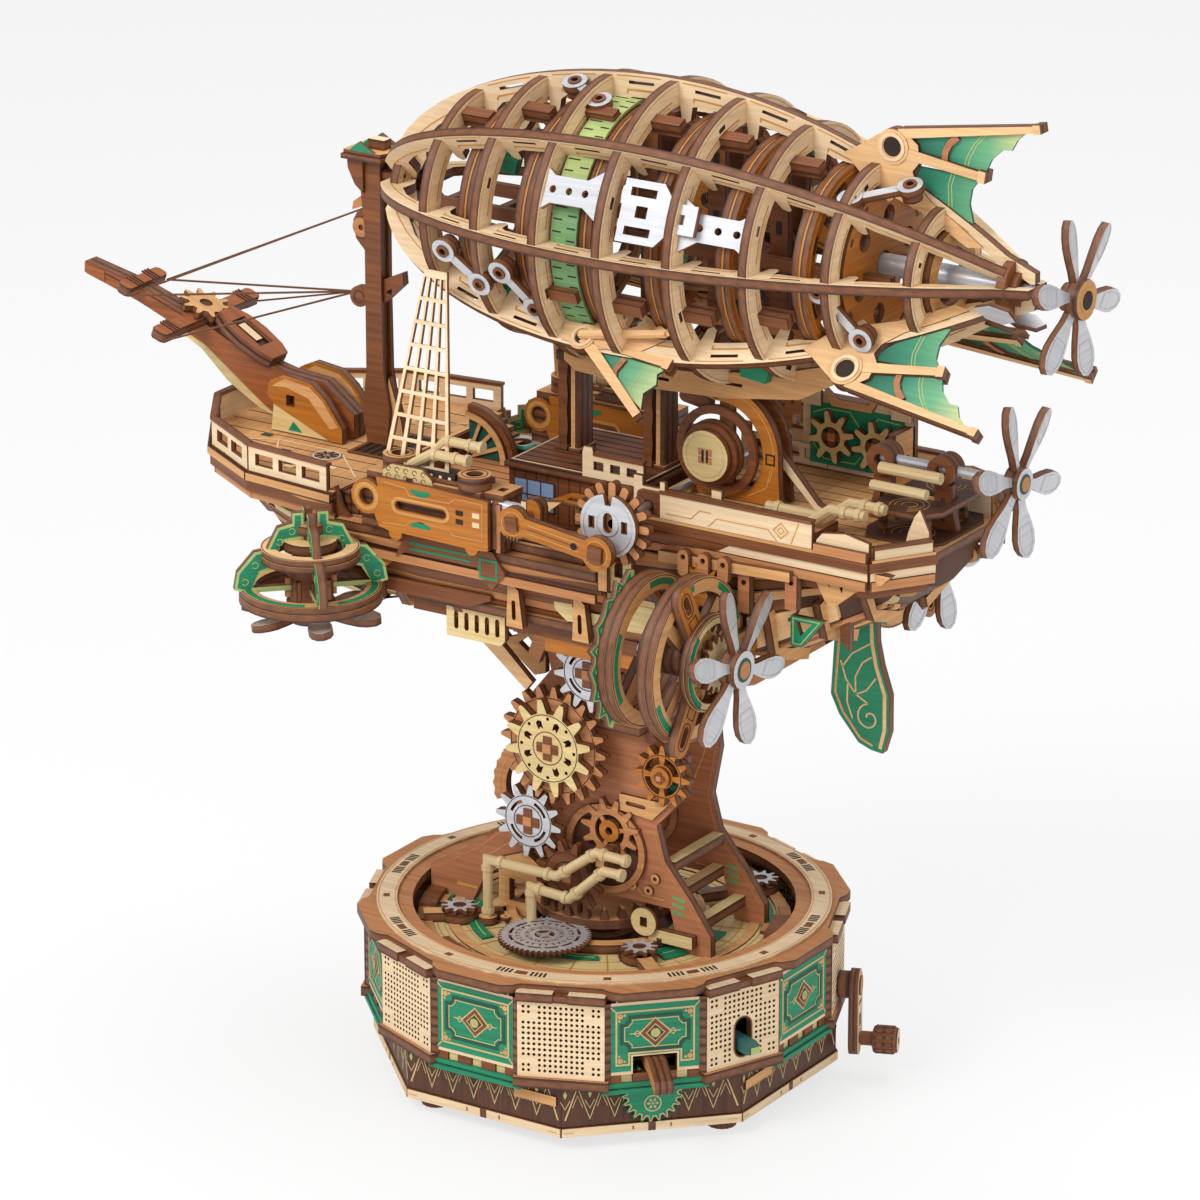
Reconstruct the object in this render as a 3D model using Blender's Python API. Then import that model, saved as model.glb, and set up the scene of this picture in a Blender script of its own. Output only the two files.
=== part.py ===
"""Hand-cranked plywood music box: an airship that turns on a round drum, with its gear train."""
import math

import bmesh
import bpy
from mathutils import Matrix, Vector

# Sheet material and clearances, in metres
PLY = 0.003
GAP = 0.0003
SHAFT_R = 0.0015
SHAFT_CLEARANCE = 0.0003
ADDENDUM = 0.75
BORE_SIDES = 8
FUSE = 0.0008
MESH_PLAY = 0.00035
POST_WIDTH = 0.010

# Drum, measured from the underside of the bottom plate
DRUM_R = 0.075
DRUM_WALL = 0.0032
FOOT_R = 0.0045
FOOT_HEIGHT = 0.0045
FOOT_INSET = 0.011
SKIRT_HEIGHT = 0.0165
SKIRT_INSET = 0.0005
GREEN_HALF_ANGLE = 12.0
PANEL_HEIGHT = 0.0252
BAND_INSET = 0.003
BAND_WIDTH = 0.006
RIM_OVERHANG = 0.0015
TOP_RING_INNER_R = 0.0605
SCALLOP = 0.0016
PALE_RING_INSET = 0.003
PALE_RING_WIDTH = 0.0065
PALE_RING_THICKNESS = 0.001

# Crank and music movement
CRANK_ANGLE = 22.5
CRANK_Z = 0.026
CROWN_R = 0.036
CROWN_TEETH = 24
DRIVE_MODULE = 0.003
DRIVE_TEETH = 8
MOVEMENT_MODULE = 0.0013
MOVEMENT_TEETH = 10
CYLINDER_TEETH = 20
MOVEMENT_GEAR_R = 0.0475
CYLINDER_R = 0.0055
CYLINDER_START = 0.017
CYLINDER_LENGTH = 0.027
COMB_TEETH = 12
COMB_DEPTH = 0.013
COMB_TOOTH_LENGTH = 0.0065
COMB_SLIT = 0.0008
COMB_THICKNESS = 0.0012
CRANK_BEARING_START = 0.0292
CRANK_ARM_CLEARANCE = 0.004
CRANK_ARM_LENGTH = 0.018
CRANK_ARM_END_R = 0.0055
KNOB_R = 0.0043
KNOB_LENGTH = 0.012

# Levers
SWITCH_ANGLE = -45.0
SWITCH_PIVOT_R = 0.052
SWITCH_OVERHANG = 0.011
SWITCH_Z = 0.0246
SWITCH_WIDTH = 0.006
SWITCH_THICKNESS = 0.004
SWITCH_DROP = 0.0035
SWITCH_SWING = 8.0
SLOT_PLAY = 0.001
MODE_ANGLE = -22.5
MODE_PIVOT_R = 0.055
MODE_OVERHANG = 0.0065
MODE_Z = 0.0265
MODE_SIZE = 0.004
MODE_PIN_R = 0.0012
MODE_EAR_WIDTH = 0.006
MODE_TILT = 15.0

# Turntable and column
TURNTABLE_R = 0.0595
TURNTABLE_BOTTOM = 0.0405
SPINDLE_R = 0.006
FLANGE_R = 0.012
FLANGE_HEIGHT = 0.004
SHOULDER_R = 0.010
SUN_TEETH = 22
COLUMN_MODULE = 0.0018
SMALL_TEETH = 12
BIG_TEETH = 20
COLUMN_PINION_Z = 0.0639
LOWER_GEAR_ANGLE = 132.9
BIG_GEAR_ANGLE = 71.0
UPPER_GEAR_ANGLE = 64.0
NEAR_CHEEK_Y = -0.0105
FAR_CHEEK_Y = 0.0215
SHELF_Z = 0.1175
CHEEK_ARCH_HEIGHT = 0.0135
BOSS_R = 0.0036
PIN_PROUD = 0.001
ARM_RING_R = 0.030
ARM_RING_WIDTH = 0.004
ARM_WIDTH = 0.004
ARM_PAD_R = 0.0045
ARM_PADS = ((-0.037, -0.027), (0.029, -0.025), (0.031, 0.044), (-0.036, 0.038))
FRONT_GEAR_MODULE = 0.00235
ORANGE_GEAR_MODULE = 0.0015
ORANGE_GEAR_X = 0.032
ORANGE_GEAR_Z = 0.103
ORANGE_GEAR_Y = -0.0155

# Ship
KEEL_Z = 0.145
HULL_WALL = 0.0025
HULL_END_WALL = 0.004
RUDDER_START = 0.0845
RUDDER_END = 0.0985
FORE_DECK_Z = 0.1835
WAIST_DECK_Z = 0.1755
QUARTER_DECK_Z = 0.192
RAIL_HEIGHT = 0.009
RAIL_THICKNESS = 0.0018
MAST_X = -0.084
MAST_TOP = 0.286
MAST_WIDTH = 0.006
MAST_CAP_R = 0.009
SCROLL_REACH = 0.0045
NOSE_ROD_R = 0.002
CROSS_ARM_WIDTH = 0.004
CROSS_ARM_1 = (-0.177, 0.0105, 0.2225)
CROSS_ARM_2 = (-0.152, 0.026, 0.2155)
UPPER_EYE_Z = 0.263
LOWER_EYE_Z = 0.2347
THREAD_R = 0.0004
SHROUD_TOP = 0.2585
SHROUD_TOP_Y = 0.0335
SHROUD_ROWS = 3
SHROUD_BAR = 0.0012
SHROUD_THICKNESS = 0.001
ENGINE_Y = 0.048
ENGINE_LENGTH = 0.054
ENGINE_WIDTH = 0.0155
ENGINE_TOP = 0.1995
ENGINE_START = -0.057
CYLINDER_HEAD_R = 0.0032
PISTON_ROD_R = 0.0018
PISTON_ROD_LENGTH = 0.027
CROSSHEAD = 0.006
BIG_END_R = 0.0045
SMALL_END_R = 0.0035
BIG_END_BORE_R = 0.0024
PISTON_Y = -0.051
PISTON_Z = 0.1945
CROSSHEAD_X = 0.008
WHEEL_X = 0.038
WHEEL_Y = 0.0535
WHEEL_Z = 0.1975
WHEEL_MODULE = 0.0012
WHEEL_TEETH = 20
WHEEL_FACE_R = 0.0105
BEARING_WIDTH = 0.008
CRANK_PIN_THROW = 0.007
FLYWHEEL_X = 0.048
FLYWHEEL_Y = -0.0145
FLYWHEEL_Z = 0.2105
FLYWHEEL_R = 0.009
FLYWHEEL_HUB_R = 0.006
ARCH_R = 0.0205
ARCH_WIDTH = 0.0055
ARCH_Y = -0.0085
PANEL_Y = 0.029
PANEL_START = 0.054
PANEL_LENGTH = 0.035
PANEL_RISE = 0.017
PANEL_GEAR_R = 0.0065
HOUSE_START = -0.022
HOUSE_END = 0.026
HOUSE_HALF_WIDTH = 0.020
HOUSE_ROOF_Z = 0.197
HOUSE_WALL = 0.0025
BALLOON_POSTS = (-0.0108, 0.0202)
BALLOON_POST_WIDTH = 0.008

# Balloon frame
BALLOON_Z = 0.2745
BALLOON_R = 0.0465
BALLOON_MIDDLE_X = 0.025
BALLOON_NOSE = 0.103
BALLOON_TAIL = 0.130
STRINGERS = 8
STRINGER_DEPTH = 0.0045
RIB_DEPTH = 0.005
RIB_SPACING = 0.0235
FIRST_RIB_X = -0.046
RIBS = 7
RIB_SIDES = 16
INNER_RING_STEP = 0.0126
INNER_RING_SHARE = 0.8
INNER_RING_DEPTH = 0.0046
INNER_RING_THICKNESS = 0.005
SPACERS = 4
SPACER_WIDTH = 0.004
SPACER_LAP = 0.0022
TICK_BAND_SINK = 0.0077
TICK_BAND_REACH = 0.0104
TICK_BAND_RIB = 2
BAND_WALL = 0.001
STRINGER_SAG = 0.0004
NOSE_X = -0.0745
TAIL_X = 0.138
TAIL_RING_X = 0.1155
NOSE_DISC_R = 0.0115
FIN_THICKNESS = 0.0024

# Propellers
BLADES = 6
BLADE_THICKNESS = 0.0015
BLADE_PITCH = 28.0
REAR_PROPELLER_X = 0.1634
STERN_PROPELLER_X = 0.145
STERN_PROPELLER_Z = 0.2145
LARGE_PROPELLER_R = 0.026
SIDE_PROPELLER_X = 0.085
SIDE_PROPELLER_R = 0.0275
SIDE_NACELLE_Y = 0.060
SIDE_NACELLE_Z = 0.1625
SIDE_RING_X = 0.0700
SIDE_RING_R = 0.0256
BACK_RING_X = 0.0540
BACK_RING_R = 0.0237
ROTOR_X = -0.067
ROTOR_Y = 0.063
ROTOR_Z = 0.1515
ROTOR_R = 0.0235
ROTOR_RING_R = 0.0212
ROTOR_TOP_RING_R = 0.016
ROTOR_RING_Z = 0.159
ROTOR_TOP_RING_Z = 0.168
RING_WIDTH = 0.0045
SPOKE_WIDTH = 0.0036
HUB_R = 0.0055
HUB_LENGTH = 0.006
REAR_HUB_R = 0.006
REAR_HUB_LENGTH = 0.008
ROTOR_HUB_R = 0.0085
ROTOR_HUB_LENGTH = 0.004
STERN_POSTS = (0.100, 0.121)
STERN_POST_WIDTH = 0.012

# Levels and radii that follow from the sizes above
FOOT_RING_R = DRUM_R - FOOT_INSET
SKIRT_R = DRUM_R - SKIRT_INSET
TOP_RING_R = DRUM_R + RIM_OVERHANG
PALE_RING_R = DRUM_R - PALE_RING_INSET
PALE_RING_INNER_R = PALE_RING_R - PALE_RING_WIDTH
CRANK_ARM_START = DRUM_R + CRANK_ARM_CLEARANCE
SWITCH_REACH = DRUM_R + SWITCH_OVERHANG
MODE_REACH = DRUM_R + MODE_OVERHANG
SKIRT_BOTTOM = PLY + GAP
SKIRT_TOP = SKIRT_BOTTOM + SKIRT_HEIGHT
WALL_BOTTOM = SKIRT_TOP + GAP
WALL_TOP = WALL_BOTTOM + PANEL_HEIGHT
TOP_RING_BOTTOM = WALL_TOP + GAP
BAND_HEIGHT = PLY / 2
TOP_RING_TOP = TOP_RING_BOTTOM + BAND_HEIGHT + PLY
TURNTABLE_TOP = TURNTABLE_BOTTOM + PLY
DECK_BASE = TURNTABLE_TOP + GAP
DRIVE_PITCH_R = DRIVE_MODULE * DRIVE_TEETH / 2
MOVEMENT_PITCH_R = MOVEMENT_MODULE * MOVEMENT_TEETH / 2
CYLINDER_GEAR_PITCH_R = MOVEMENT_MODULE * CYLINDER_TEETH / 2
CYLINDER_OFFSET = MOVEMENT_PITCH_R + CYLINDER_GEAR_PITCH_R + MESH_PLAY
CYLINDER_GEAR_START = MOVEMENT_GEAR_R - PLY / 2
SMALL_PITCH_R = COLUMN_MODULE * SMALL_TEETH / 2
BIG_PITCH_R = COLUMN_MODULE * BIG_TEETH / 2
SUN_R = COLUMN_MODULE * SUN_TEETH / 2
GEAR_PLANE_Y = -SUN_R
BORE_R = SHAFT_R + SHAFT_CLEARANCE
WHEEL_R = WHEEL_MODULE * (WHEEL_TEETH / 2 + ADDENDUM)
SIDE_SHAFT_LENGTH = SIDE_PROPELLER_X - BACK_RING_X + PLY
SUN_FACE = PLY + 2 * GAP
WHEEL_STEP = PLY - FUSE

FINISHES = {
    "pale_ply": ((0.80, 0.63, 0.42), 0.60, 0.0),
    "tan_ply": ((0.67, 0.45, 0.25), 0.60, 0.0),
    "brown_ply": ((0.36, 0.17, 0.08), 0.55, 0.0),
    "dark_ply": ((0.20, 0.11, 0.07), 0.60, 0.0),
    "pink_ply": ((0.52, 0.29, 0.17), 0.60, 0.0),
    "orange_ply": ((0.62, 0.27, 0.07), 0.50, 0.0),
    "green_ply": ((0.05, 0.33, 0.22), 0.50, 0.0),
    "silver_ply": ((0.66, 0.68, 0.71), 0.35, 0.3),
    "cream_ply": ((0.82, 0.75, 0.55), 0.60, 0.0),
    "steel": ((0.60, 0.60, 0.62), 0.30, 1.0),
    "thread": ((0.55, 0.40, 0.25), 0.90, 0.0),
}


def finish(name):
    """Return the named Principled material, made on first use."""
    material = bpy.data.materials.get(name)
    if material is None:
        colour, roughness, metallic = FINISHES[name]
        material = bpy.data.materials.new(name)
        material.use_nodes = True
        shader = material.node_tree.nodes["Principled BSDF"]
        shader.inputs["Base Color"].default_value = (*colour, 1.0)
        shader.inputs["Roughness"].default_value = roughness
        shader.inputs["Metallic"].default_value = metallic
        material.diffuse_color = (*colour, 1.0)
    return material


def polar(radius, degrees):
    angle = math.radians(degrees)
    return radius * math.cos(angle), radius * math.sin(angle)


def circle(radius, count, centre=(0.0, 0.0), start=0.0):
    """Points of a regular polygon that stands for a circle."""
    points = []
    for index in range(count):
        u, v = polar(radius, start + 360.0 * index / count)
        points.append((centre[0] + u, centre[1] + v))
    return points


def rectangle(u0, v0, u1, v1):
    return [(u0, v0), (u1, v0), (u1, v1), (u0, v1)]


def level(z):
    """Local sheet frame lying flat with its lower face at z."""
    return Matrix.Translation((0, 0, z))


def upright(y, thickness=PLY):
    """Sheet frame facing -Y: u is X, v is Z, centred on y."""
    turn = Matrix(((1, 0, 0, 0), (0, 0, -1, y + thickness / 2), (0, 1, 0, 0), (0, 0, 0, 1)))
    return turn


def across(x):
    """Sheet frame facing +X: u is Y, v is Z, from x towards +X."""
    return Matrix(((0, 0, 1, x), (1, 0, 0, 0), (0, 1, 0, 0), (0, 0, 0, 1)))


def spoke(degrees, distance):
    """Sheet frame square to a radius of the drum: u is tangential, v is Z."""
    return Matrix.Rotation(math.radians(degrees), 4, "Z") @ across(distance)


def balloon_plane(degrees, thickness=PLY):
    """Sheet frame through the balloon axis: u is X, v is the radius at this angle from -Y up."""
    c = math.cos(math.radians(degrees))
    s = math.sin(math.radians(degrees))
    frame = Matrix(((1, 0, 0, 0), (0, -c, -s, 0), (0, s, -c, BALLOON_Z), (0, 0, 0, 1)))
    return frame @ Matrix.Translation((0, 0, -thickness / 2))


def sheet(outline, thickness, frame, holes=()):
    """A flat sheet with this outline and these holes, as a closed mesh."""
    bm = bmesh.new()
    for loop in [outline, *holes]:
        verts = [bm.verts.new((u, v, 0.0)) for u, v in loop]
        for index, vert in enumerate(verts):
            bm.edges.new((vert, verts[(index + 1) % len(verts)]))
    bmesh.ops.triangle_fill(bm, use_beauty=True, use_dissolve=False, edges=bm.edges[:])
    grown = bmesh.ops.extrude_face_region(bm, geom=bm.faces[:], use_keep_orig=True)
    top = [item for item in grown["geom"] if isinstance(item, bmesh.types.BMVert)]
    bmesh.ops.translate(bm, verts=top, vec=(0.0, 0.0, thickness))
    bmesh.ops.recalc_face_normals(bm, faces=bm.faces[:])
    bmesh.ops.transform(bm, matrix=frame, verts=bm.verts[:])
    return to_mesh(bm)


def to_mesh(bm):
    mesh = bpy.data.meshes.new("piece")
    bm.to_mesh(mesh)
    bm.free()
    return mesh


def block(x0, x1, y0, y1, z0, z1):
    """A box between two corners."""
    return sheet(rectangle(x0, y0, x1, y1), z1 - z0, level(z0))


def rod(start, end, radius, sides=10):
    """A round bar between two points."""
    start = Vector(start)
    way = Vector(end) - start
    frame = Matrix.Translation(start) @ way.to_track_quat("Z", "Y").to_matrix().to_4x4()
    return sheet(circle(radius, sides, start=180.0 / sides), way.length, frame)


def loft(sections):
    """A closed solid through sections that are rings of as many points each."""
    bm = bmesh.new()
    rings = [[bm.verts.new(point) for point in ring] for ring in sections]
    count = len(rings[0])
    for first, second in zip(rings, rings[1:]):
        for index in range(count):
            after = (index + 1) % count
            bm.faces.new((first[index], first[after], second[after], second[index]))
    bm.faces.new(rings[0])
    bm.faces.new(rings[-1])
    bmesh.ops.recalc_face_normals(bm, faces=bm.faces[:])
    return to_mesh(bm)


def face_teeth(radius_in, radius_out, teeth, module, root_z, pitch_z, start=0.0):
    """Teeth standing on the flat of a disc, from root_z past pitch_z; start is the first tooth's angle."""
    sign = 1.0 if pitch_z > root_z else -1.0
    half_pitch = math.pi * module / 2
    tip_z = pitch_z + sign * ADDENDUM * module
    outline = [(-0.55 * half_pitch, root_z - sign * FUSE), (0.55 * half_pitch, root_z - sign * FUSE),
               (0.2 * half_pitch, tip_z), (-0.2 * half_pitch, tip_z)]
    blocks = []
    for tooth in range(teeth):
        frame = spoke(start + 360.0 * tooth / teeth, radius_in)
        blocks.append(sheet(outline, radius_out - radius_in, frame))
    return blocks


def gear_outline(teeth, module, centre=(0.0, 0.0), phase=0.0):
    """Gear outline with straight flanks; phase is the angle of one tooth's middle."""
    pitch_r = module * teeth / 2
    half_pitch = math.pi * module / 2
    stations = ((-0.58, -1.15), (-0.2, ADDENDUM), (0.2, ADDENDUM), (0.58, -1.15))
    points = []
    for tooth in range(teeth):
        middle = math.radians(phase + 360.0 * tooth / teeth)
        for share, reach in stations:
            angle = middle + share * half_pitch / pitch_r
            radius = pitch_r + reach * module
            points.append((centre[0] + radius * math.cos(angle), centre[1] + radius * math.sin(angle)))
    return points


def meshed_phase(phase, teeth, other_teeth, direction):
    """Tooth phase of a gear that meshes with one at this phase, lying in this direction from it."""
    pitch = 360.0 / teeth
    other_pitch = 360.0 / other_teeth
    return direction + 180.0 - other_pitch * ((phase - direction) / pitch + 0.5)


def remove_object(item):
    bpy.data.objects.remove(item, do_unlink=True)


def combined(first, others, operation):
    """Union or difference of meshes, evaluated by one Boolean modifier."""
    if not others:
        return first
    scene = bpy.context.scene
    body = bpy.data.objects.new("body", first)
    scene.collection.objects.link(body)
    group = bpy.data.collections.new("operands")
    scene.collection.children.link(group)
    for mesh in others:
        group.objects.link(bpy.data.objects.new("operand", mesh))
    boolean = body.modifiers.new("combine", "BOOLEAN")
    boolean.operand_type = "COLLECTION"
    boolean.collection = group
    boolean.operation = operation
    graph = bpy.context.evaluated_depsgraph_get()
    graph.update()
    result = bpy.data.meshes.new_from_object(body.evaluated_get(graph))
    for item in group.objects[:]:
        remove_object(item)
    bpy.data.collections.remove(group)
    remove_object(body)
    return result


def part(name, pieces, look, cuts=(), pivot=(0.0, 0.0, 0.0)):
    """One named object: its pieces fused, its cuts taken out, its origin at the pivot."""
    mesh = combined(pieces[0], pieces[1:], "UNION")
    mesh = combined(mesh, list(cuts), "DIFFERENCE")
    mesh.name = name
    mesh.transform(Matrix.Translation(-Vector(pivot)))
    mesh.materials.clear()
    mesh.materials.append(finish(look))
    mesh.shade_smooth()
    mesh.set_sharp_from_angle(angle=math.radians(35.0))
    item = bpy.data.objects.new(name, mesh)
    item.location = pivot
    bpy.context.scene.collection.objects.link(item)
    return item


def drum_parts():
    """Bottom plate, walls and rings of the drum."""
    corner = 22.5
    plate = [sheet(circle(DRUM_R, 8, start=corner), PLY, level(0.0))]
    for index in range(4):
        u, v = polar(FOOT_RING_R, -22.5 + 90.0 * index)
        plate.append(sheet(circle(FOOT_R, 10, (u, v)), FOOT_HEIGHT + FUSE, level(-FOOT_HEIGHT)))
    plate += switch_post() + mode_clevis()
    part("base_plate", plate, "tan_ply")

    inner = circle(SKIRT_R - DRUM_WALL, 8, start=corner)
    wall = sheet(circle(SKIRT_R, 8, start=corner), SKIRT_HEIGHT, level(SKIRT_BOTTOM), [inner])
    part("skirt_wall", [wall], "dark_ply")

    wall_outline = sixteen_sided(DRUM_R)
    hole = sixteen_sided(DRUM_R - DRUM_WALL)
    cuts = [
        through_wall(circle(BORE_R, BORE_SIDES, (0.0, CRANK_Z)), CRANK_ANGLE),
        through_wall(switch_slot(), SWITCH_ANGLE),
        through_wall(mode_window(), MODE_ANGLE),
    ]
    part("body_wall", [sheet(wall_outline, PANEL_HEIGHT, level(WALL_BOTTOM), [hole])], "pale_ply", cuts)

    band_r = DRUM_R - BAND_INSET
    band_hole = sixteen_sided(band_r - BAND_WIDTH)
    band = sheet(sixteen_sided(band_r), BAND_HEIGHT + FUSE, level(TOP_RING_BOTTOM), [band_hole])
    rim = sheet(scalloped_rim(), PLY, level(TOP_RING_BOTTOM + BAND_HEIGHT), [circle(TOP_RING_INNER_R, 32)])
    part("top_ring", [rim, band], "brown_ply")

    ring_hole = circle(PALE_RING_INNER_R, 36)
    ring = sheet(circle(PALE_RING_R, 36), PALE_RING_THICKNESS, level(TOP_RING_TOP + GAP), [ring_hole])
    part("pale_ring", [ring], "cream_ply")


def sixteen_sided(radius):
    """Drum outline: eight green faces with eight narrower perforated ones between them."""
    points = []
    for index in range(8):
        for side in (-1, 1):
            points.append(polar(radius, 45.0 * index + side * GREEN_HALF_ANGLE))
    return points


def scalloped_rim():
    """Outer edge of the top ring, proud over the green faces."""
    points = []
    for index in range(8):
        for offset, proud in ((-11.0, 0), (-9.5, 1), (9.5, 1), (11.0, 0)):
            points.append(polar(TOP_RING_R + proud * SCALLOP, 45.0 * index + offset))
    return points


def through_wall(outline, degrees):
    """Cutter through the drum wall at this angle."""
    return sheet(outline, 4 * DRUM_WALL, spoke(degrees, DRUM_R - 3 * DRUM_WALL))


def switch_slot():
    """Slot as wide as the switch lever's swing."""
    swing = (DRUM_R - SWITCH_PIVOT_R) * math.sin(math.radians(SWITCH_SWING))
    half = SWITCH_WIDTH / 2 + swing + GAP
    reach = SWITCH_THICKNESS / 2 + SLOT_PLAY
    return rectangle(-half, SWITCH_Z - reach, half, SWITCH_Z + reach)


def mode_window():
    """Oval window as tall as the mode lever's tilt."""
    radius = MODE_SIZE / 2 + SLOT_PLAY
    rise = (DRUM_R - MODE_PIVOT_R) * math.tan(math.radians(MODE_TILT))
    low = MODE_Z - SLOT_PLAY
    high = MODE_Z + rise
    points = []
    for step in range(7):
        u, v = polar(radius, 180.0 + 30.0 * step)
        points.append((u, low + v))
    for step in range(7):
        u, v = polar(radius, 30.0 * step)
        points.append((u, high + v))
    return points


def switch_post():
    """Post and pin that carry the switch lever."""
    u, v = polar(SWITCH_PIVOT_R, SWITCH_ANGLE)
    seat = SWITCH_Z - SWITCH_THICKNESS / 2 - GAP
    return [
        sheet(circle(BOSS_R, 12, (u, v)), seat - PLY + FUSE, level(PLY - FUSE)),
        sheet(circle(SHAFT_R, 10, (u, v)), SWITCH_THICKNESS + PIN_PROUD + FUSE, level(seat - FUSE)),
    ]


def mode_clevis():
    """Two ears and a pin that carry the mode lever."""
    reach = MODE_SIZE / 2 + GAP
    ears = []
    for side in (-1, 1):
        u0, u1 = sorted((side * reach, side * (reach + PLY)))
        outline = rectangle(u0, PLY - FUSE, u1, MODE_Z + MODE_EAR_WIDTH / 2)
        ears.append(sheet(outline, MODE_EAR_WIDTH, spoke(MODE_ANGLE, MODE_PIVOT_R - MODE_EAR_WIDTH / 2)))
    turn = Matrix.Rotation(math.radians(MODE_ANGLE), 4, "Z")
    left = turn @ Vector((MODE_PIVOT_R, -reach - FUSE, MODE_Z))
    right = turn @ Vector((MODE_PIVOT_R, reach + FUSE, MODE_Z))
    return ears + [rod(left, right, MODE_PIN_R)]


def spindle_part():
    """Fixed spindle with the sun crown gear that the column rolls on."""
    flange = sheet(circle(FLANGE_R, 12), FLANGE_HEIGHT, level(SKIRT_BOTTOM))
    shoulder_top = TURNTABLE_BOTTOM - GAP
    pitch_z = COLUMN_PINION_Z - SMALL_PITCH_R
    root_z = pitch_z - 1.2 * COLUMN_MODULE
    plate_bottom = root_z - PLY
    post = sheet(circle(SPINDLE_R, 12), plate_bottom - SKIRT_BOTTOM, level(SKIRT_BOTTOM + FUSE))
    shoulder = sheet(circle(SHOULDER_R, 12), FLANGE_HEIGHT, level(shoulder_top - FLANGE_HEIGHT))
    disc = sheet(circle(SUN_R + SUN_FACE / 2 + GAP, 24), PLY, level(plate_bottom))
    inner = SUN_R - SUN_FACE / 2
    teeth = face_teeth(inner, inner + SUN_FACE, SUN_TEETH, COLUMN_MODULE, root_z, pitch_z, -90.0)
    part("sun_spindle", [post, flange, shoulder, disc, *teeth], "tan_ply")


def crank_parts():
    """Crank shaft with its two pinions, the arm and the free-turning knob."""
    axis = (0.0, CRANK_Z)
    arm_thickness = 2 * PLY
    shaft_start = CRANK_BEARING_START + GAP
    shaft_length = CRANK_ARM_START + arm_thickness - shaft_start
    shaft = sheet(circle(SHAFT_R, 10, axis), shaft_length, spoke(CRANK_ANGLE, shaft_start))
    wheel = gear_outline(DRIVE_TEETH, DRIVE_MODULE, axis, 90.0 + 180.0 / DRIVE_TEETH)
    drive = sheet(wheel, PLY, spoke(CRANK_ANGLE, CROWN_R - PLY / 2))
    small = gear_outline(MOVEMENT_TEETH, MOVEMENT_MODULE, axis)
    movement = sheet(small, PLY, spoke(CRANK_ANGLE, CYLINDER_GEAR_START))
    start = Vector((*polar(CROWN_R, CRANK_ANGLE), CRANK_Z))
    part("crank_shaft", [shaft, drive, movement], "steel", pivot=start)

    low_z = CRANK_Z - CRANK_ARM_LENGTH
    outline = []
    for step in range(7):
        u, v = polar(CRANK_ARM_END_R, 30.0 * step)
        outline.append((u, CRANK_Z + v))
    for step in range(7):
        u, v = polar(CRANK_ARM_END_R, 180.0 + 30.0 * step)
        outline.append((u, low_z + v))
    seat = circle(SHAFT_R + GAP, 10, axis)
    arm = sheet(outline, arm_thickness, spoke(CRANK_ANGLE, CRANK_ARM_START), [seat])
    pin_place = (0.0, low_z)
    pin_end = arm_thickness + KNOB_LENGTH - 2 * PIN_PROUD
    pin = sheet(circle(SHAFT_R, 10, pin_place), pin_end, spoke(CRANK_ANGLE, CRANK_ARM_START + FUSE))
    arm_centre = Vector((*polar(CRANK_ARM_START, CRANK_ANGLE), CRANK_Z))
    part("crank_arm", [arm, pin], "brown_ply", pivot=arm_centre)

    knob_start = CRANK_ARM_START + arm_thickness + GAP
    barrel = sheet(circle(KNOB_R, 14, pin_place), KNOB_LENGTH, spoke(CRANK_ANGLE, knob_start))
    bore_start = knob_start - GAP
    bore_length = KNOB_LENGTH - PIN_PROUD
    bore = sheet(circle(BORE_R, BORE_SIDES, pin_place), bore_length, spoke(CRANK_ANGLE, bore_start))
    knob_centre = Vector((*polar(knob_start, CRANK_ANGLE), low_z))
    part("crank_knob", [barrel], "tan_ply", [bore], knob_centre)


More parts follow.
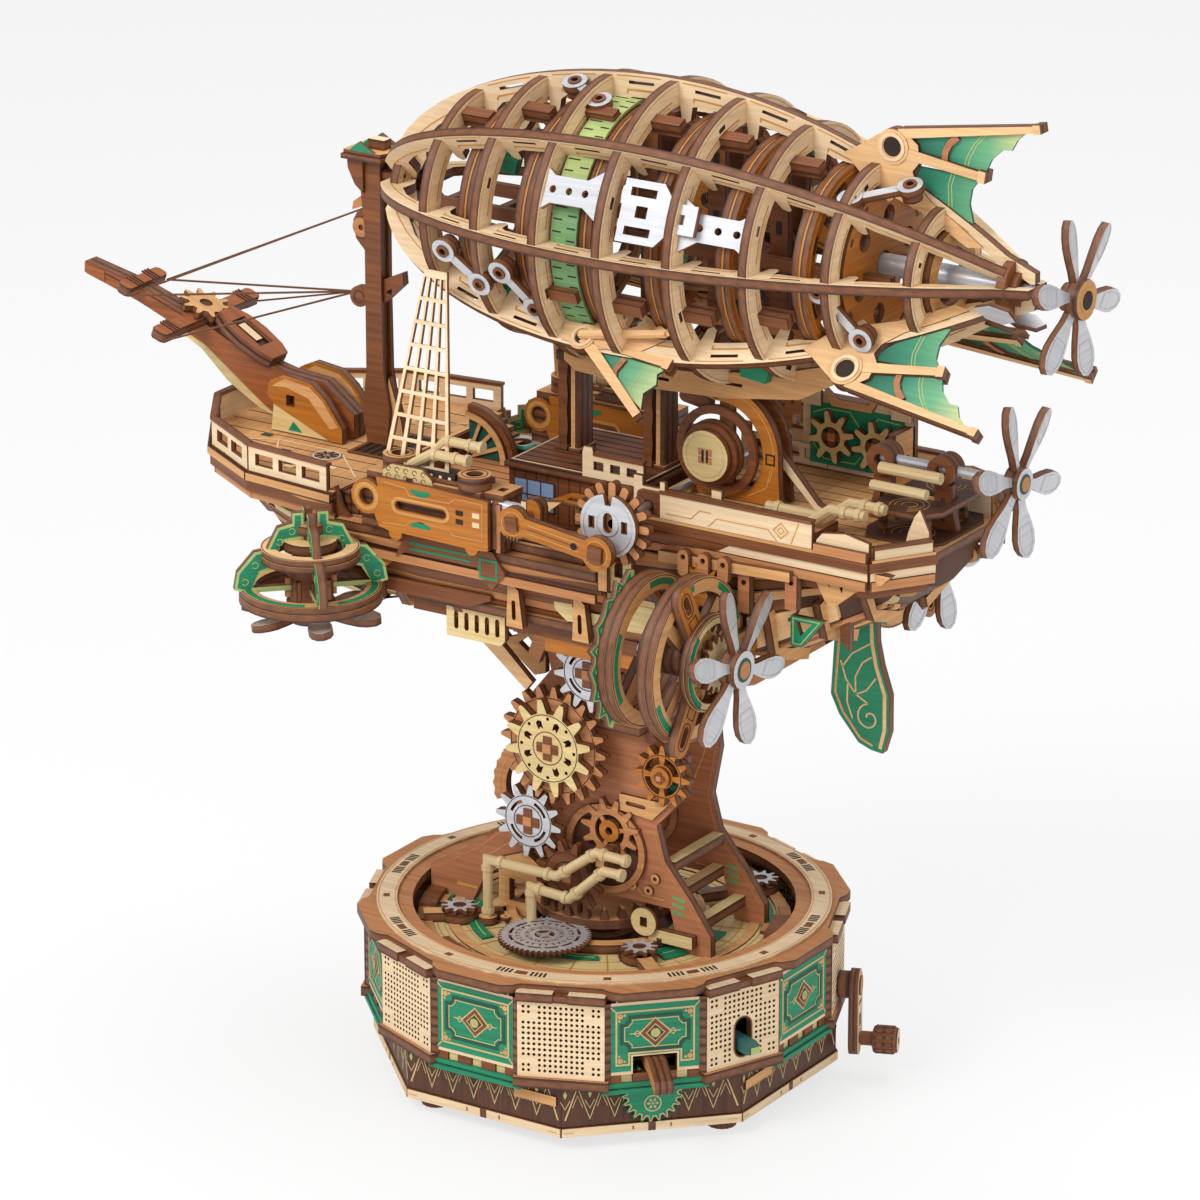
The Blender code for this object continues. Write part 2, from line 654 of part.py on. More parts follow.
def movement_parts():
    """Music movement: bed with bearing posts, pin cylinder and tone comb."""
    angle = CRANK_ANGLE
    floor = SKIRT_BOTTOM
    half = POST_WIDTH / 2
    comb_near = CYLINDER_OFFSET + CYLINDER_R + 2 * GAP
    comb_far = comb_near + COMB_DEPTH
    bed_start = CYLINDER_START - 2 * PIN_PROUD - PLY
    bed_end = CYLINDER_GEAR_START + PLY + 2 * PIN_PROUD + PLY
    bed = rectangle(-half - PIN_PROUD, floor, comb_far, floor + PLY)
    pieces = [sheet(bed, bed_end - bed_start, spoke(angle, bed_start))]
    posts = ((bed_start, CYLINDER_OFFSET), (bed_end - PLY, CYLINDER_OFFSET), (CRANK_BEARING_START, 0.0))
    for start, middle in posts:
        outline = rectangle(middle - half, floor + FUSE, middle + half, CRANK_Z + half - PIN_PROUD)
        bore = circle(BORE_R, BORE_SIDES, (middle, CRANK_Z))
        pieces.append(sheet(outline, PLY, spoke(angle, start), [bore]))
    comb_seat = CRANK_Z - COMB_THICKNESS / 2 - GAP
    root = comb_far - COMB_TOOTH_LENGTH
    block_outline = rectangle(root, floor + FUSE, comb_far, comb_seat)
    pieces.append(sheet(block_outline, CYLINDER_LENGTH, spoke(angle, CYLINDER_START)))
    part("music_bed", pieces, "tan_ply")

    pitch = CYLINDER_LENGTH / COMB_TEETH
    comb = [(0.0, comb_far), (0.0, comb_near)]
    for tooth in range(1, COMB_TEETH):
        left = pitch * tooth - COMB_SLIT / 2
        right = left + COMB_SLIT
        comb += [(left, comb_near), (left, root), (right, root), (right, comb_near)]
    comb += [(CYLINDER_LENGTH, comb_near), (CYLINDER_LENGTH, comb_far)]
    turn = Matrix.Rotation(math.radians(angle), 4, "Z")
    lying = turn @ Matrix.Translation((CYLINDER_START, 0, comb_seat + GAP))
    part("tone_comb", [sheet(comb, COMB_THICKNESS, lying)], "steel")

    middle = (CYLINDER_OFFSET, CRANK_Z)
    drum = sheet(circle(CYLINDER_R, 16, middle), CYLINDER_LENGTH, spoke(angle, CYLINDER_START))
    rest_phase = meshed_phase(0.0, MOVEMENT_TEETH, CYLINDER_TEETH, 0.0)
    outline = gear_outline(CYLINDER_TEETH, MOVEMENT_MODULE, middle, rest_phase)
    wheel = sheet(outline, PLY, spoke(angle, CYLINDER_GEAR_START))
    arbor_bar = sheet(circle(SHAFT_R, 10, middle), bed_end - bed_start, spoke(angle, bed_start))
    pivot = turn @ Vector((CYLINDER_START, CYLINDER_OFFSET, CRANK_Z))
    part("pin_cylinder", [drum, wheel, arbor_bar], "steel", pivot=pivot)


def lever_parts():
    """Switch lever that swings sideways and mode lever that swings up."""
    turn = Matrix.Rotation(math.radians(SWITCH_ANGLE), 4, "Z")
    low = SWITCH_Z - SWITCH_THICKNESS / 2
    high = SWITCH_Z + SWITCH_THICKNESS / 2
    back = SWITCH_PIVOT_R - POST_WIDTH / 2
    bend = DRUM_R + 2 * PIN_PROUD
    tip = [(SWITCH_REACH, low - SWITCH_DROP), (SWITCH_REACH, high - SWITCH_DROP)]
    outline = [(back, low), (bend, low), *tip, (bend, high), (back, high)]
    bar = sheet(outline, SWITCH_WIDTH, turn @ upright(0.0, SWITCH_WIDTH))
    place = polar(SWITCH_PIVOT_R, SWITCH_ANGLE)
    hole = sheet(circle(BORE_R, BORE_SIDES, place), 3 * SWITCH_THICKNESS, level(low - SWITCH_THICKNESS))
    pivot = (*polar(SWITCH_PIVOT_R, SWITCH_ANGLE), SWITCH_Z)
    part("switch_lever", [bar], "brown_ply", [hole], pivot)

    turn = Matrix.Rotation(math.radians(MODE_ANGLE), 4, "Z")
    half = MODE_SIZE / 2
    outline = rectangle(MODE_PIVOT_R - MODE_SIZE, MODE_Z - half, MODE_REACH, MODE_Z + half)
    hole_outline = circle(MODE_PIN_R + SHAFT_CLEARANCE, 12, (MODE_PIVOT_R, MODE_Z))
    lever = sheet(outline, MODE_SIZE, turn @ upright(0.0, MODE_SIZE), [hole_outline])
    part("mode_lever", [lever], "green_ply", pivot=(*polar(MODE_PIVOT_R, MODE_ANGLE), MODE_Z))


def turntable_parts():
    """Turning disc with crown teeth below, and the brown arms that lie on it."""
    pitch_z = CRANK_Z + DRIVE_PITCH_R
    disc = sheet(circle(TURNTABLE_R, 48), PLY, level(TURNTABLE_BOTTOM), [circle(SPINDLE_R + 2 * GAP, 16)])
    teeth = face_teeth(CROWN_R - PLY, CROWN_R + PLY, CROWN_TEETH, DRIVE_MODULE, TURNTABLE_BOTTOM, pitch_z,
                       CRANK_ANGLE)
    part("turntable_disc", [disc, *teeth], "green_ply")

    hole = circle(ARM_RING_R - ARM_RING_WIDTH, 24)
    pieces = [sheet(circle(ARM_RING_R, 24), PLY, level(DECK_BASE), [hole])]
    arm_start = ARM_RING_R - ARM_RING_WIDTH / 2
    for end in ARM_PADS:
        reach = math.hypot(*end)
        degrees = math.degrees(math.atan2(end[1], end[0]))
        frame = Matrix.Rotation(math.radians(degrees), 4, "Z") @ level(DECK_BASE)
        pieces.append(sheet(rectangle(arm_start, -ARM_WIDTH / 2, reach, ARM_WIDTH / 2), PLY, frame))
        pieces.append(sheet(circle(ARM_PAD_R, 8, end), PLY + PIN_PROUD, level(DECK_BASE)))
    part("deck_arms", pieces, "brown_ply")


def gear_centres():
    """Centres of the column gears in their plane, each placed from the one before."""
    pinion = (0.0, COLUMN_PINION_Z)
    step = polar(2 * SMALL_PITCH_R, LOWER_GEAR_ANGLE)
    lower = (pinion[0] + step[0], pinion[1] + step[1])
    step = polar(SMALL_PITCH_R + BIG_PITCH_R, BIG_GEAR_ANGLE)
    big = (lower[0] + step[0], lower[1] + step[1])
    step = polar(SMALL_PITCH_R + BIG_PITCH_R, UPPER_GEAR_ANGLE)
    upper = (big[0] + step[0], big[1] + step[1])
    return pinion, lower, big, upper


def stud(centre, radius, sides, start_y, end_y):
    """Round bar standing out towards -Y."""
    length = start_y - end_y
    return sheet(circle(radius, sides, centre), length, upright((start_y + end_y) / 2, length))


def axle_with_boss(centre, gear_y):
    """Pin and spacer boss standing out of the near cheek for a gear in this plane."""
    face = NEAR_CHEEK_Y - PLY / 2 + FUSE
    boss = stud(centre, BOSS_R, 8, face, gear_y + PLY / 2 + GAP)
    pin = stud(centre, SHAFT_R, 10, face, gear_y - PLY / 2 - PIN_PROUD)
    return [boss, pin]


def foot_reach(y):
    """How far forward a cheek's foot stays on the turntable."""
    return math.sqrt(TURNTABLE_R ** 2 - (abs(y) + PLY / 2) ** 2) - GAP


def column_parts():
    """Two cheeks that carry the ship and the gears."""
    base = DECK_BASE
    arch = base + CHEEK_ARCH_HEIGHT
    top = KEEL_Z - GAP
    foot = foot_reach(NEAR_CHEEK_Y)
    near = [(-foot, base), (-0.042, base), (-0.038, base + 0.008), (-0.032, arch), (0.032, arch),
            (0.036, base), (0.047, base), (0.047, base + 0.007), (0.040, base + 0.017),
            (0.030, base + 0.029), (0.027, 0.084), (0.038, 0.096), (0.038, 0.109), (0.028, 0.114),
            (0.022, 0.124), (0.026, top), (-0.016, top), (-0.012, 0.128), (-0.020, 0.118), (-0.020, 0.096),
            (-0.026, 0.084), (-0.026, 0.074), (-0.040, 0.064), (-foot, base + 0.009)]
    pieces = [sheet(near, PLY, upright(NEAR_CHEEK_Y))]
    for centre in gear_centres():
        pieces += axle_with_boss(centre, GEAR_PLANE_Y)
    pieces += axle_with_boss((ORANGE_GEAR_X, ORANGE_GEAR_Z), ORANGE_GEAR_Y)
    part("near_cheek", pieces, "pink_ply")

    foot = foot_reach(FAR_CHEEK_Y)
    far = [(-foot, base), *near[1:11], (0.030, 0.100), (0.028, SHELF_Z), (-0.016, SHELF_Z), (-0.020, 0.096),
           *near[20:-1], (-foot, base + 0.009)]
    inner_y = NEAR_CHEEK_Y + PLY / 2 + GAP
    shelf = block(-0.012, 0.024, inner_y, FAR_CHEEK_Y, SHELF_Z - PLY, SHELF_Z - GAP)
    core = block(-0.006, 0.020, inner_y + GAP, -NEAR_CHEEK_Y, SHELF_Z - PLY / 2, top)
    part("far_cheek", [sheet(far, PLY, upright(FAR_CHEEK_Y)), shelf, core], "pink_ply")


def column_gears():
    """Column pinion, lower, big, upper and orange gears."""
    pinion, lower, big, upper = gear_centres()
    pinion_phase = -90.0 + 180.0 / SMALL_TEETH
    lower_phase = meshed_phase(pinion_phase, SMALL_TEETH, SMALL_TEETH, LOWER_GEAR_ANGLE)
    big_phase = meshed_phase(lower_phase, SMALL_TEETH, BIG_TEETH, BIG_GEAR_ANGLE)
    upper_phase = meshed_phase(big_phase, BIG_TEETH, SMALL_TEETH, UPPER_GEAR_ANGLE)
    plans = (("column_pinion", pinion, SMALL_TEETH, pinion_phase, "tan_ply"),
             ("lower_gear", lower, SMALL_TEETH, lower_phase, "silver_ply"),
             ("upper_gear", upper, SMALL_TEETH, upper_phase, "silver_ply"))
    for name, centre, teeth, phase, look in plans:
        outline = gear_outline(teeth, COLUMN_MODULE, centre, phase)
        wheel = sheet(outline, PLY, upright(GEAR_PLANE_Y), [circle(BORE_R, BORE_SIDES, centre)])
        part(name, [wheel], look, pivot=(centre[0], GEAR_PLANE_Y, centre[1]))

    bore = [circle(BORE_R, BORE_SIDES, big)]
    back = sheet(gear_outline(BIG_TEETH, COLUMN_MODULE, big, big_phase), PLY, upright(GEAR_PLANE_Y), bore)
    front_outline = gear_outline(SMALL_TEETH, FRONT_GEAR_MODULE, big, big_phase)
    front = sheet(front_outline, PLY, upright(GEAR_PLANE_Y - PLY + FUSE), bore)
    part("big_gear", [back, front], "cream_ply", pivot=(big[0], GEAR_PLANE_Y, big[1]))

    centre = (ORANGE_GEAR_X, ORANGE_GEAR_Z)
    outline = gear_outline(SMALL_TEETH, ORANGE_GEAR_MODULE, centre)
    wheel = sheet(outline, PLY, upright(ORANGE_GEAR_Y), [circle(BORE_R, BORE_SIDES, centre)])
    part("orange_gear", [wheel], "orange_ply", pivot=(centre[0], ORANGE_GEAR_Y, centre[1]))


# Hull stations from bow to stern: place, then half width and level of the deck, the chine and the keel
HULL_STATIONS = (
    (-0.141, 0.009, FORE_DECK_Z, 0.007, 0.178, 0.003, 0.176),
    (-0.127, 0.027, FORE_DECK_Z, 0.014, 0.174, 0.004, 0.170),
    (-0.103, 0.043, FORE_DECK_Z, 0.026, 0.163, 0.006, 0.155),
    (-0.080, 0.047, FORE_DECK_Z, 0.032, 0.153, 0.010, 0.148),
    (-0.0685, 0.048, FORE_DECK_Z, 0.033, 0.152, 0.011, 0.146),
    (-0.067, 0.048, WAIST_DECK_Z, 0.033, 0.152, 0.011, 0.146),
    (-0.040, 0.049, WAIST_DECK_Z, 0.036, 0.151, 0.012, KEEL_Z),
    (0.0285, 0.047, WAIST_DECK_Z, 0.036, 0.151, 0.012, KEEL_Z),
    (0.030, 0.042, QUARTER_DECK_Z, 0.036, 0.151, 0.012, KEEL_Z),
    (0.075, 0.037, QUARTER_DECK_Z, 0.030, 0.156, 0.009, 0.150),
    (0.105, 0.033, QUARTER_DECK_Z, 0.024, 0.172, 0.006, 0.166),
    (0.122, 0.024, QUARTER_DECK_Z, 0.018, 0.182, 0.004, 0.178),
)


def hull_section(x):
    """Half widths and levels of deck, chine and keel at this place."""
    for aft, fore in zip(HULL_STATIONS[1:], HULL_STATIONS):
        if fore[0] <= x <= aft[0]:
            share = (x - fore[0]) / (aft[0] - fore[0])
            return [f + share * (a - f) for f, a in zip(fore[1:], aft[1:])]
    raise ValueError("outside the hull")


def hull_half_width(x, z):
    """Outer half width of the hull side at this place and level."""
    deck, deck_z, chine, chine_z, _, _ = hull_section(x)
    rise = (z - chine_z) / (deck_z - chine_z)
    return chine + rise * (deck - chine)


def hull_solid(inset, top_extra, end_inset):
    """Loft through the stations, made smaller by an inset and taller by an extra."""
    sections = []
    last = len(HULL_STATIONS) - 1
    for index, (x, deck, deck_z, chine, chine_z, keel, keel_z) in enumerate(HULL_STATIONS):
        if index == 0:
            x += end_inset
        if index == last:
            x -= end_inset
        top = deck_z - GAP + top_extra
        deck = max(deck - 1.2 * inset, 0.003)
        chine = max(chine - 1.1 * inset, 0.002)
        keel = max(keel - 0.6 * inset, 0.001)
        half = [(deck, top), (chine, chine_z + 0.8 * inset), (keel, keel_z + inset)]
        ring = [(x, -y, z) for y, z in half] + [(x, y, z) for y, z in reversed(half)]
        sections.append(ring)
    return loft(sections)


def hull_parts():
    """Hull shell with its keel webs, and the rudder below the stern."""
    fore_web = [(-0.118, 0.180), (-0.1155, 0.168), (-0.098, 0.151), (-0.083, 0.1345), (-0.070, 0.138),
                (-0.045, KEEL_Z + 0.002), (-0.060, 0.1485), (-0.098, 0.160)]
    aft_web = [(0.030, KEEL_Z + 0.002), (0.036, 0.127), (0.0568, 0.1345), (0.0816, 0.1525), (0.0816, 0.158),
               (0.060, 0.153)]
    webs = [sheet(fore_web, PLY, upright(0.0)), sheet(aft_web, PLY, upright(0.0))]
    room = hull_solid(HULL_WALL, HULL_END_WALL, HULL_END_WALL)
    shell = combined(hull_solid(0.0, 0.0, 0.0), [room], "DIFFERENCE")
    part("hull_shell", [shell, *webs], "brown_ply")

    seat = hull_section(RUDDER_START)[-1] - 2 * GAP
    seat_end = hull_section(RUDDER_END)[-1] - 2 * GAP
    rudder = [(RUDDER_START, seat), (0.083, 0.136), (0.093, 0.122), (0.1015, 0.120), (0.1035, 0.139),
              (RUDDER_END + GAP, 0.155), (RUDDER_END, seat_end)]
    part("rudder", [sheet(rudder, PLY, upright(0.0))], "green_ply")


def fence(points, z0, z1, thickness=RAIL_THICKNESS):
    """Upright strips along a run of points."""
    strips = []
    for start, end in zip(points, points[1:]):
        first = Vector(start)
        way = Vector(end) - first
        degrees = math.degrees(math.atan2(way.y, way.x))
        frame = Matrix.Translation((first.x, first.y, z0)) @ Matrix.Rotation(math.radians(degrees), 4, "Z")
        outline = rectangle(-thickness / 2, -thickness / 2, way.length + thickness / 2, thickness / 2)
        strips.append(sheet(outline, z1 - z0, frame))
    return strips


def mirrored(points):
    return [(x, -y) for x, y in points]


def deck_parts():
    """The three decks, two of them with their railings."""
    side = [(-0.142, 0.010), (-0.128, 0.031), (-0.103, 0.046), (-0.068, 0.050)]
    top = FORE_DECK_Z + PLY
    pieces = [sheet(mirrored(side) + side[::-1], PLY, level(FORE_DECK_Z))]
    rail = [(-0.1395, 0.009), (-0.1265, 0.029), (-0.1022, 0.0438), (-0.070, 0.0476)]
    for run in (rail, mirrored(rail)):
        pieces += fence(run, top - FUSE, top + RAIL_HEIGHT)
    part("fore_deck", pieces, "tan_ply")

    waist_start = -0.067 + GAP
    waist_end = 0.0285
    half = 0.0495
    waist = rectangle(waist_start, -half, waist_end, half)
    part("waist_deck", [sheet(waist, PLY, level(WAIST_DECK_Z))], "brown_ply")

    rim = [(0.0302, 0.038), (0.117, 0.038), (0.129, 0.020)]
    top = QUARTER_DECK_Z + PLY
    pieces = [sheet(mirrored(rim) + rim[::-1], PLY, level(QUARTER_DECK_Z))]
    rail = [(0.046, 0.0365), (0.116, 0.0365), (0.1275, 0.0195)]
    for run in (rail, mirrored(rail)):
        pieces += fence(run, top - FUSE, top + RAIL_HEIGHT)
    half = BEARING_WIDTH / 2
    for side_y in (-0.0345, 0.0345):
        outline = rectangle(WHEEL_X - half, top - FUSE, WHEEL_X + half, WHEEL_Z + half)
        pieces.append(sheet(outline, PLY, upright(side_y), [circle(BORE_R, BORE_SIDES, (WHEEL_X, WHEEL_Z))]))
    half = STERN_POST_WIDTH / 2
    for post_x in STERN_POSTS:
        outline = rectangle(-half, top - FUSE, half, STERN_PROPELLER_Z + half)
        bore = circle(BORE_R, BORE_SIDES, (0.0, STERN_PROPELLER_Z))
        pieces.append(sheet(outline, PLY, across(post_x), [bore]))
    part("quarter_deck", pieces, "tan_ply")


def bow_parts():
    """Bowsprit, mast, rigging thread and the two shroud nets."""
    seat = FORE_DECK_Z + PLY + GAP
    profile = [(-0.092, seat), (-0.118, seat), (-0.128, 0.193), (-0.150, 0.2085), (-0.176, 0.2185),
               (-0.1965, 0.2245), (-0.197, 0.2285), (-0.176, 0.2240), (-0.150, 0.2155), (-0.132, 0.2075),
               (-0.118, 0.2045), (-0.104, 0.2035), (-0.092, 0.1945)]
    pieces = [sheet(profile, 2 * PLY, upright(0.0, 2 * PLY))]
    for x, reach, z in (CROSS_ARM_1, CROSS_ARM_2):
        half = CROSS_ARM_WIDTH / 2
        pieces.append(block(x - half, x + half, -reach, reach, z - PLY / 2, z + PLY / 2))
    x, _, z = CROSS_ARM_2
    pieces.append(sheet(circle(1.5 * CROSS_ARM_WIDTH, 10, (x + FUSE, 0.0)), PLY, level(z - FUSE)))
    part("bowsprit", pieces, "brown_ply")

    half = MAST_WIDTH / 2
    face = MAST_X - half
    tip = face - SCROLL_REACH
    pieces = [block(face, MAST_X + half, -half, half, seat, MAST_TOP - FUSE)]
    pieces.append(sheet(circle(MAST_CAP_R, 12, (MAST_X, 0.0)), PLY, level(MAST_TOP - PLY)))
    scroll = [(face + FUSE, LOWER_EYE_Z + 0.004), (tip, LOWER_EYE_Z + 0.001), (tip, LOWER_EYE_Z - 0.003),
              (face + FUSE, LOWER_EYE_Z - 0.006)]
    pieces.append(sheet(scroll, PLY, upright(0.0)))
    pieces.append(rod((MAST_X, 0.0, BALLOON_Z), (NOSE_X - GAP, 0.0, BALLOON_Z), NOSE_ROD_R, 8))
    part("mast", pieces, "brown_ply")
    rigging_part()
    shroud_parts()


def rigging_part():
    """One thread laced from the mast over both cross arms, drawn taut."""
    clear = THREAD_R + GAP
    mast_x = MAST_X - MAST_WIDTH / 2 - clear
    upper = Vector((mast_x, 0.0, UPPER_EYE_Z))
    lower = Vector((mast_x - SCROLL_REACH, 0.0, LOWER_EYE_Z))
    pieces = []
    for side in (-1, 1):
        ends = []
        for x, reach, z in (CROSS_ARM_1, CROSS_ARM_2):
            ends.append(Vector((x + CROSS_ARM_WIDTH / 2 + clear, side * reach, z)))
        first, second = ends
        pieces.append(rod(upper, first, THREAD_R, 4))
        pieces.append(rod(lower, second, THREAD_R, 4))
        pieces.append(rod(lower, first, THREAD_R, 4))
    part("rigging_thread", pieces, "thread")


def shroud_parts():
    """Ladder nets that rise from the engines towards the balloon."""
    bottom = ENGINE_TOP + GAP
    rise = SHROUD_TOP - bottom
    inward = ENGINE_Y - SHROUD_TOP_Y
    height = math.hypot(rise, inward)
    lean = math.atan2(inward, rise)
    low = (-0.049, -0.025)
    high = (-0.043, -0.035)
    for name, side in (("shroud_near", -1), ("shroud_far", 1)):
        outline = [(low[0], 0.0), (low[1], 0.0), (high[1], height), (high[0], height)]
        holes = []
        for row in range(SHROUD_ROWS):
            for column in range(2):
                holes.append(net_gap(low, high, height, row, column))
        place = Matrix.Translation((0.0, side * ENGINE_Y, bottom)) @ Matrix.Rotation(side * lean, 4, "X")
        frame = place @ upright(0.0, SHROUD_THICKNESS)
        part(name, [sheet(outline, SHROUD_THICKNESS, frame, holes)], "cream_ply")


def net_gap(low, high, height, row, column):
    """One opening of a shroud net, between its rungs."""
    bar = SHROUD_BAR
    pitch = (height - bar) / SHROUD_ROWS
    corners = []
    for v in (bar + row * pitch, (row + 1) * pitch):
        share = v / height
        left = low[0] + (high[0] - low[0]) * share
        right = low[1] + (high[1] - low[1]) * share
        width = (right - left - 3 * bar) / 2
        begin = left + bar + column * (width + bar)
        corners.append([(begin, v), (begin + width, v)])
    return corners[0] + corners[1][::-1]


def engine_parts():
    """Engine boxes with their cylinder heads, piston, connecting rod, drive wheels and flywheel."""
    start = ENGINE_START
    end = start + ENGINE_LENGTH
    seat = WAIST_DECK_Z + PLY + GAP
    roof = ENGINE_TOP - PLY
    for name, side in (("engine_near", -1), ("engine_far", 1)):
        low, high = sorted((side * (ENGINE_Y - ENGINE_WIDTH / 2), side * (ENGINE_Y + ENGINE_WIDTH / 2)))
        pieces = [block(start, end, low, high, seat, roof + FUSE)]
        pieces.append(block(start + 0.004, end - 0.010, low + 0.0015, high - 0.0015, roof - FUSE, ENGINE_TOP))
        for place in (-0.013, -0.021):
            head = circle(CYLINDER_HEAD_R, 12, (place, side * ENGINE_Y))
            pieces.append(sheet(head, ENGINE_TOP + 2 * PIN_PROUD - roof, level(roof)))
        cuts = []
        if side < 0:
            deep = end - PISTON_ROD_LENGTH + PIN_PROUD
            bore = ((deep, PISTON_Y, PISTON_Z), (end + PIN_PROUD, PISTON_Y, PISTON_Z))
            cuts = [rod(*bore, PISTON_ROD_R + SHAFT_CLEARANCE)]
        part(name, pieces, "orange_ply", cuts)

    rod_y = -WHEEL_Y - WHEEL_STEP - PLY / 2 - 2 * PIN_PROUD - PLY
    middle = (CROSSHEAD_X, PISTON_Y, PISTON_Z)
    half = CROSSHEAD / 2
    head = block(CROSSHEAD_X - half, CROSSHEAD_X + half, PISTON_Y - half, PISTON_Y + half,
                 PISTON_Z - half - PIN_PROUD, PISTON_Z + half + PIN_PROUD)
    bar = rod((CROSSHEAD_X - PISTON_ROD_LENGTH, PISTON_Y, PISTON_Z), middle, PISTON_ROD_R)
    wrist = rod(middle, (CROSSHEAD_X, rod_y - PLY / 2 - PIN_PROUD, PISTON_Z), SHAFT_R)
    part("piston", [head, bar, wrist], "silver_ply", pivot=middle)

    pin = (WHEEL_X, WHEEL_Z - CRANK_PIN_THROW)
    wrist_place = (CROSSHEAD_X, PISTON_Z)
    slope = math.atan2(pin[1] - PISTON_Z, pin[0] - CROSSHEAD_X)
    outline = []
    for centre, radius, base in ((pin, BIG_END_R, -90.0), (wrist_place, SMALL_END_R, 90.0)):
        for step in range(7):
            u, v = polar(radius, math.degrees(slope) + base + 30.0 * step)
            outline.append((centre[0] + u, centre[1] + v))
    holes = [circle(BORE_R, BORE_SIDES, wrist_place), circle(BIG_END_BORE_R, 12, pin)]
    pivot = (CROSSHEAD_X, rod_y, PISTON_Z)
    part("connecting_rod", [sheet(outline, PLY, upright(rod_y), holes)], "orange_ply", pivot=pivot)
    wheel_parts(pin, rod_y + PLY / 2 + GAP)


def wheel_parts(pin, pin_end):
    """Toothed drive wheels on one axle with a crank pin, and the flywheel in its arch."""
    centre = (WHEEL_X, WHEEL_Z)
    toothed = gear_outline(WHEEL_TEETH, WHEEL_MODULE, centre)
    pieces = [rod((WHEEL_X, -WHEEL_Y, WHEEL_Z), (WHEEL_X, WHEEL_Y, WHEEL_Z), SHAFT_R)]
    pieces.append(sheet(toothed, PLY, upright(-WHEEL_Y)))
    pieces.append(sheet(circle(WHEEL_FACE_R, 16, centre), PLY, upright(-WHEEL_Y - WHEEL_STEP)))
    pieces.append(sheet(circle(WHEEL_R, 20, centre), PLY, upright(WHEEL_Y)))
    pieces.append(rod((pin[0], -WHEEL_Y - WHEEL_STEP, pin[1]), (pin[0], pin_end, pin[1]), SHAFT_R))
    part("drive_wheels", pieces, "silver_ply", pivot=(WHEEL_X, 0.0, WHEEL_Z))

    centre = (FLYWHEEL_X, FLYWHEEL_Z)
    disc = sheet(circle(FLYWHEEL_R, 16, centre), PLY, upright(FLYWHEEL_Y))
    hub_length = PLY + 2 * PIN_PROUD
    hub = sheet(circle(FLYWHEEL_HUB_R, 12, centre), hub_length, upright(FLYWHEEL_Y, hub_length))
    axle_end = ARCH_Y + PLY / 2 + PIN_PROUD
    axle = rod((FLYWHEEL_X, FLYWHEEL_Y, FLYWHEEL_Z), (FLYWHEEL_X, axle_end, FLYWHEEL_Z), SHAFT_R)
    part("flywheel", [disc, hub, axle], "pale_ply", pivot=(FLYWHEEL_X, FLYWHEEL_Y, FLYWHEEL_Z))

    deck = QUARTER_DECK_Z + PLY + GAP
    inner = ARCH_R - ARCH_WIDTH
    foot = centre[0] - FLYWHEEL_HUB_R
    outline = [(foot, deck), (centre[0] + ARCH_R, deck)]
    for step in range(9):
        u, v = polar(ARCH_R, 15.0 * step)
        outline.append((centre[0] + u, centre[1] + v))
    for step in range(9):
        u, v = polar(inner, 120.0 - 15.0 * step)
        outline.append((centre[0] + u, centre[1] + v))
    outline += [(centre[0] + inner, deck + ARCH_WIDTH), (foot, deck + ARCH_WIDTH)]
    strut = rectangle(centre[0] - PLY, deck + PIN_PROUD, centre[0] + PLY, centre[1] + 2 * PLY)
    bore = [circle(BORE_R, BORE_SIDES, centre)]
    pieces = [sheet(outline, PLY, upright(ARCH_Y)), sheet(strut, PLY, upright(ARCH_Y), bore)]
    part("flywheel_arch", pieces, "orange_ply")

    end = PANEL_START + PANEL_LENGTH
    top = deck + PANEL_RISE
    pieces = [sheet(rectangle(PANEL_START, deck, end, top), PLY, upright(PANEL_Y))]
    relief_y = PANEL_Y - PLY / 2 - PLY / 4
    for share in (0.26, 0.72):
        relief = circle(PANEL_GEAR_R, 12, (PANEL_START + share * PANEL_LENGTH, deck + PANEL_RISE / 2))
        pieces.append(sheet(relief, PLY, upright(relief_y)))
    pieces.append(block(end - PLY / 2, end + PLY / 2, PANEL_Y - 3 * PLY, PANEL_Y, deck, top))
    part("gear_panel", pieces, "green_ply")


def balloon_radius(x):
    """Outer radius of the balloon: an ellipse forward of its middle and a parabola aft of it."""
    if x < BALLOON_MIDDLE_X:
        share = (BALLOON_MIDDLE_X - x) / BALLOON_NOSE
        return BALLOON_R * math.sqrt(max(1.0 - share * share, 0.0))
    share = (x - BALLOON_MIDDLE_X) / BALLOON_TAIL
    return BALLOON_R * (1.0 - share * share)


def stringer_outline():
    """Curved strip along the balloon, as points of place and radius."""
    stations = [NOSE_X + 0.0005, -0.068, -0.058, -0.042, -0.018, 0.010, 0.040, 0.070, 0.100, TAIL_X + PLY]
    outer = [(x, balloon_radius(x)) for x in stations]
    inner = [(x, max(balloon_radius(x) - STRINGER_DEPTH, 0.004)) for x in stations]
    return outer + inner[::-1]


def tail_fin():
    """Bat-wing fin that grows out of a stringer at the tail."""
    return [(0.090, 0.0315), (0.096, 0.041), (0.104, 0.043), (0.150, 0.052), (0.1525, 0.0495), (0.140, 0.045),
            (0.142, 0.040), (0.133, 0.033), (0.136, 0.028), (0.130, 0.022), (0.131, 0.0135), (0.117, 0.0205),
            (0.104, 0.0275)]


def side_wing():
    """Smaller wing on the lower stringers, amidships."""
    return [(0.000, 0.041), (0.006, 0.048), (0.012, 0.050), (0.040, 0.066), (0.044, 0.064), (0.040, 0.056),
            (0.047, 0.050), (0.046, 0.044), (0.020, 0.0435)]


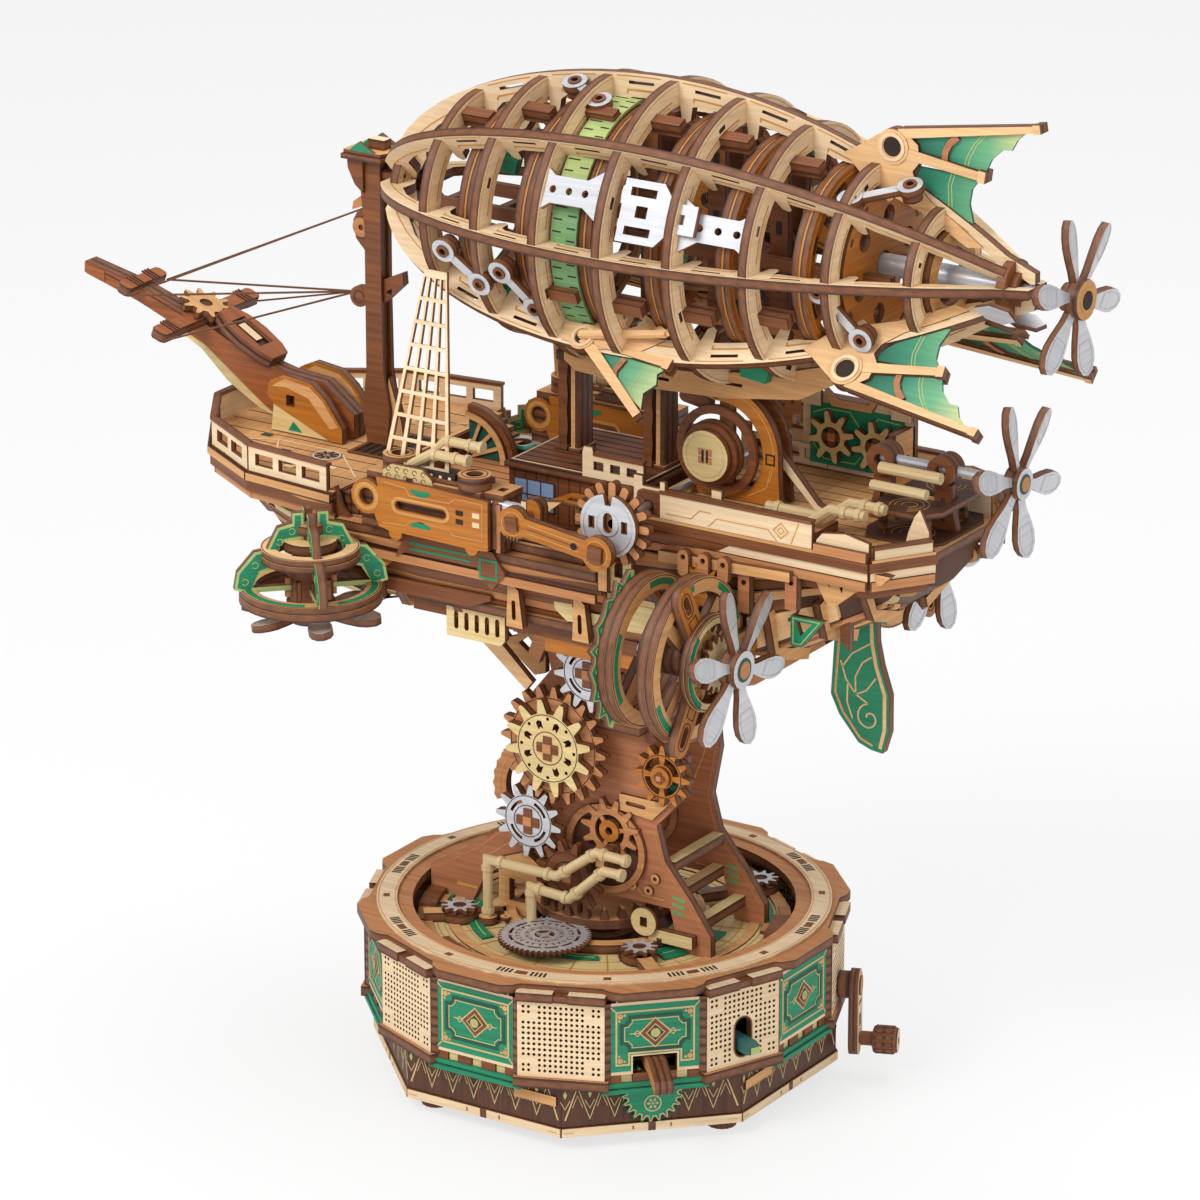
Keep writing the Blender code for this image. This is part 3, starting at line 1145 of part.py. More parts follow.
def inner_ring(rib_x, rib_r):
    """Smaller ring aft of a rib, with the spacers that carry it on the rib."""
    x = rib_x + INNER_RING_STEP
    axis = (0.0, BALLOON_Z)
    outer_r = INNER_RING_SHARE * balloon_radius(x)
    inner_r = outer_r - INNER_RING_DEPTH
    hole = [circle(inner_r, RIB_SIDES, axis)]
    pieces = [sheet(circle(outer_r, RIB_SIDES, axis), INNER_RING_THICKNESS, across(x), hole)]
    half = SPACER_WIDTH / 2
    low = min(outer_r, rib_r) - SPACER_LAP
    high = max(inner_r, rib_r - RIB_DEPTH) + SPACER_LAP
    length = INNER_RING_STEP + INNER_RING_THICKNESS / 2 - PLY / 2
    for index in range(SPACERS):
        turn = Matrix.Rotation(math.radians(360.0 / STRINGERS * (2 * index + 0.5)), 4, "X")
        frame = Matrix.Translation((0.0, 0.0, BALLOON_Z)) @ turn @ across(rib_x + PLY / 2)
        pieces.append(sheet(rectangle(low, -half, high, half), length, frame))
    return pieces


def tick_band(rib_x):
    """Thin band that runs round the balloon from the face of a rib."""
    axis = (0.0, BALLOON_Z)
    outer_r = balloon_radius(rib_x + TICK_BAND_REACH) - TICK_BAND_SINK
    hole = [circle(outer_r - BAND_WALL, RIB_SIDES, axis)]
    start = rib_x + PLY - FUSE
    return sheet(circle(outer_r, RIB_SIDES, axis), TICK_BAND_REACH + FUSE, across(start), hole)


def balloon_parts():
    """Stringers with discs, fins and wings fused to a frame, and the ribs with their inner rings."""
    spacing = 360.0 / STRINGERS
    pieces = []
    for index in range(STRINGERS):
        frame = balloon_plane(90.0 + spacing * index)
        pieces.append(sheet(stringer_outline(), PLY, frame))
    for degrees in (90.0, -45.0, 225.0):
        pieces.append(sheet(tail_fin(), FIN_THICKNESS, balloon_plane(degrees, FIN_THICKNESS)))
    for degrees in (-45.0, 225.0):
        pieces.append(sheet(side_wing(), FIN_THICKNESS, balloon_plane(degrees, FIN_THICKNESS)))
    axis = (0.0, BALLOON_Z)
    pieces.append(sheet(circle(NOSE_DISC_R, 20, axis), PLY, across(NOSE_X)))
    bore = [circle(BORE_R, BORE_SIDES, axis)]
    tail_r = balloon_radius(TAIL_X) - PIN_PROUD
    pieces.append(sheet(circle(tail_r, 16, axis), PLY, across(TAIL_X), bore))
    bulkhead_r = balloon_radius(TAIL_RING_X) - STRINGER_DEPTH / 2
    pieces.append(sheet(circle(bulkhead_r, 16, axis), PLY, across(TAIL_RING_X), bore))
    part("balloon_frame", pieces, "pale_ply")

    for index in range(RIBS):
        x = FIRST_RIB_X + RIB_SPACING * index
        edge = min(balloon_radius(x), balloon_radius(x + PLY)) - STRINGER_DEPTH
        outer_r = edge - STRINGER_SAG - GAP
        holes = [circle(outer_r - RIB_DEPTH, RIB_SIDES, axis)]
        pieces = [sheet(circle(outer_r, RIB_SIDES, axis), PLY, across(x), holes)]
        if index < RIBS - 1:
            pieces += inner_ring(x, outer_r)
        if index == TICK_BAND_RIB:
            pieces.append(tick_band(x))
        part(f"rib_{index + 1}", pieces, "pale_ply")


def house_part():
    """Deck house with the two posts that carry the balloon."""
    seat = WAIST_DECK_Z + PLY + GAP
    wall = HOUSE_WALL
    side = HOUSE_HALF_WIDTH
    half = BALLOON_POST_WIDTH / 2
    inner = side - wall
    room = block(HOUSE_START + wall, HOUSE_END - wall, -inner, inner, seat - wall, HOUSE_ROOF_Z - wall)
    pieces = [block(HOUSE_START, HOUSE_END, -side, side, seat, HOUSE_ROOF_Z)]
    for x in BALLOON_POSTS:
        top = BALLOON_Z - balloon_radius(x) - 2 * GAP
        pieces.append(block(x - half, x + half, -half, half, HOUSE_ROOF_Z - wall + FUSE, top))
    part("deck_house", pieces, "brown_ply", [room])


def propeller(radius, hub_r, hub_length, shaft_length, sides=12):
    """Propeller about +X at the origin: hub, pitched blades and a shaft towards -X."""
    pieces = [sheet(circle(hub_r, sides), hub_length, across(-hub_length / 2))]
    for index in range(BLADES):
        turn = Matrix.Rotation(math.radians(360.0 * index / BLADES + 15.0), 4, "X")
        pitch = Matrix.Rotation(math.radians(BLADE_PITCH), 4, "Z")
        blade = [(-0.0018, hub_r * 0.6), (0.0018, hub_r * 0.6), (0.0034, radius * 0.80), (0.0014, radius),
                 (-0.0014, radius), (-0.0034, radius * 0.80)]
        frame = turn @ pitch @ across(-BLADE_THICKNESS / 2)
        pieces.append(sheet(blade, BLADE_THICKNESS, frame))
    pieces.append(rod((-shaft_length, 0.0, 0.0), (0.0, 0.0, 0.0), SHAFT_R))
    return pieces


def placed(pieces, matrix):
    for mesh in pieces:
        mesh.transform(matrix)
    return pieces


def propeller_parts():
    """Rear, stern and side propellers with the nacelles that carry the side ones."""
    rear = (REAR_PROPELLER_X, 0.0, BALLOON_Z)
    length = REAR_PROPELLER_X - TAIL_RING_X + PIN_PROUD
    blades = propeller(LARGE_PROPELLER_R, REAR_HUB_R, REAR_HUB_LENGTH, length)
    pieces = placed(blades, Matrix.Translation(rear))
    part("rear_propeller", pieces, "silver_ply", pivot=rear)
    stern = (STERN_PROPELLER_X, 0.0, STERN_PROPELLER_Z)
    length = STERN_PROPELLER_X - STERN_POSTS[0] + PIN_PROUD
    pieces = placed(propeller(LARGE_PROPELLER_R, HUB_R, HUB_LENGTH, length), Matrix.Translation(stern))
    part("stern_propeller", pieces, "silver_ply", pivot=stern)
    for label, side in (("near", -1), ("far", 1)):
        hub = (SIDE_PROPELLER_X, side * SIDE_NACELLE_Y, SIDE_NACELLE_Z)
        blades = propeller(SIDE_PROPELLER_R, HUB_R, HUB_LENGTH, SIDE_SHAFT_LENGTH)
        part(f"side_propeller_{label}", placed(blades, Matrix.Translation(hub)), "silver_ply", pivot=hub)
        nacelle_part(label, side)


def nacelle_part(label, side):
    """Two rings round the propeller shaft, tied together and to the hull side."""
    axis = (side * SIDE_NACELLE_Y, SIDE_NACELLE_Z)
    tube_start = BACK_RING_X - PLY / 2
    tube_end = SIDE_PROPELLER_X - HUB_LENGTH / 2 - GAP
    bore = circle(BORE_R, BORE_SIDES, axis)
    pieces = [sheet(circle(BOSS_R, 10, axis), tube_end - tube_start, across(tube_start), [bore])]
    for x, radius in ((SIDE_RING_X, SIDE_RING_R), (BACK_RING_X, BACK_RING_R)):
        inner = radius - RING_WIDTH
        pieces.append(sheet(circle(radius, 20, axis), PLY, across(x - PLY / 2), [circle(inner, 20, axis)]))
        for degrees in (45.0, 225.0) if x == BACK_RING_X else (45.0, 135.0, 225.0, 315.0):
            turn = Matrix.Translation((x - PLY / 2, *axis)) @ Matrix.Rotation(math.radians(degrees), 4, "X")
            spoke_outline = rectangle(-SPOKE_WIDTH / 2, PLY, SPOKE_WIDTH / 2, inner + RING_WIDTH / 2)
            pieces.append(sheet(spoke_outline, PLY, turn @ across(0.0)))
    tie_r = BACK_RING_R - RING_WIDTH / 2
    arm_low = SIDE_NACELLE_Z - 0.006
    arm_high = SIDE_NACELLE_Z + 0.005
    inner_y = hull_half_width(BACK_RING_X - PLY / 2, arm_high) + GAP
    low, high = sorted((side * inner_y, side * (SIDE_NACELLE_Y - tie_r + FUSE)))
    pieces.append(block(BACK_RING_X - PLY / 2, BACK_RING_X + 3 * PLY, low, high, arm_low, arm_high))
    part(f"side_nacelle_{label}", pieces, "brown_ply")


def rotor_parts():
    """Bow rotors with upright axes, and the cages they hang in."""
    for label, side in (("near", -1), ("far", 1)):
        centre = (ROTOR_X, side * ROTOR_Y)
        hub = (*centre, ROTOR_Z)
        upward = Matrix.Translation(hub) @ Matrix.Rotation(math.radians(-90.0), 4, "Y")
        shaft_top = ROTOR_Z + 0.020
        blades = propeller(ROTOR_R, ROTOR_HUB_R, ROTOR_HUB_LENGTH, 0.0)[:-1]
        pieces = placed(blades, upward) + [rod(hub, (*centre, shaft_top), SHAFT_R)]
        part(f"bow_rotor_{label}", pieces, "silver_ply", pivot=hub)

        bottom = ROTOR_Z + ROTOR_HUB_LENGTH / 2 + GAP
        top = FORE_DECK_Z - PIN_PROUD
        pieces = [sheet(circle(ARM_PAD_R, 8, centre), top - bottom, level(bottom))]
        rings = ((ROTOR_RING_R, ROTOR_RING_Z, 20), (ROTOR_TOP_RING_R, ROTOR_TOP_RING_Z, 16))
        for radius, ring_z, sides in rings:
            hole = circle(radius - RING_WIDTH, sides, centre)
            pieces.append(sheet(circle(radius, sides, centre), PLY, level(ring_z), [hole]))
        low_z = ROTOR_RING_Z - PIN_PROUD
        edge = ROTOR_RING_R
        fin = [(PLY, low_z), (edge - FUSE, low_z), (edge + PIN_PROUD, low_z + 2 * PLY), (0.78 * edge, 0.176),
               (2 * ARM_PAD_R, top - FUSE), (PLY, top - FUSE)]
        for degrees in (45.0, 135.0, 225.0, 315.0):
            turn = Matrix.Translation((*centre, 0.0)) @ Matrix.Rotation(math.radians(degrees), 4, "Z")
            pieces.append(sheet(fin, FIN_THICKNESS, turn @ upright(0.0, FIN_THICKNESS)))
        arm_top = ROTOR_RING_Z + PLY + PIN_PROUD
        half = 2 * PLY
        inner_y = max(hull_half_width(ROTOR_X + place, arm_top) for place in (-half, 0.0, half)) + GAP
        low, high = sorted((side * inner_y, side * (ROTOR_Y - ROTOR_RING_R + PLY)))
        pieces.append(block(ROTOR_X - half, ROTOR_X + half, low, high, low_z, arm_top))
        bore = rod((*centre, bottom - PIN_PROUD), (*centre, shaft_top + PIN_PROUD), BORE_R, 12)
        part(f"rotor_cage_{label}", pieces, "brown_ply", [bore])


def clear_scene():
    for item in bpy.data.objects[:]:
        remove_object(item)


clear_scene()
drum_parts()
spindle_part()
crank_parts()
movement_parts()
lever_parts()
turntable_parts()
column_parts()
column_gears()
hull_parts()
deck_parts()
bow_parts()
engine_parts()
balloon_parts()
house_part()
propeller_parts()
rotor_parts()
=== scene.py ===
"""Looks of a hand-cranked plywood music box: an airship that turns on a round drum."""
import math

import bmesh
import bpy
from mathutils import Matrix, Vector
from mathutils.geometry import tessellate_polygon


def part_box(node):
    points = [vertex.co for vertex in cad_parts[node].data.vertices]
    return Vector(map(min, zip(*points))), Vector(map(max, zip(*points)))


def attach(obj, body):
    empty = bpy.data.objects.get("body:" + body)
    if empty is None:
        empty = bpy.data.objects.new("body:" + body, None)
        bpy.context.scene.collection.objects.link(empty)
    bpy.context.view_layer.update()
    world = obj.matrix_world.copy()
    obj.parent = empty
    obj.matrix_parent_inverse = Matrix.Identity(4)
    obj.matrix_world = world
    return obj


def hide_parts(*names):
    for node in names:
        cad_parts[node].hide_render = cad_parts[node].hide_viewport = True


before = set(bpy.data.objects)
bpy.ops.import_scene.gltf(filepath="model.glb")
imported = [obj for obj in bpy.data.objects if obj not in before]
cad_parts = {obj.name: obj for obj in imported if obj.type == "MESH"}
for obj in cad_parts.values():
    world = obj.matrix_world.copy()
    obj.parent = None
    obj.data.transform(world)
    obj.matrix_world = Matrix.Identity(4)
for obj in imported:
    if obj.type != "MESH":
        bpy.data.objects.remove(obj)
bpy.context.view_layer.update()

MM = 0.001
PLY = 3.0
LINE = 0.12

# Colour of the face in light and shade, grain strength, roughness and metallic share
LOOKS = {
    "pale": ((0.90, 0.69, 0.44), (0.75, 0.53, 0.31), 0.55, 0.62, 0.0),
    "cream": ((0.800, 0.618, 0.299), (0.640, 0.458, 0.184), 0.50, 0.60, 0.0),
    "tan": ((0.735, 0.393, 0.154), (0.549, 0.264, 0.093), 0.55, 0.62, 0.0),
    "salmon": ((0.593, 0.263, 0.098), (0.426, 0.164, 0.056), 0.55, 0.62, 0.0),
    "pink": ((0.511, 0.203, 0.089), (0.374, 0.129, 0.050), 0.50, 0.62, 0.0),
    "brown": ((0.252, 0.079, 0.019), (0.135, 0.036, 0.008), 0.75, 0.55, 0.0),
    "walnut": ((0.123, 0.040, 0.014), (0.056, 0.018, 0.007), 0.85, 0.60, 0.0),
    "sienna": ((0.388, 0.108, 0.021), (0.227, 0.056, 0.010), 0.70, 0.55, 0.0),
    "orange": ((0.557, 0.192, 0.015), (0.366, 0.104, 0.004), 0.65, 0.50, 0.0),
    "amber": ((0.653, 0.334, 0.094), (0.488, 0.214, 0.043), 0.60, 0.50, 0.0),
    "green": ((0.004, 0.268, 0.126), (0.004, 0.176, 0.079), 0.45, 0.55, 0.0),
    "deep": ((0.008, 0.095, 0.055), (0.004, 0.055, 0.032), 0.45, 0.55, 0.0),
    "peach": ((0.852, 0.544, 0.271), (0.712, 0.404, 0.176), 0.50, 0.60, 0.0),
    "sage": ((0.184, 0.367, 0.150), (0.137, 0.285, 0.114), 0.35, 0.60, 0.0),
    "lime": ((0.453, 0.556, 0.202), (0.354, 0.445, 0.149), 0.45, 0.60, 0.0),
    "membrane": ((0.02, 0.24, 0.13), (0.01, 0.15, 0.08), 0.20, 0.55, 0.0),
    "teal": ((0.035, 0.17, 0.15), (0.02, 0.10, 0.09), 0.55, 0.50, 0.0),
    "silver": ((0.66, 0.66, 0.68), (0.52, 0.52, 0.55), 0.35, 0.38, 0.45),
    "gold": ((0.66, 0.50, 0.24), (0.52, 0.38, 0.16), 0.30, 0.55, 0.0),
    "pipe": ((0.66, 0.50, 0.27), (0.54, 0.38, 0.18), 0.45, 0.55, 0.0),
    "black": ((0.030, 0.014, 0.009), (0.016, 0.008, 0.005), 0.60, 0.75, 0.0),
    "glass": ((0.30, 0.42, 0.62), (0.20, 0.30, 0.50), 0.20, 0.25, 0.0),
    "amber_glass": ((0.75, 0.45, 0.12), (0.60, 0.32, 0.08), 0.20, 0.30, 0.0),
    "thread": ((0.24, 0.17, 0.11), (0.13, 0.085, 0.05), 0.80, 0.85, 0.0),
    "steel": ((0.62, 0.61, 0.60), (0.50, 0.49, 0.48), 0.30, 0.32, 0.9),
    "burnt_line": ((0.20, 0.075, 0.03), (0.12, 0.04, 0.018), 0.5, 0.6, 0.0),
}
EDGES = {
    "burnt": ((0.205, 0.072, 0.026), (0.055, 0.017, 0.007), 0.55),
    "light_edge": ((0.42, 0.21, 0.10), (0.16, 0.062, 0.026), 0.55),
    "pale_edge": ((0.80, 0.60, 0.36), (0.52, 0.33, 0.17), 0.60),
    "green_edge": ((0.018, 0.24, 0.125), (0.006, 0.12, 0.065), 0.55),
}


def node(tree, kind, **values):
    item = tree.nodes.new(kind)
    for key, value in values.items():
        setattr(item, key, value)
    return item


def start_material(name, roughness, metallic):
    material = bpy.data.materials.new(name)
    material.use_nodes = True
    shader = material.node_tree.nodes["Principled BSDF"]
    shader.inputs["Roughness"].default_value = roughness
    shader.inputs["Metallic"].default_value = metallic
    material["look"] = name
    return material, material.node_tree, shader


def scaled(tree, source, scale):
    mapping = node(tree, "ShaderNodeMapping")
    mapping.inputs["Scale"].default_value = scale
    tree.links.new(source, mapping.inputs["Vector"])
    return mapping.outputs["Vector"]


def noise(tree, vector, scale, detail, name="Fac"):
    texture = node(tree, "ShaderNodeTexNoise")
    texture.inputs["Scale"].default_value = scale
    texture.inputs["Detail"].default_value = detail
    tree.links.new(vector, texture.inputs["Vector"])
    return texture.outputs[name]


def ramp(tree, source, stops):
    item = node(tree, "ShaderNodeValToRGB")
    elements = item.color_ramp.elements
    while len(elements) < len(stops):
        elements.new(0.5)
    for element, (place, colour) in zip(elements, stops):
        element.position = place
        element.color = (*colour, 1) if len(colour) == 3 else colour
    tree.links.new(source, item.inputs["Fac"])
    return item.outputs["Color"]


def mixed(tree, share, first, second, kind="MIX"):
    item = node(tree, "ShaderNodeMix", data_type="RGBA", blend_type=kind)
    for socket, value in ((item.inputs["Factor"], share), (item.inputs[6], first), (item.inputs[7], second)):
        if isinstance(value, bpy.types.NodeSocket):
            tree.links.new(value, socket)
        elif isinstance(value, tuple):
            socket.default_value = (*value, 1)
        else:
            socket.default_value = value
    return item.outputs[2]


def grain_nodes(tree, shader, along, light, dark, strength):
    """Long streaks, broad tone and fine pores from a vector whose X runs along the grain, in metres."""
    streak = noise(tree, scaled(tree, along, (28, 720, 300)), 1, 5)
    broad = noise(tree, scaled(tree, along, (9, 60, 40)), 1, 3)
    pores = noise(tree, scaled(tree, along, (160, 3200, 1500)), 1, 2)
    mask = ramp(tree, streak, [(0.32, (0,) * 3), (0.72, (1,) * 3)])
    colour = mixed(tree, mask, light, dark)
    tone = ramp(tree, broad, [(0.25, (1.08,) * 3), (0.80, (1 - 0.34 * strength,) * 3)])
    colour = mixed(tree, 1, colour, tone, "MULTIPLY")
    specks = ramp(tree, pores, [(0.60, (1,) * 3), (0.78, (1 - 0.45 * strength,) * 3)])
    colour = mixed(tree, 1, colour, specks, "MULTIPLY")
    bump = node(tree, "ShaderNodeBump")
    bump.inputs["Strength"].default_value = 0.25
    bump.inputs["Distance"].default_value = 0.00008
    tree.links.new(streak, bump.inputs["Height"])
    tree.links.new(bump.outputs["Normal"], shader.inputs["Normal"])
    return colour


def layer_nodes(tree, vector, light, dark):
    """Charred cut edge: layers across the sheet and soot that varies along it."""
    parts = node(tree, "ShaderNodeSeparateXYZ")
    tree.links.new(vector, parts.inputs[0])
    wave = node(tree, "ShaderNodeMath", operation="PINGPONG")
    tree.links.new(parts.outputs["Y"], wave.inputs[0])
    wave.inputs[1].default_value = 0.5
    band = ramp(tree, wave.outputs[0], [(0.05, dark), (0.30, light), (0.62, light), (0.92, dark)])
    soot = noise(tree, scaled(tree, vector, (260, 2, 1)), 1, 4)
    shade = ramp(tree, soot, [(0.30, (0.62,) * 3), (0.70, (1.15,) * 3)])
    return mixed(tree, 1, band, shade, "MULTIPLY")


def sheet_map(tree):
    item = node(tree, "ShaderNodeUVMap", uv_map="sheet")
    return item.outputs["UV"]


def face_material(key):
    name = f"face_{key}"
    material = bpy.data.materials.get(name)
    if material:
        return material
    light, dark, strength, roughness, metallic = LOOKS[key]
    material, tree, shader = start_material(name, roughness, metallic)
    if key == "membrane":
        parts = node(tree, "ShaderNodeSeparateXYZ")
        tree.links.new(node(tree, "ShaderNodeUVMap", uv_map="tint").outputs["UV"], parts.inputs[0])
        stops = [(0.12, LOOKS["deep"][0]), (0.42, (0.03, 0.26, 0.15)), (0.72, (0.16, 0.44, 0.22)),
                 (0.98, (0.62, 0.66, 0.30))]
        light = ramp(tree, parts.outputs["X"], stops)
        dark = mixed(tree, 0.25, light, (0.02, 0.10, 0.06))
    colour = grain_nodes(tree, shader, sheet_map(tree), light, dark, strength)
    tree.links.new(colour, shader.inputs["Base Color"])
    return material


def edge_material(key):
    name = f"edge_{key}"
    material = bpy.data.materials.get(name)
    if material:
        return material
    light, dark, roughness = EDGES[key]
    material, tree, shader = start_material(name, roughness, 0)
    tree.links.new(layer_nodes(tree, sheet_map(tree), light, dark), shader.inputs["Base Color"])
    return material


def solid_material(key, axis):
    """Finish of a carried-over solid: grain on faces square to the axis, char on the others."""
    name = f"solid_{key}_{''.join(str(round(v * 10)) for v in axis)}"
    material = bpy.data.materials.get(name)
    if material:
        return material
    light, dark, strength, roughness, metallic = LOOKS[key]
    material, tree, shader = start_material(name, roughness, metallic)
    place = node(tree, "ShaderNodeTexCoord")
    colour = grain_nodes(tree, shader, place.outputs["Object"], light, dark, strength)
    if metallic < 0.5:
        facing = node(tree, "ShaderNodeVectorMath", operation="DOT_PRODUCT")
        facing.inputs[1].default_value = axis
        tree.links.new(place.outputs["Normal"], facing.inputs[0])
        size = node(tree, "ShaderNodeMath", operation="ABSOLUTE")
        tree.links.new(facing.outputs["Value"], size.inputs[0])
        share = ramp(tree, size.outputs[0], [(0.80, (0,) * 3), (0.90, (1,) * 3)])
        burnt, char, _ = EDGES["burnt"]
        soot = noise(tree, place.outputs["Object"], 400, 4)
        edge = mixed(tree, soot, burnt, char)
        colour = mixed(tree, share, edge, colour)
    tree.links.new(colour, shader.inputs["Base Color"])
    return material


def polar(radius, degrees):
    angle = math.radians(degrees)
    return radius * math.cos(angle), radius * math.sin(angle)


def circle(radius, count=24, centre=(0, 0), start=0):
    points = []
    for index in range(count):
        u, v = polar(radius, start + 360 * index / count)
        points.append((centre[0] + u, centre[1] + v))
    return points


def arc(radius, first, last, count, centre=(0, 0)):
    points = []
    for index in range(count + 1):
        u, v = polar(radius, first + (last - first) * index / count)
        points.append((centre[0] + u, centre[1] + v))
    return points


def band(inner, outer, first, last, count=12, centre=(0, 0)):
    """Outline of a ring segment."""
    return arc(outer, first, last, count, centre) + arc(inner, last, first, count, centre)


def box(u0, v0, u1, v1):
    return [(u0, v0), (u1, v0), (u1, v1), (u0, v1)]


def slot_shape(u0, v0, u1, v1, radius, count=5):
    """Stadium between two centres."""
    degrees = math.degrees(math.atan2(v1 - v0, u1 - u0))
    first = arc(radius, degrees + 90, degrees + 270, count, (u0, v0))
    return first + arc(radius, degrees - 90, degrees + 90, count, (u1, v1))


def moved(points, u, v, degrees=0):
    c = math.cos(math.radians(degrees))
    s = math.sin(math.radians(degrees))
    return [(u + x * c - y * s, v + x * s + y * c) for x, y in points]


def sized(points, share_u, share_v):
    return [(u * share_u, v * share_v) for u, v in points]


def mirrored(half):
    """Outline from the points of its near half and their mirror points."""
    return half + sized(half[::-1], 1, -1)


def level(z):
    return Matrix.Translation((0, 0, z))


FLAT = level(0)
SIDES = (("near", -1), ("far", 1))


def upright(y, thickness=PLY):
    """Sheet facing -Y, centred on y: u is X and v is Z."""
    return Matrix(((1, 0, 0, 0), (0, 0, -1, y + thickness / 2), (0, 1, 0, 0), (0, 0, 0, 1)))


def across(x):
    """Sheet facing +X from x: u is Y and v is Z."""
    return Matrix(((0, 0, 1, x), (1, 0, 0, 0), (0, 1, 0, 0), (0, 0, 0, 1)))


def turned(degrees, axis="Z"):
    return Matrix.Rotation(math.radians(degrees), 4, axis)


def disc_place(x, y, z):
    """Sheet facing +X from x, with its zero point at y and z."""
    return across(x) @ Matrix.Translation((y, z, 0))


def spoke(degrees, distance):
    """Sheet square to a radius of the drum, facing out: u is tangential and v is Z."""
    return turned(degrees) @ across(distance)


def between(start, end):
    """Frame at start whose w axis points at end."""
    way = Vector(end) - Vector(start)
    return Matrix.Translation(start) @ way.to_track_quat("Z", "Y").to_matrix().to_4x4()


def signed_area(points):
    total = 0
    for (x0, y0), (x1, y1) in zip(points, points[1:] + points[:1]):
        total += x0 * y1 - x1 * y0
    return total / 2


def offset_run(points, half, closed):
    """Left and right sides of a line of this half width, with mitred corners."""
    count = len(points)
    left, right = [], []
    for index, (x, y) in enumerate(points):
        before = points[index - 1] if closed or index else None
        after = points[(index + 1) % count] if closed or index < count - 1 else None
        ways = []
        for first, second in ((before, (x, y)), ((x, y), after)):
            if first is not None and second is not None:
                dx, dy = second[0] - first[0], second[1] - first[1]
                size = math.hypot(dx, dy) or 1
                ways.append((dx / size, dy / size))
        nx = -sum(way[1] for way in ways) / len(ways)
        ny = sum(way[0] for way in ways) / len(ways)
        size = max(nx * nx + ny * ny, 0.25)
        left.append((x + nx / size * half, y + ny / size * half))
        right.append((x - nx / size * half, y - ny / size * half))
    return left, right


def rim_of(points, half):
    """Outer and inner side of a closed line of this half width."""
    left, right = offset_run(points, half, True)
    return (left, right) if abs(signed_area(left)) > abs(signed_area(right)) else (right, left)


def strip(points, half):
    """Outline of an open line of this half width."""
    left, right = offset_run(points, half, False)
    return left + right[::-1]


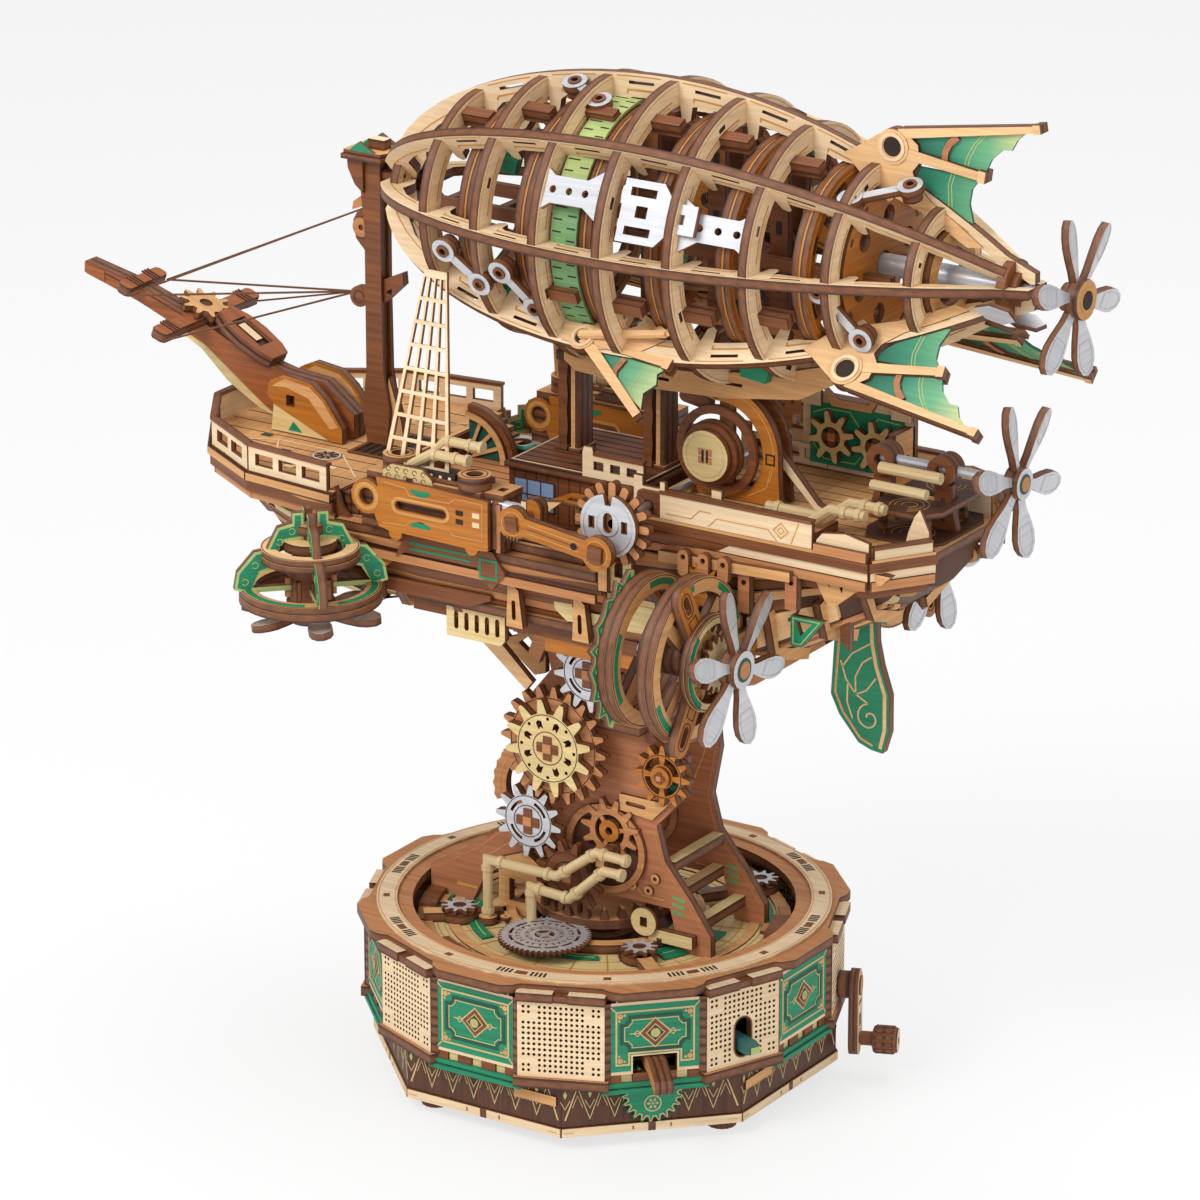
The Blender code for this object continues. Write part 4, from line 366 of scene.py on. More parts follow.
class Work:
    """Sheets, bars and turned pieces gathered into one object; all sizes here are in millimetres."""

    def __init__(self, name, body, replaces=(), slot=None):
        self.name, self.body, self.stands_for, self.slot = name, body, replaces, slot
        self.verts, self.faces, self.marks, self.maps, self.tints = [], [], [], [], []
        self.looks = []
        self.sheets = 0
        self.side = Matrix.Identity(4)

    def look_index(self, key):
        if key not in self.looks:
            self.looks.append(key)
        return self.looks.index(key)

    def face(self, corners, key, places, tints=None):
        self.faces.append(corners)
        self.marks.append(self.look_index(key))
        self.maps.extend(places)
        self.tints.extend(tints or [(0, 0)] * len(corners))

    def sheet(self, outline, thickness, place, look="pale", holes=(), edge="burnt", cross=False, tint=None):
        """Flat piece whose cut sides have their own finish."""
        loops = [list(outline), *[list(hole) for hole in holes]]
        flat = [point for loop in loops for point in loop]
        triangles = tessellate_polygon([[Vector((u, v, 0)) for u, v in loop] for loop in loops])
        base = len(self.verts)
        for w in (0, thickness):
            self.verts += [self.side @ place @ Vector((u, v, w)) for u, v in flat]
        self.sheets += 1
        shift_u, shift_v = self.sheets * 37.7 % 100, self.sheets * 61.3 % 90
        top = len(flat)
        for triangle in triangles:
            corners = list(triangle)
            if signed_area([flat[index] for index in corners]) < 0:
                corners.reverse()
            for order, lift in ((corners, top), (corners[::-1], 0)):
                places, tints = [], []
                for index in order:
                    u, v = flat[index]
                    pair = (v + shift_u, u + shift_v) if cross else (u + shift_u, v + shift_v)
                    places.append((pair[0] * MM, pair[1] * MM))
                    if tint:
                        tints.append((math.dist((u, v), tint[0]) / tint[1], 0))
                self.face([base + index + lift for index in order], look, places, tints)
        first = 0
        for number, loop in enumerate(loops):
            count = len(loop)
            keep = (signed_area(loop) > 0) == (number == 0)
            run = shift_u
            for index in range(count):
                after = (index + 1) % count
                length = math.dist(loop[index], loop[after])
                low, high = base + first + index, base + first + after
                quad = [low, high, high + top, low + top]
                places = [(run * MM, 0), ((run + length) * MM, 0), ((run + length) * MM, thickness / PLY),
                          (run * MM, thickness / PLY)]
                if not keep:
                    quad.reverse()
                    places.reverse()
                self.face(quad, edge, places)
                run += length
            first += count

    def wall(self, outline, thickness, y, look, holes=(), edge="burnt"):
        """Upright sheet along the ship, centred on y and facing -Y."""
        self.sheet(outline, thickness, upright(y, thickness), look, holes, edge)

    def layer(self, outline, thickness, z, look, holes=(), edge="burnt"):
        """Level sheet whose underside is at z."""
        self.sheet(outline, thickness, level(z), look, holes, edge)

    def line(self, points, width, place, w, look="black", closed=False, height=LINE):
        """Thin engraved or painted line on a face at height w; its sides have its own colour."""
        on_face = place @ level(w)
        if closed:
            outer, inner = rim_of(points, width / 2)
            self.sheet(outer, height, on_face, look, [inner], look)
        else:
            self.sheet(strip(points, width / 2), height, on_face, look, edge=look)

    def mark(self, outline, place, w, look, holes=(), height=LINE):
        self.sheet(outline, height, place @ level(w), look, holes, look)

    def both(self, points, width, place, look="tan", closed=False, thickness=PLY):
        """The same engraved line on the two faces of a sheet."""
        self.line(points, width, place, thickness, look, closed)
        self.line(points, width, place, -LINE, look, closed)

    def rings(self, sections, look):
        """Skin over rings of as many points each, with closed ends."""
        count = len(sections[0])
        base = len(self.verts)
        self.sheets += 1
        shift = self.sheets * 17.3 % 50
        for ring in sections:
            self.verts += [self.side @ Vector(point) for point in ring]
        run = shift
        for step in range(len(sections) - 1):
            length = (Vector(sections[step + 1][0]) - Vector(sections[step][0])).length
            for index in range(count):
                after = (index + 1) % count
                here, there = base + step * count, base + (step + 1) * count
                width = (Vector(sections[step][after]) - Vector(sections[step][index])).length
                places = [(run, index * width), (run, (index + 1) * width),
                          (run + length, (index + 1) * width), (run + length, index * width)]
                places = [(u * MM, v * MM) for u, v in places]
                self.face([here + index, here + after, there + after, there + index], look, places)
            run += length
        for ring, order in ((0, -1), (len(sections) - 1, 1)):
            corners = [base + ring * count + index for index in range(count)][::order]
            places = [(MM * math.cos(i), MM * math.sin(i)) for i in range(count)]
            self.face(corners, look, places)

    def lathe(self, profile, place, look, sides=20):
        """Turned piece: profile lists radius and height along w."""
        sections = []
        for radius, height in profile:
            ring = circle(max(radius, 0.01), sides)
            sections.append([place @ Vector((u, v, height)) for u, v in ring])
        self.rings(sections, look)

    def bar(self, start, end, radius, look, sides=10):
        length = (Vector(end) - Vector(start)).length
        self.lathe([(radius, 0), (radius, length)], between(start, end), look, sides)

    def tube(self, points, radius, look, sides=10):
        """Round bar along a run of points, mitred at the bends."""
        points = [Vector(point) for point in points]
        ways = [(b - a).normalized() for a, b in zip(points, points[1:])]
        side = ways[0].orthogonal().normalized()
        sections = []
        for index, point in enumerate(points):
            first = ways[max(index - 1, 0)]
            second = ways[min(index, len(ways) - 1)]
            way = (first + second).normalized()
            side = (side - way * side.dot(way)).normalized()
            other = way.cross(side)
            stretch = 1 / max(way.dot(second), 0.5)
            bend = (second - first)
            out = bend.normalized() if bend.length > 1e-4 else side
            ring = []
            for step in range(sides):
                u, v = polar(radius, 360 * step / sides)
                offset = side * u + other * v
                offset += out * offset.dot(out) * (stretch - 1)
                ring.append(point + offset)
            sections.append(ring)
        self.rings(sections, look)

    def finish(self):
        mesh = bpy.data.meshes.new(self.name)
        mesh.from_pydata([vert * MM for vert in self.verts], [], self.faces)
        mesh.polygons.foreach_set("material_index", self.marks)
        layer = mesh.uv_layers.new(name="sheet")
        layer.data.foreach_set("uv", [value for pair in self.maps for value in pair])
        if "membrane" in self.looks:
            layer = mesh.uv_layers.new(name="tint")
            layer.data.foreach_set("uv", [value for pair in self.tints for value in pair])
        for key in self.looks:
            mesh.materials.append(edge_material(key) if key in EDGES else face_material(key))
        shell = bmesh.new()
        shell.from_mesh(mesh)
        bmesh.ops.recalc_face_normals(shell, faces=shell.faces)
        shell.to_mesh(mesh)
        shell.free()
        mesh.shade_smooth()
        mesh.set_sharp_from_angle(angle=math.radians(32))
        item = bpy.data.objects.new(self.name, mesh)
        bpy.context.scene.collection.objects.link(item)
        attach(item, self.body)
        if self.stands_for:
            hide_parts(*self.stands_for)
        return item


def gear_shape(teeth, module, centre=(0, 0), phase=0, addendum=0.75, dedendum=1.15):
    pitch_r = module * teeth / 2
    half_pitch = math.pi * module / 2
    stations = ((-0.58, -dedendum), (-0.30, 0.2), (-0.17, addendum), (0.17, addendum), (0.30, 0.2),
                (0.58, -dedendum))
    points = []
    for tooth in range(teeth):
        middle = math.radians(phase + 360 * tooth / teeth)
        for share, reach in stations:
            angle = middle + share * half_pitch / pitch_r
            radius = pitch_r + reach * module
            points.append((centre[0] + radius * math.cos(angle), centre[1] + radius * math.sin(angle)))
    return points


# Drum levels and radii
DRUM_R = 75
GREEN_FACE = DRUM_R * math.cos(math.radians(12))
PALE_FACE = 74.9
SKIRT_FACE = 68.8
WALL_LOW, WALL_HIGH = 20.1, 45.3
RIM_LOW, RIM_HIGH = 47.1, 50.1
DISC_TOP = 43.5


def foot_pieces():
    work = Work("drum_feet_trim", "drum", slot="tan_ply")
    for index in range(4):
        u, v = polar(64, -22.5 + 90 * index)
        place = Matrix.Translation((u, v, -4.5))
        sections = []
        for radius, z in ((4.6, 0), (4.9, 0.5), (4.9, 3.9), (4.6, 4.5)):
            ring = []
            for step in range(32):
                flute = radius * (1 if step % 2 else 0.95)
                ring.append(place @ Vector((*polar(flute, 360 * step / 32), z)))
            sections.append(ring)
        work.rings(sections, "brown")
    for index in range(8):
        place = spoke(45 * index, 68.9)
        for side in (-1, 1):
            low, high = sorted((side * 1.2, side * 28.4))
            work.sheet(box(low, 0.1, high, 2.9), 0.6, place, "pale", edge="pale_edge")
            work.mark(box(side * 6 - 0.2, 1, side * 6 + 0.2, 2.2), place, 0.6, "brown")
            work.mark(box(side * 26 - 2, 1.4, side * 26 + 1.2, 1.6), place, 0.6, "tan")
    work.finish()


def skirt_pieces():
    work = Work("skirt_panels", "drum", ["skirt_wall"], "dark_ply")
    for index in range(8):
        place = spoke(45 * index, SKIRT_FACE - 3.2)
        work.sheet(box(-28.4, 3.3, 28.4, 19.8), 3.2, place, "walnut", cross=True)
        zigzag, echo = [], []
        for step in range(15):
            u = -27.3 + 3.9 * step
            zigzag.append((u, 16.4 if step % 2 else 5.6))
            echo.append((u, 13.6 if step % 2 else 8.4))
        work.line(zigzag, 0.55, place, 3.2, "gold")
        for step in range(14):
            u, v = echo[step]
            if step % 2:
                work.line([(u - 1.6, 9.6), (u, v), (u + 1.6, 9.6)], 0.22, place, 3.2, "gold")
            else:
                work.mark([(u, 12.6), (u + 0.6, 14), (u, 15.4), (u - 0.6, 14)], place, 3.2, "lime")
                work.line([(u - 1.5, 12), (u, 9.2), (u + 1.5, 12)], 0.22, place, 3.2, "gold")
    for index, side in ((-2, 1), (0, -1), (2, 1), (4, -1)):
        place = spoke(45 * index, SKIRT_FACE)
        low, high = sorted((side * 11.5, side * 27))
        work.sheet(box(low, 10.2, high, 13.4), 0.7, place, "tan")
    work.finish()


def ledge_pieces():
    """Green double ledges with a row of blocks, and the plates under the perforated panels."""
    work = Work("drum_ledges", "drum", slot="green_ply")
    for index in range(8):
        place = spoke(45 * index, SKIRT_FACE)
        work.sheet(box(-16.8, 15.3, 16.8, 16.7), 5.6, place, "green", edge="green_edge")
        work.sheet(box(-16.2, 16.7, 16.2, 17.1), 4.4, place, "brown")
        work.sheet(box(-16.2, 17.1, 16.2, 18.5), 5, place, "green", edge="green_edge")
        cuts = (-15.5, -10.5, -7, -1.8, 1.8, 7, 10.5, 15.5)
        for number, (u0, u1) in enumerate(zip(cuts, cuts[1:])):
            reach = 3.6 if number % 2 else 4.3
            work.sheet(box(u0 + 0.1, 18.5, u1 - 0.1, 21.3), reach, place, "cream" if number % 2 else "brown")
        turn = turned(22.5 + 45 * index)
        plate = [(64, -14.9), (75.9, -14.9), (75.9, 14.9), (64, 14.9)]
        work.sheet(plate, 3.3, turn @ level(16.6), "salmon")
    work.finish()


def clipped(half_u, low, high, clip):
    """Rectangle with stepped corners."""
    points = []
    for su, v, sv in ((1, low, 1), (1, high, -1), (-1, high, -1), (-1, low, 1)):
        corner = [(su * (half_u - clip), v), (su * (half_u - clip), v + sv * clip * 0.45),
                  (su * (half_u - clip * 0.45), v + sv * clip), (su * half_u, v + sv * clip)]
        if su * sv < 0:
            corner.reverse()
        points += corner
    return points


def rosette(work, place, w, centre, radius, look):
    """Small six-petal ornament."""
    work.line(circle(radius, 18, centre), radius * 0.16, place, w, look, True)
    for index in range(6):
        u, v = polar(radius * 0.50, 60 * index)
        petal = moved([(0, -0.26 * radius), (0.17 * radius, 0), (0, 0.26 * radius), (-0.17 * radius, 0)],
                      centre[0] + u, centre[1] + v, 60 * index + 90)
        work.mark(petal, place, w, look)
    work.mark(circle(radius * 0.14, 8, centre), place, w, look)


def panel_pieces():
    work = Work("drum_panels", "drum", ["body_wall"], "pale_ply")
    middle = (WALL_LOW + WALL_HIGH) / 2
    for index in range(8):
        degrees = 45 * index
        notch = degrees == 315
        place = spoke(degrees, GREEN_FACE - PLY)
        outline = box(-15.4, 21.3, 15.4, WALL_HIGH)
        if notch:
            outline = [(-15.4, 21.3), (-7, 21.3), (-7, 27.2), (7, 27.2), (7, 21.3), (15.4, 21.3),
                       (15.4, WALL_HIGH), (-15.4, WALL_HIGH)]
        work.sheet(outline, PLY, place, "pale")
        green = box(-14.3, 22.4, 14.3, 44.3)
        if notch:
            green = [(-14.3, 22.4), (-7.6, 22.4), (-7.6, 27.8), (7.6, 27.8), (7.6, 22.4), (14.3, 22.4),
                     (14.3, 44.3), (-14.3, 44.3)]
        work.mark(green, place, PLY, "green")
        low = 24.6
        inner = box(-12.2, low, 12.2, 42.2)
        if notch:
            inner = [(-12.2, 42.2), (-12.2, low), (-8.2, low), (-8.2, 28.4), (8.2, 28.4), (8.2, low),
                     (12.2, low), (12.2, 42.2)]
        work.line(inner, 0.55, place, PLY + LINE, "gold", True)
        for su in (-1, 1):
            for v0, v1 in ((22.4, low), (44.3, 42.2)):
                if not (notch and v0 < 30):
                    work.line([(su * 14.3, v0), (su * 12.2, v1)], 0.4, place, PLY + LINE, "gold")
            for v, sv in ((low, 1), (42.2, -1)):
                work.mark(circle(0.9, 8, (su * 11, v + sv * 1.4)), place, PLY + LINE, "tan")
                work.mark(circle(0.45, 6, (su * 9.6, v + sv * 1.1)), place, PLY + LINE, "tan")
                work.mark(circle(0.45, 6, (su * 11.3, v + sv * 2.9)), place, PLY + LINE, "tan")
        v0 = 29.2 if notch else 26.6
        field = clipped(10.6, v0, 40.4, 2.6)
        # The dark-green line round the clipped field is a painted shadow line.
        work.line(field, 1, place, PLY + LINE, "deep", True)
        work.line(clipped(9.6, v0 + 1, 39.4, 2.3), 0.28, place, PLY + 2 * LINE, "gold", True)
        centre = (v0 + 40.4) / 2
        work.line([(-8, centre), (8, centre)], 0.25, place, PLY + LINE, "gold")
        for su in (-1, 1):
            work.line([(su * 5.6, centre - 1), (su * 6.6, centre), (su * 5.6, centre + 1),
                       (su * 4.6, centre)], 0.28, place, PLY + 2 * LINE, "gold", True)
        for half, look in ((5.2, "gold"), (4.6, "brown"), (3.1, "gold"), (2.7, "walnut")):
            work.mark([(-half, centre), (0, centre - half * 0.98), (half, centre), (0, centre + half * 0.98)],
                      place, PLY + LINE * (6.5 - half), look)
        work.mark(circle(1.5, 14, (0, centre)), place, PLY + 0.65, "lime")
        rosette(work, place, PLY + 0.78, (0, centre), 1.1, "gold")
    lever_window, crank_hole = slot_shape(0, 25.4, 0, 32.2, 3.3, 8), circle(3, 16, (0, 26))
    windows = {337.5: (lever_window, 35.5), 22.5: (crank_hole, 29)}
    for index in range(8):
        degrees = 22.5 + 45 * index
        place = spoke(degrees, PALE_FACE - PLY)
        holes = []
        window, clear_top = windows.get(degrees, (None, 0))
        for column in range(-7, 8):
            for row in range(-6, 7):
                if abs(row) > 3 and not (abs(column) < 5 or (abs(column) > 5 and abs(row) > 4)):
                    continue
                u, v = column * 1.68, middle + row * 1.76
                touches = window and min(math.dist((u, v), point) for point in window) < 1
                if not touches and not (abs(u) < 4.6 and 22 < v < clear_top):
                    holes.append(circle(0.5, 8, (u, v)))
        if window:
            holes.append(window)
        work.sheet(box(-13.6, 20, 13.6, WALL_HIGH), PLY, place, "pale", holes)
        for side in (-1, 1):
            post = [(69, side * 13.6), (74.6, side * 13.6), (73.3, side * 15.3), (69, side * 15.3)]
            work.sheet(post, WALL_HIGH - 20, turned(degrees) @ level(20), "brown", edge="burnt")
        if window is lever_window:
            work.line(window, 0.5, place, PLY, "burnt_line", True)
    work.layer(circle(66, 32), 1, 22, "black", [circle(60, 32)])
    work.finish()


def rim_pieces():
    work = Work("drum_rim", "drum", ["top_ring"], "brown_ply")
    hole = circle(60.6, 64)
    outline = []
    for index in range(8):
        for offset, radius in ((-12.6, 74.4), (-11, 76.6), (-8.2, 78.2), (8.2, 78.2), (11, 76.6),
                               (12.6, 74.4)):
            outline.append(polar(radius, 45 * index + offset))
    work.layer(outline, PLY, RIM_LOW, "salmon", [hole])
    under = []
    for index in range(8):
        for offset in (-12, 12):
            under.append(polar(72.2, 45 * index + offset))
    work.layer(under, RIM_LOW - WALL_HIGH, WALL_HIGH, "brown", [circle(62, 48)])
    for index in range(8):
        turn = turned(22.5 + 45 * index)
        for side in (-1, 1):
            cap = [(69, side * 2.4), (76.6, side * 2.4), (76.6, side * 13.9), (69, side * 13.9)]
            work.sheet(cap, 3, turn @ level(WALL_HIGH + 0.1), "pale")
        middle = [(69, -2.4), (76, -2.4), (76, 2.4), (69, 2.4)]
        work.sheet(middle, 2.2, turn @ level(WALL_HIGH + 0.1), "brown")
        place = spoke(45 * index, 72)
        for u in (-12, 0, 12):
            work.sheet(box(u - 0.25, 45.4, u + 0.25, 47.1), 1.4, place, "pale")
    work.finish()
    ring = Work("pale_track", "drum", ["pale_ring"], "cream_ply")
    ring.layer(circle(72, 96), 1, RIM_HIGH, "pale", [circle(65.5, 96)], edge="pale_edge")
    ring.line(circle(71.4, 96), 0.25, level(RIM_HIGH), 1, "tan", True)
    ring.line(circle(66.1, 96), 0.25, level(RIM_HIGH), 1, "tan", True)
    for index in range(8):
        degrees = 45 * index + 11
        ring.mark(band(67.6, 69.9, degrees - 1.6, degrees + 1.6, 3), level(RIM_HIGH), 1, "brown")
        for side in (-1, 1):
            for step in range(4):
                middle = degrees + side * (2.9 + 1.15 * step)
                ring.mark(band(67.2, 70.2, middle - 0.28, middle + 0.28, 1), level(RIM_HIGH), 1, "black")
        degrees += 22.5
        ring.mark(band(67.8, 69.8, degrees - 1, degrees + 1, 2), level(RIM_HIGH), 1, "brown")
    ring.finish()


def badge_pieces():
    """Round toothed badge under the switch lever."""
    work = Work("drum_badge", "drum", slot="green_ply")
    place = spoke(-45, SKIRT_FACE)
    centre = (0, 13.2)
    work.sheet(gear_shape(22, 0.86, centre, 4), 1.6, place, "green", edge="green_edge")
    work.line(gear_shape(22, 0.80, centre, 4), 0.3, place, 1.6, "gold", True)
    rosette(work, place, 1.6, (0, 9.6), 2.6, "gold")
    work.finish()


# Height of the balloon's axis and places of its ribs
AXIS_Z = 274.5
RIB_X = [-46 + 23.5 * index for index in range(7)]


def balloon_radius(x):
    """Outer radius of the balloon: an ellipse forward of its middle, a parabola aft of it, a straight tip."""
    if x < 25:
        return 46.5 * math.sqrt(max(1 - ((25 - x) / 103) ** 2, 0))
    if x < 141:
        return 46.5 * (1 - ((x - 25) / 130) ** 2)
    return 9.48 - (x - 141) * 0.40


def balloon_plane(degrees, thickness=PLY):
    """Sheet along a half-plane through the balloon's axis: u is X and v is the radius; 0 is the near side."""
    c = math.cos(math.radians(degrees))
    s = math.sin(math.radians(degrees))
    half = thickness / 2
    return Matrix(((1, 0, 0, 0), (0, -c, -s, s * half), (0, s, -c, AXIS_Z + c * half), (0, 0, 0, 1)))


def stringer_shape(end):
    """Outline with a rounded nose and inner lugs beside the ribs."""
    outer = []
    x = -74.3
    while x < end:
        outer.append((x, balloon_radius(x)))
        x += 2.5 if x < -55 else 6.5
    outer.append((end, balloon_radius(end)))
    inner = [(-74.3, 4), (-70.5, 3.2), (-66.5, 4.2), (-64.5, 8), (-64.8, 14), (-60, 19.2), (-54, 23.3)]
    for rib in RIB_X:
        depth = 7.4 if rib < 90 else 5.6
        low = balloon_radius(rib + 4.5) - depth
        inner += [(rib - 5, balloon_radius(rib - 5) - depth), (rib + 3.4, low - 0.4), (rib + 4, low - 4.6),
                  (rib + 5.6, low - 5.8), (rib + 7.2, low - 4.8), (rib + 7.8, low - 0.6),
                  (rib + 10, balloon_radius(rib + 10) - depth)]
    inner += [(114, balloon_radius(114) - 5.4), (128, balloon_radius(128) - 5),
              (end - 1.5, max(balloon_radius(end) - 4.4, 2.2)), (end, max(balloon_radius(end) - 4, 2.4))]
    return outer + inner[::-1]


def stringer_pieces(work):
    for index in range(8):
        degrees = 45 * index
        place = balloon_plane(degrees)
        outline = stringer_shape(150.5 if index % 2 == 0 else 143)
        holes = []
        for rib in RIB_X[:-1]:
            first, last = rib + 8.6, rib + 17.6
            if degrees in (315, 225) and -5 < rib < 30:
                continue
            height = balloon_radius(rib + 13) - 2.9
            slope = (balloon_radius(last) - balloon_radius(first)) / 9
            holes.append(moved(box(-4.5, -0.5, 4.5, 0.5), rib + 13.2, height, math.degrees(math.atan(slope))))
        work.sheet(outline, PLY, place, "pale", holes)
        for rib in RIB_X[:-1]:
            run = []
            for x in (rib + 8.2, rib + 8.4, rib + 13.5, rib + 19.6, rib + 20.4):
                edge = 3.6 if rib + 8.3 < x < rib + 20 else 4.8
                run.append((x, balloon_radius(x) - edge - 1.6))
            work.both(run, 0.55, place, "amber")
            run = [(x, balloon_radius(x) - 0.9) for x in (rib + 4.5, rib + 12, rib + 20)]
            work.both(run, 0.3, place, "amber")
        nose = [(x, balloon_radius(x) - 5.2) for x in (-71.5, -68, -63, -58, -52)]
        work.both(nose, 0.35, place, "amber")
        run = [(x, balloon_radius(x) - 2.6) for x in (104, 112, 120, 128)]
        work.both(run, 0.35, place, "amber")


def rib_pieces(work):
    for number, x in enumerate(RIB_X + [117]):
        outer = min(balloon_radius(x), balloon_radius(x + PLY)) - 0.6
        depth = 7.6 if number < 6 else 6.2
        axis = (0, AXIS_Z)
        place = across(x)
        holes = [circle(outer - depth, 48, axis)]
        for index in range(8):
            if (index + number) % 2 == 0:
                holes.append(band(outer - 4.4, outer - 2.9, 45 * index + 19, 45 * index + 24, 3, axis))
        work.sheet(circle(outer, 64, axis), PLY, place, "pale", holes)
        for index in range(8):
            middle = 45 * index + 22.5
            for radius, reach, width, look in ((outer - 1, 20, 0.3, "tan"), (outer - 5.4, 15, 0.5, "amber"),
                                               (outer - 6.5, 13, 0.25, "tan")):
                if radius > outer - depth + 0.4:
                    work.both(arc(radius, middle - reach, middle + reach, 8, axis), width, place, look)


def inner_rings(work):
    """Dark rings with an orange core, smaller than the ribs and between them."""
    axis = (0, AXIS_Z)
    for rib in RIB_X[:-1]:
        x = rib + 12.6
        outer = balloon_radius(x) * 0.80
        hole = [circle(outer - 4.6, 40, axis)]
        work.sheet(circle(outer, 48, axis), 2, across(x), "orange", hole)
        work.sheet(circle(outer - 0.5, 48, axis), 1, across(x + 2), "amber", hole, edge="amber")
        work.sheet(circle(outer, 48, axis), 2, across(x + 3), "orange", hole)
        work.line(circle(outer - 2, 40, axis), 0.6, across(x), 5, "amber", True)
        for index in range(8):
            middle = 45 * index + 22.5
            dash = band(outer - 3.7, outer - 2.8, middle - 6, middle + 6, 3, axis)
            work.mark(dash, across(x), 5 + LINE, "black")
        lift = (balloon_radius(rib) + outer - 10) / 2
        for index in range(4):
            turn = hoop_place(22.5 + 90 * index, lift)
            work.sheet(box(rib + PLY - 0.4, -2, x + 0.4, 2), 4.4, turn @ upright(2.2, 4.4), "brown")


def end_wheel(work):
    """Bored orange disc and collar at the aft end of the balloon."""
    axis = (0, AXIS_Z)
    x = 96.6
    outer = balloon_radius(x + 5) - 6.4
    holes = [circle(4.2, 16, axis)]
    for index in range(6):
        u, v = polar(outer * 0.62, 60 * index + 20)
        holes.append(circle(3.3, 10, (u, v + AXIS_Z)))
    work.sheet(circle(outer, 40, axis), 2, across(x), "orange", holes, edge="burnt")
    for index in range(12):
        u, v = polar(outer - 1.9, 30 * index)
        work.mark(moved(box(-1.2, -0.6, 1.2, 0.6), u, v + AXIS_Z, 30 * index + 90), across(x), 2, "walnut")
    work.sheet(circle(14, 32, axis), PLY, across(119), "amber", [circle(9, 24, axis)])


def tick_band(work):
    """Flexible strip with measuring ticks wrapped round the frame inside the ribs."""
    first, last = 5.4, 14.4
    count = 64
    radius = balloon_radius(10) - 8.6
    length = 2 * math.pi * radius / count + 0.06
    for step in range(count):
        middle = 360 * (step + 0.5) / count
        look = "lime" if 20 < middle < 160 else "sage"
        place = hoop_place(middle, radius) @ LAID
        work.sheet(box(first, -length / 2, last, length / 2), 0.9, place, look, edge=look)
        reach = 3 if step % 4 else 4.2
        for v, start in ((-0.7, first + 0.5), (0.7, last - 0.5 - reach)):
            for side in (0.9, -LINE):
                work.mark(box(start, v - 0.22, start + reach, v + 0.22), place, side, "black")


def silver_link(work, place, first, last, radius=4.2):
    """Two eyes joined by a narrow bar."""
    for centre in (first, last):
        work.sheet(circle(radius, 20, centre), 2.4, place, "silver", [circle(radius * 0.42, 10, centre)])
        work.sheet(circle(radius * 0.55, 12, centre), 0.5, place @ level(2.4), "brown",
                   [circle(radius * 0.3, 8, centre)])
        work.sheet(circle(radius * 0.8, 16, centre), 2.6, place @ level(-2.6), "brown")
    way = math.atan2(last[1] - first[1], last[0] - first[0])
    gap = radius * 0.85
    u0, v0 = first[0] + gap * math.cos(way), first[1] + gap * math.sin(way)
    u1, v1 = last[0] - gap * math.cos(way), last[1] - gap * math.sin(way)
    work.sheet(strip([(u0, v0), (u1, v1)], 1.5), 2, place, "silver")


# Turns a sheet so that it lies on the balloon's skin
LAID = Matrix(((1, 0, 0, 0), (0, 0, 1, 0), (0, -1, 0, 0), (0, 0, 0, 1)))


def hoop_place(degrees, radius):
    """Frame at this radius of the balloon, turned about its axis."""
    return level(AXIS_Z) @ turned(degrees, "X") @ Matrix.Translation((0, radius, 0))


def skin_plane(degrees, radius, lean=0):
    """Sheet that lies on the balloon's skin: u is X, v runs round the balloon and w points out."""
    return hoop_place(180 - degrees, radius) @ LAID @ turned(lean, "Y")


def plate_pieces(work):
    """Silver bridging plates between ribs and silver links."""
    for x, degrees in ((2.6, 25), (51.8, 20), (2.6, 200), (49.6, 160)):
        radius = (balloon_radius(x) + balloon_radius(x + 21)) / 2 - 4.6
        lean = math.degrees(math.atan((balloon_radius(x) - balloon_radius(x + 21)) / 21))
        shape = mirrored([(-1, -8), (4.5, -4.2), (16.5, -4.2), (22.5, -8)])
        place = skin_plane(degrees, radius) @ Matrix.Translation((x, 0, 0)) @ turned(lean, "Y")
        holes = [circle(1.2, 10, (u, 0)) for u in (4.6, 10.5, 16.4)]
        work.sheet(shape, 2, place, "silver", holes, edge="light_edge")
    for x, degrees in ((36, 22), (30, 205)):
        place = skin_plane(degrees, balloon_radius(x + 8) - 5.4) @ Matrix.Translation((x, 0, 0))
        shape = mirrored([(-5, -9.5), (8.5, -9.5), (12, -5.5)])
        holes = [box(-2.6, -7.2, 6.4, -4.6), box(-2.6, 4.6, 6.4, 7.2), box(0.2, -1.8, 4.2, 1.8)]
        work.sheet(shape, 2.4, place, "silver", holes)
        work.sheet(box(13, -4.5, 21, 4.5), 2, place, "silver", [box(14.5, -1.5, 17, 1.5)])
    links = ((70, 5, (-12, 9), (1, 2)), (-18, -2, (-30, 6), (-19, -4)), (-22, 0, (-12, 5), (-2.5, -7)),
             (68, 96, (0, -6), (15, 4)), (-14, 98, (-6, 4), (7, -10)), (120, 40, (0, 0), (13, 3)))
    for degrees, x, first, last in links:
        radius = balloon_radius(x) - 6.5
        silver_link(work, skin_plane(degrees, radius) @ Matrix.Translation((x, 0, 0)), first, last, 3.9)


def membrane(work, outline, place, root, length):
    """Scalloped web whose colour fades from the root outwards."""
    work.sheet(outline, 1, place @ level(1), "membrane", edge="membrane", tint=(root, length))


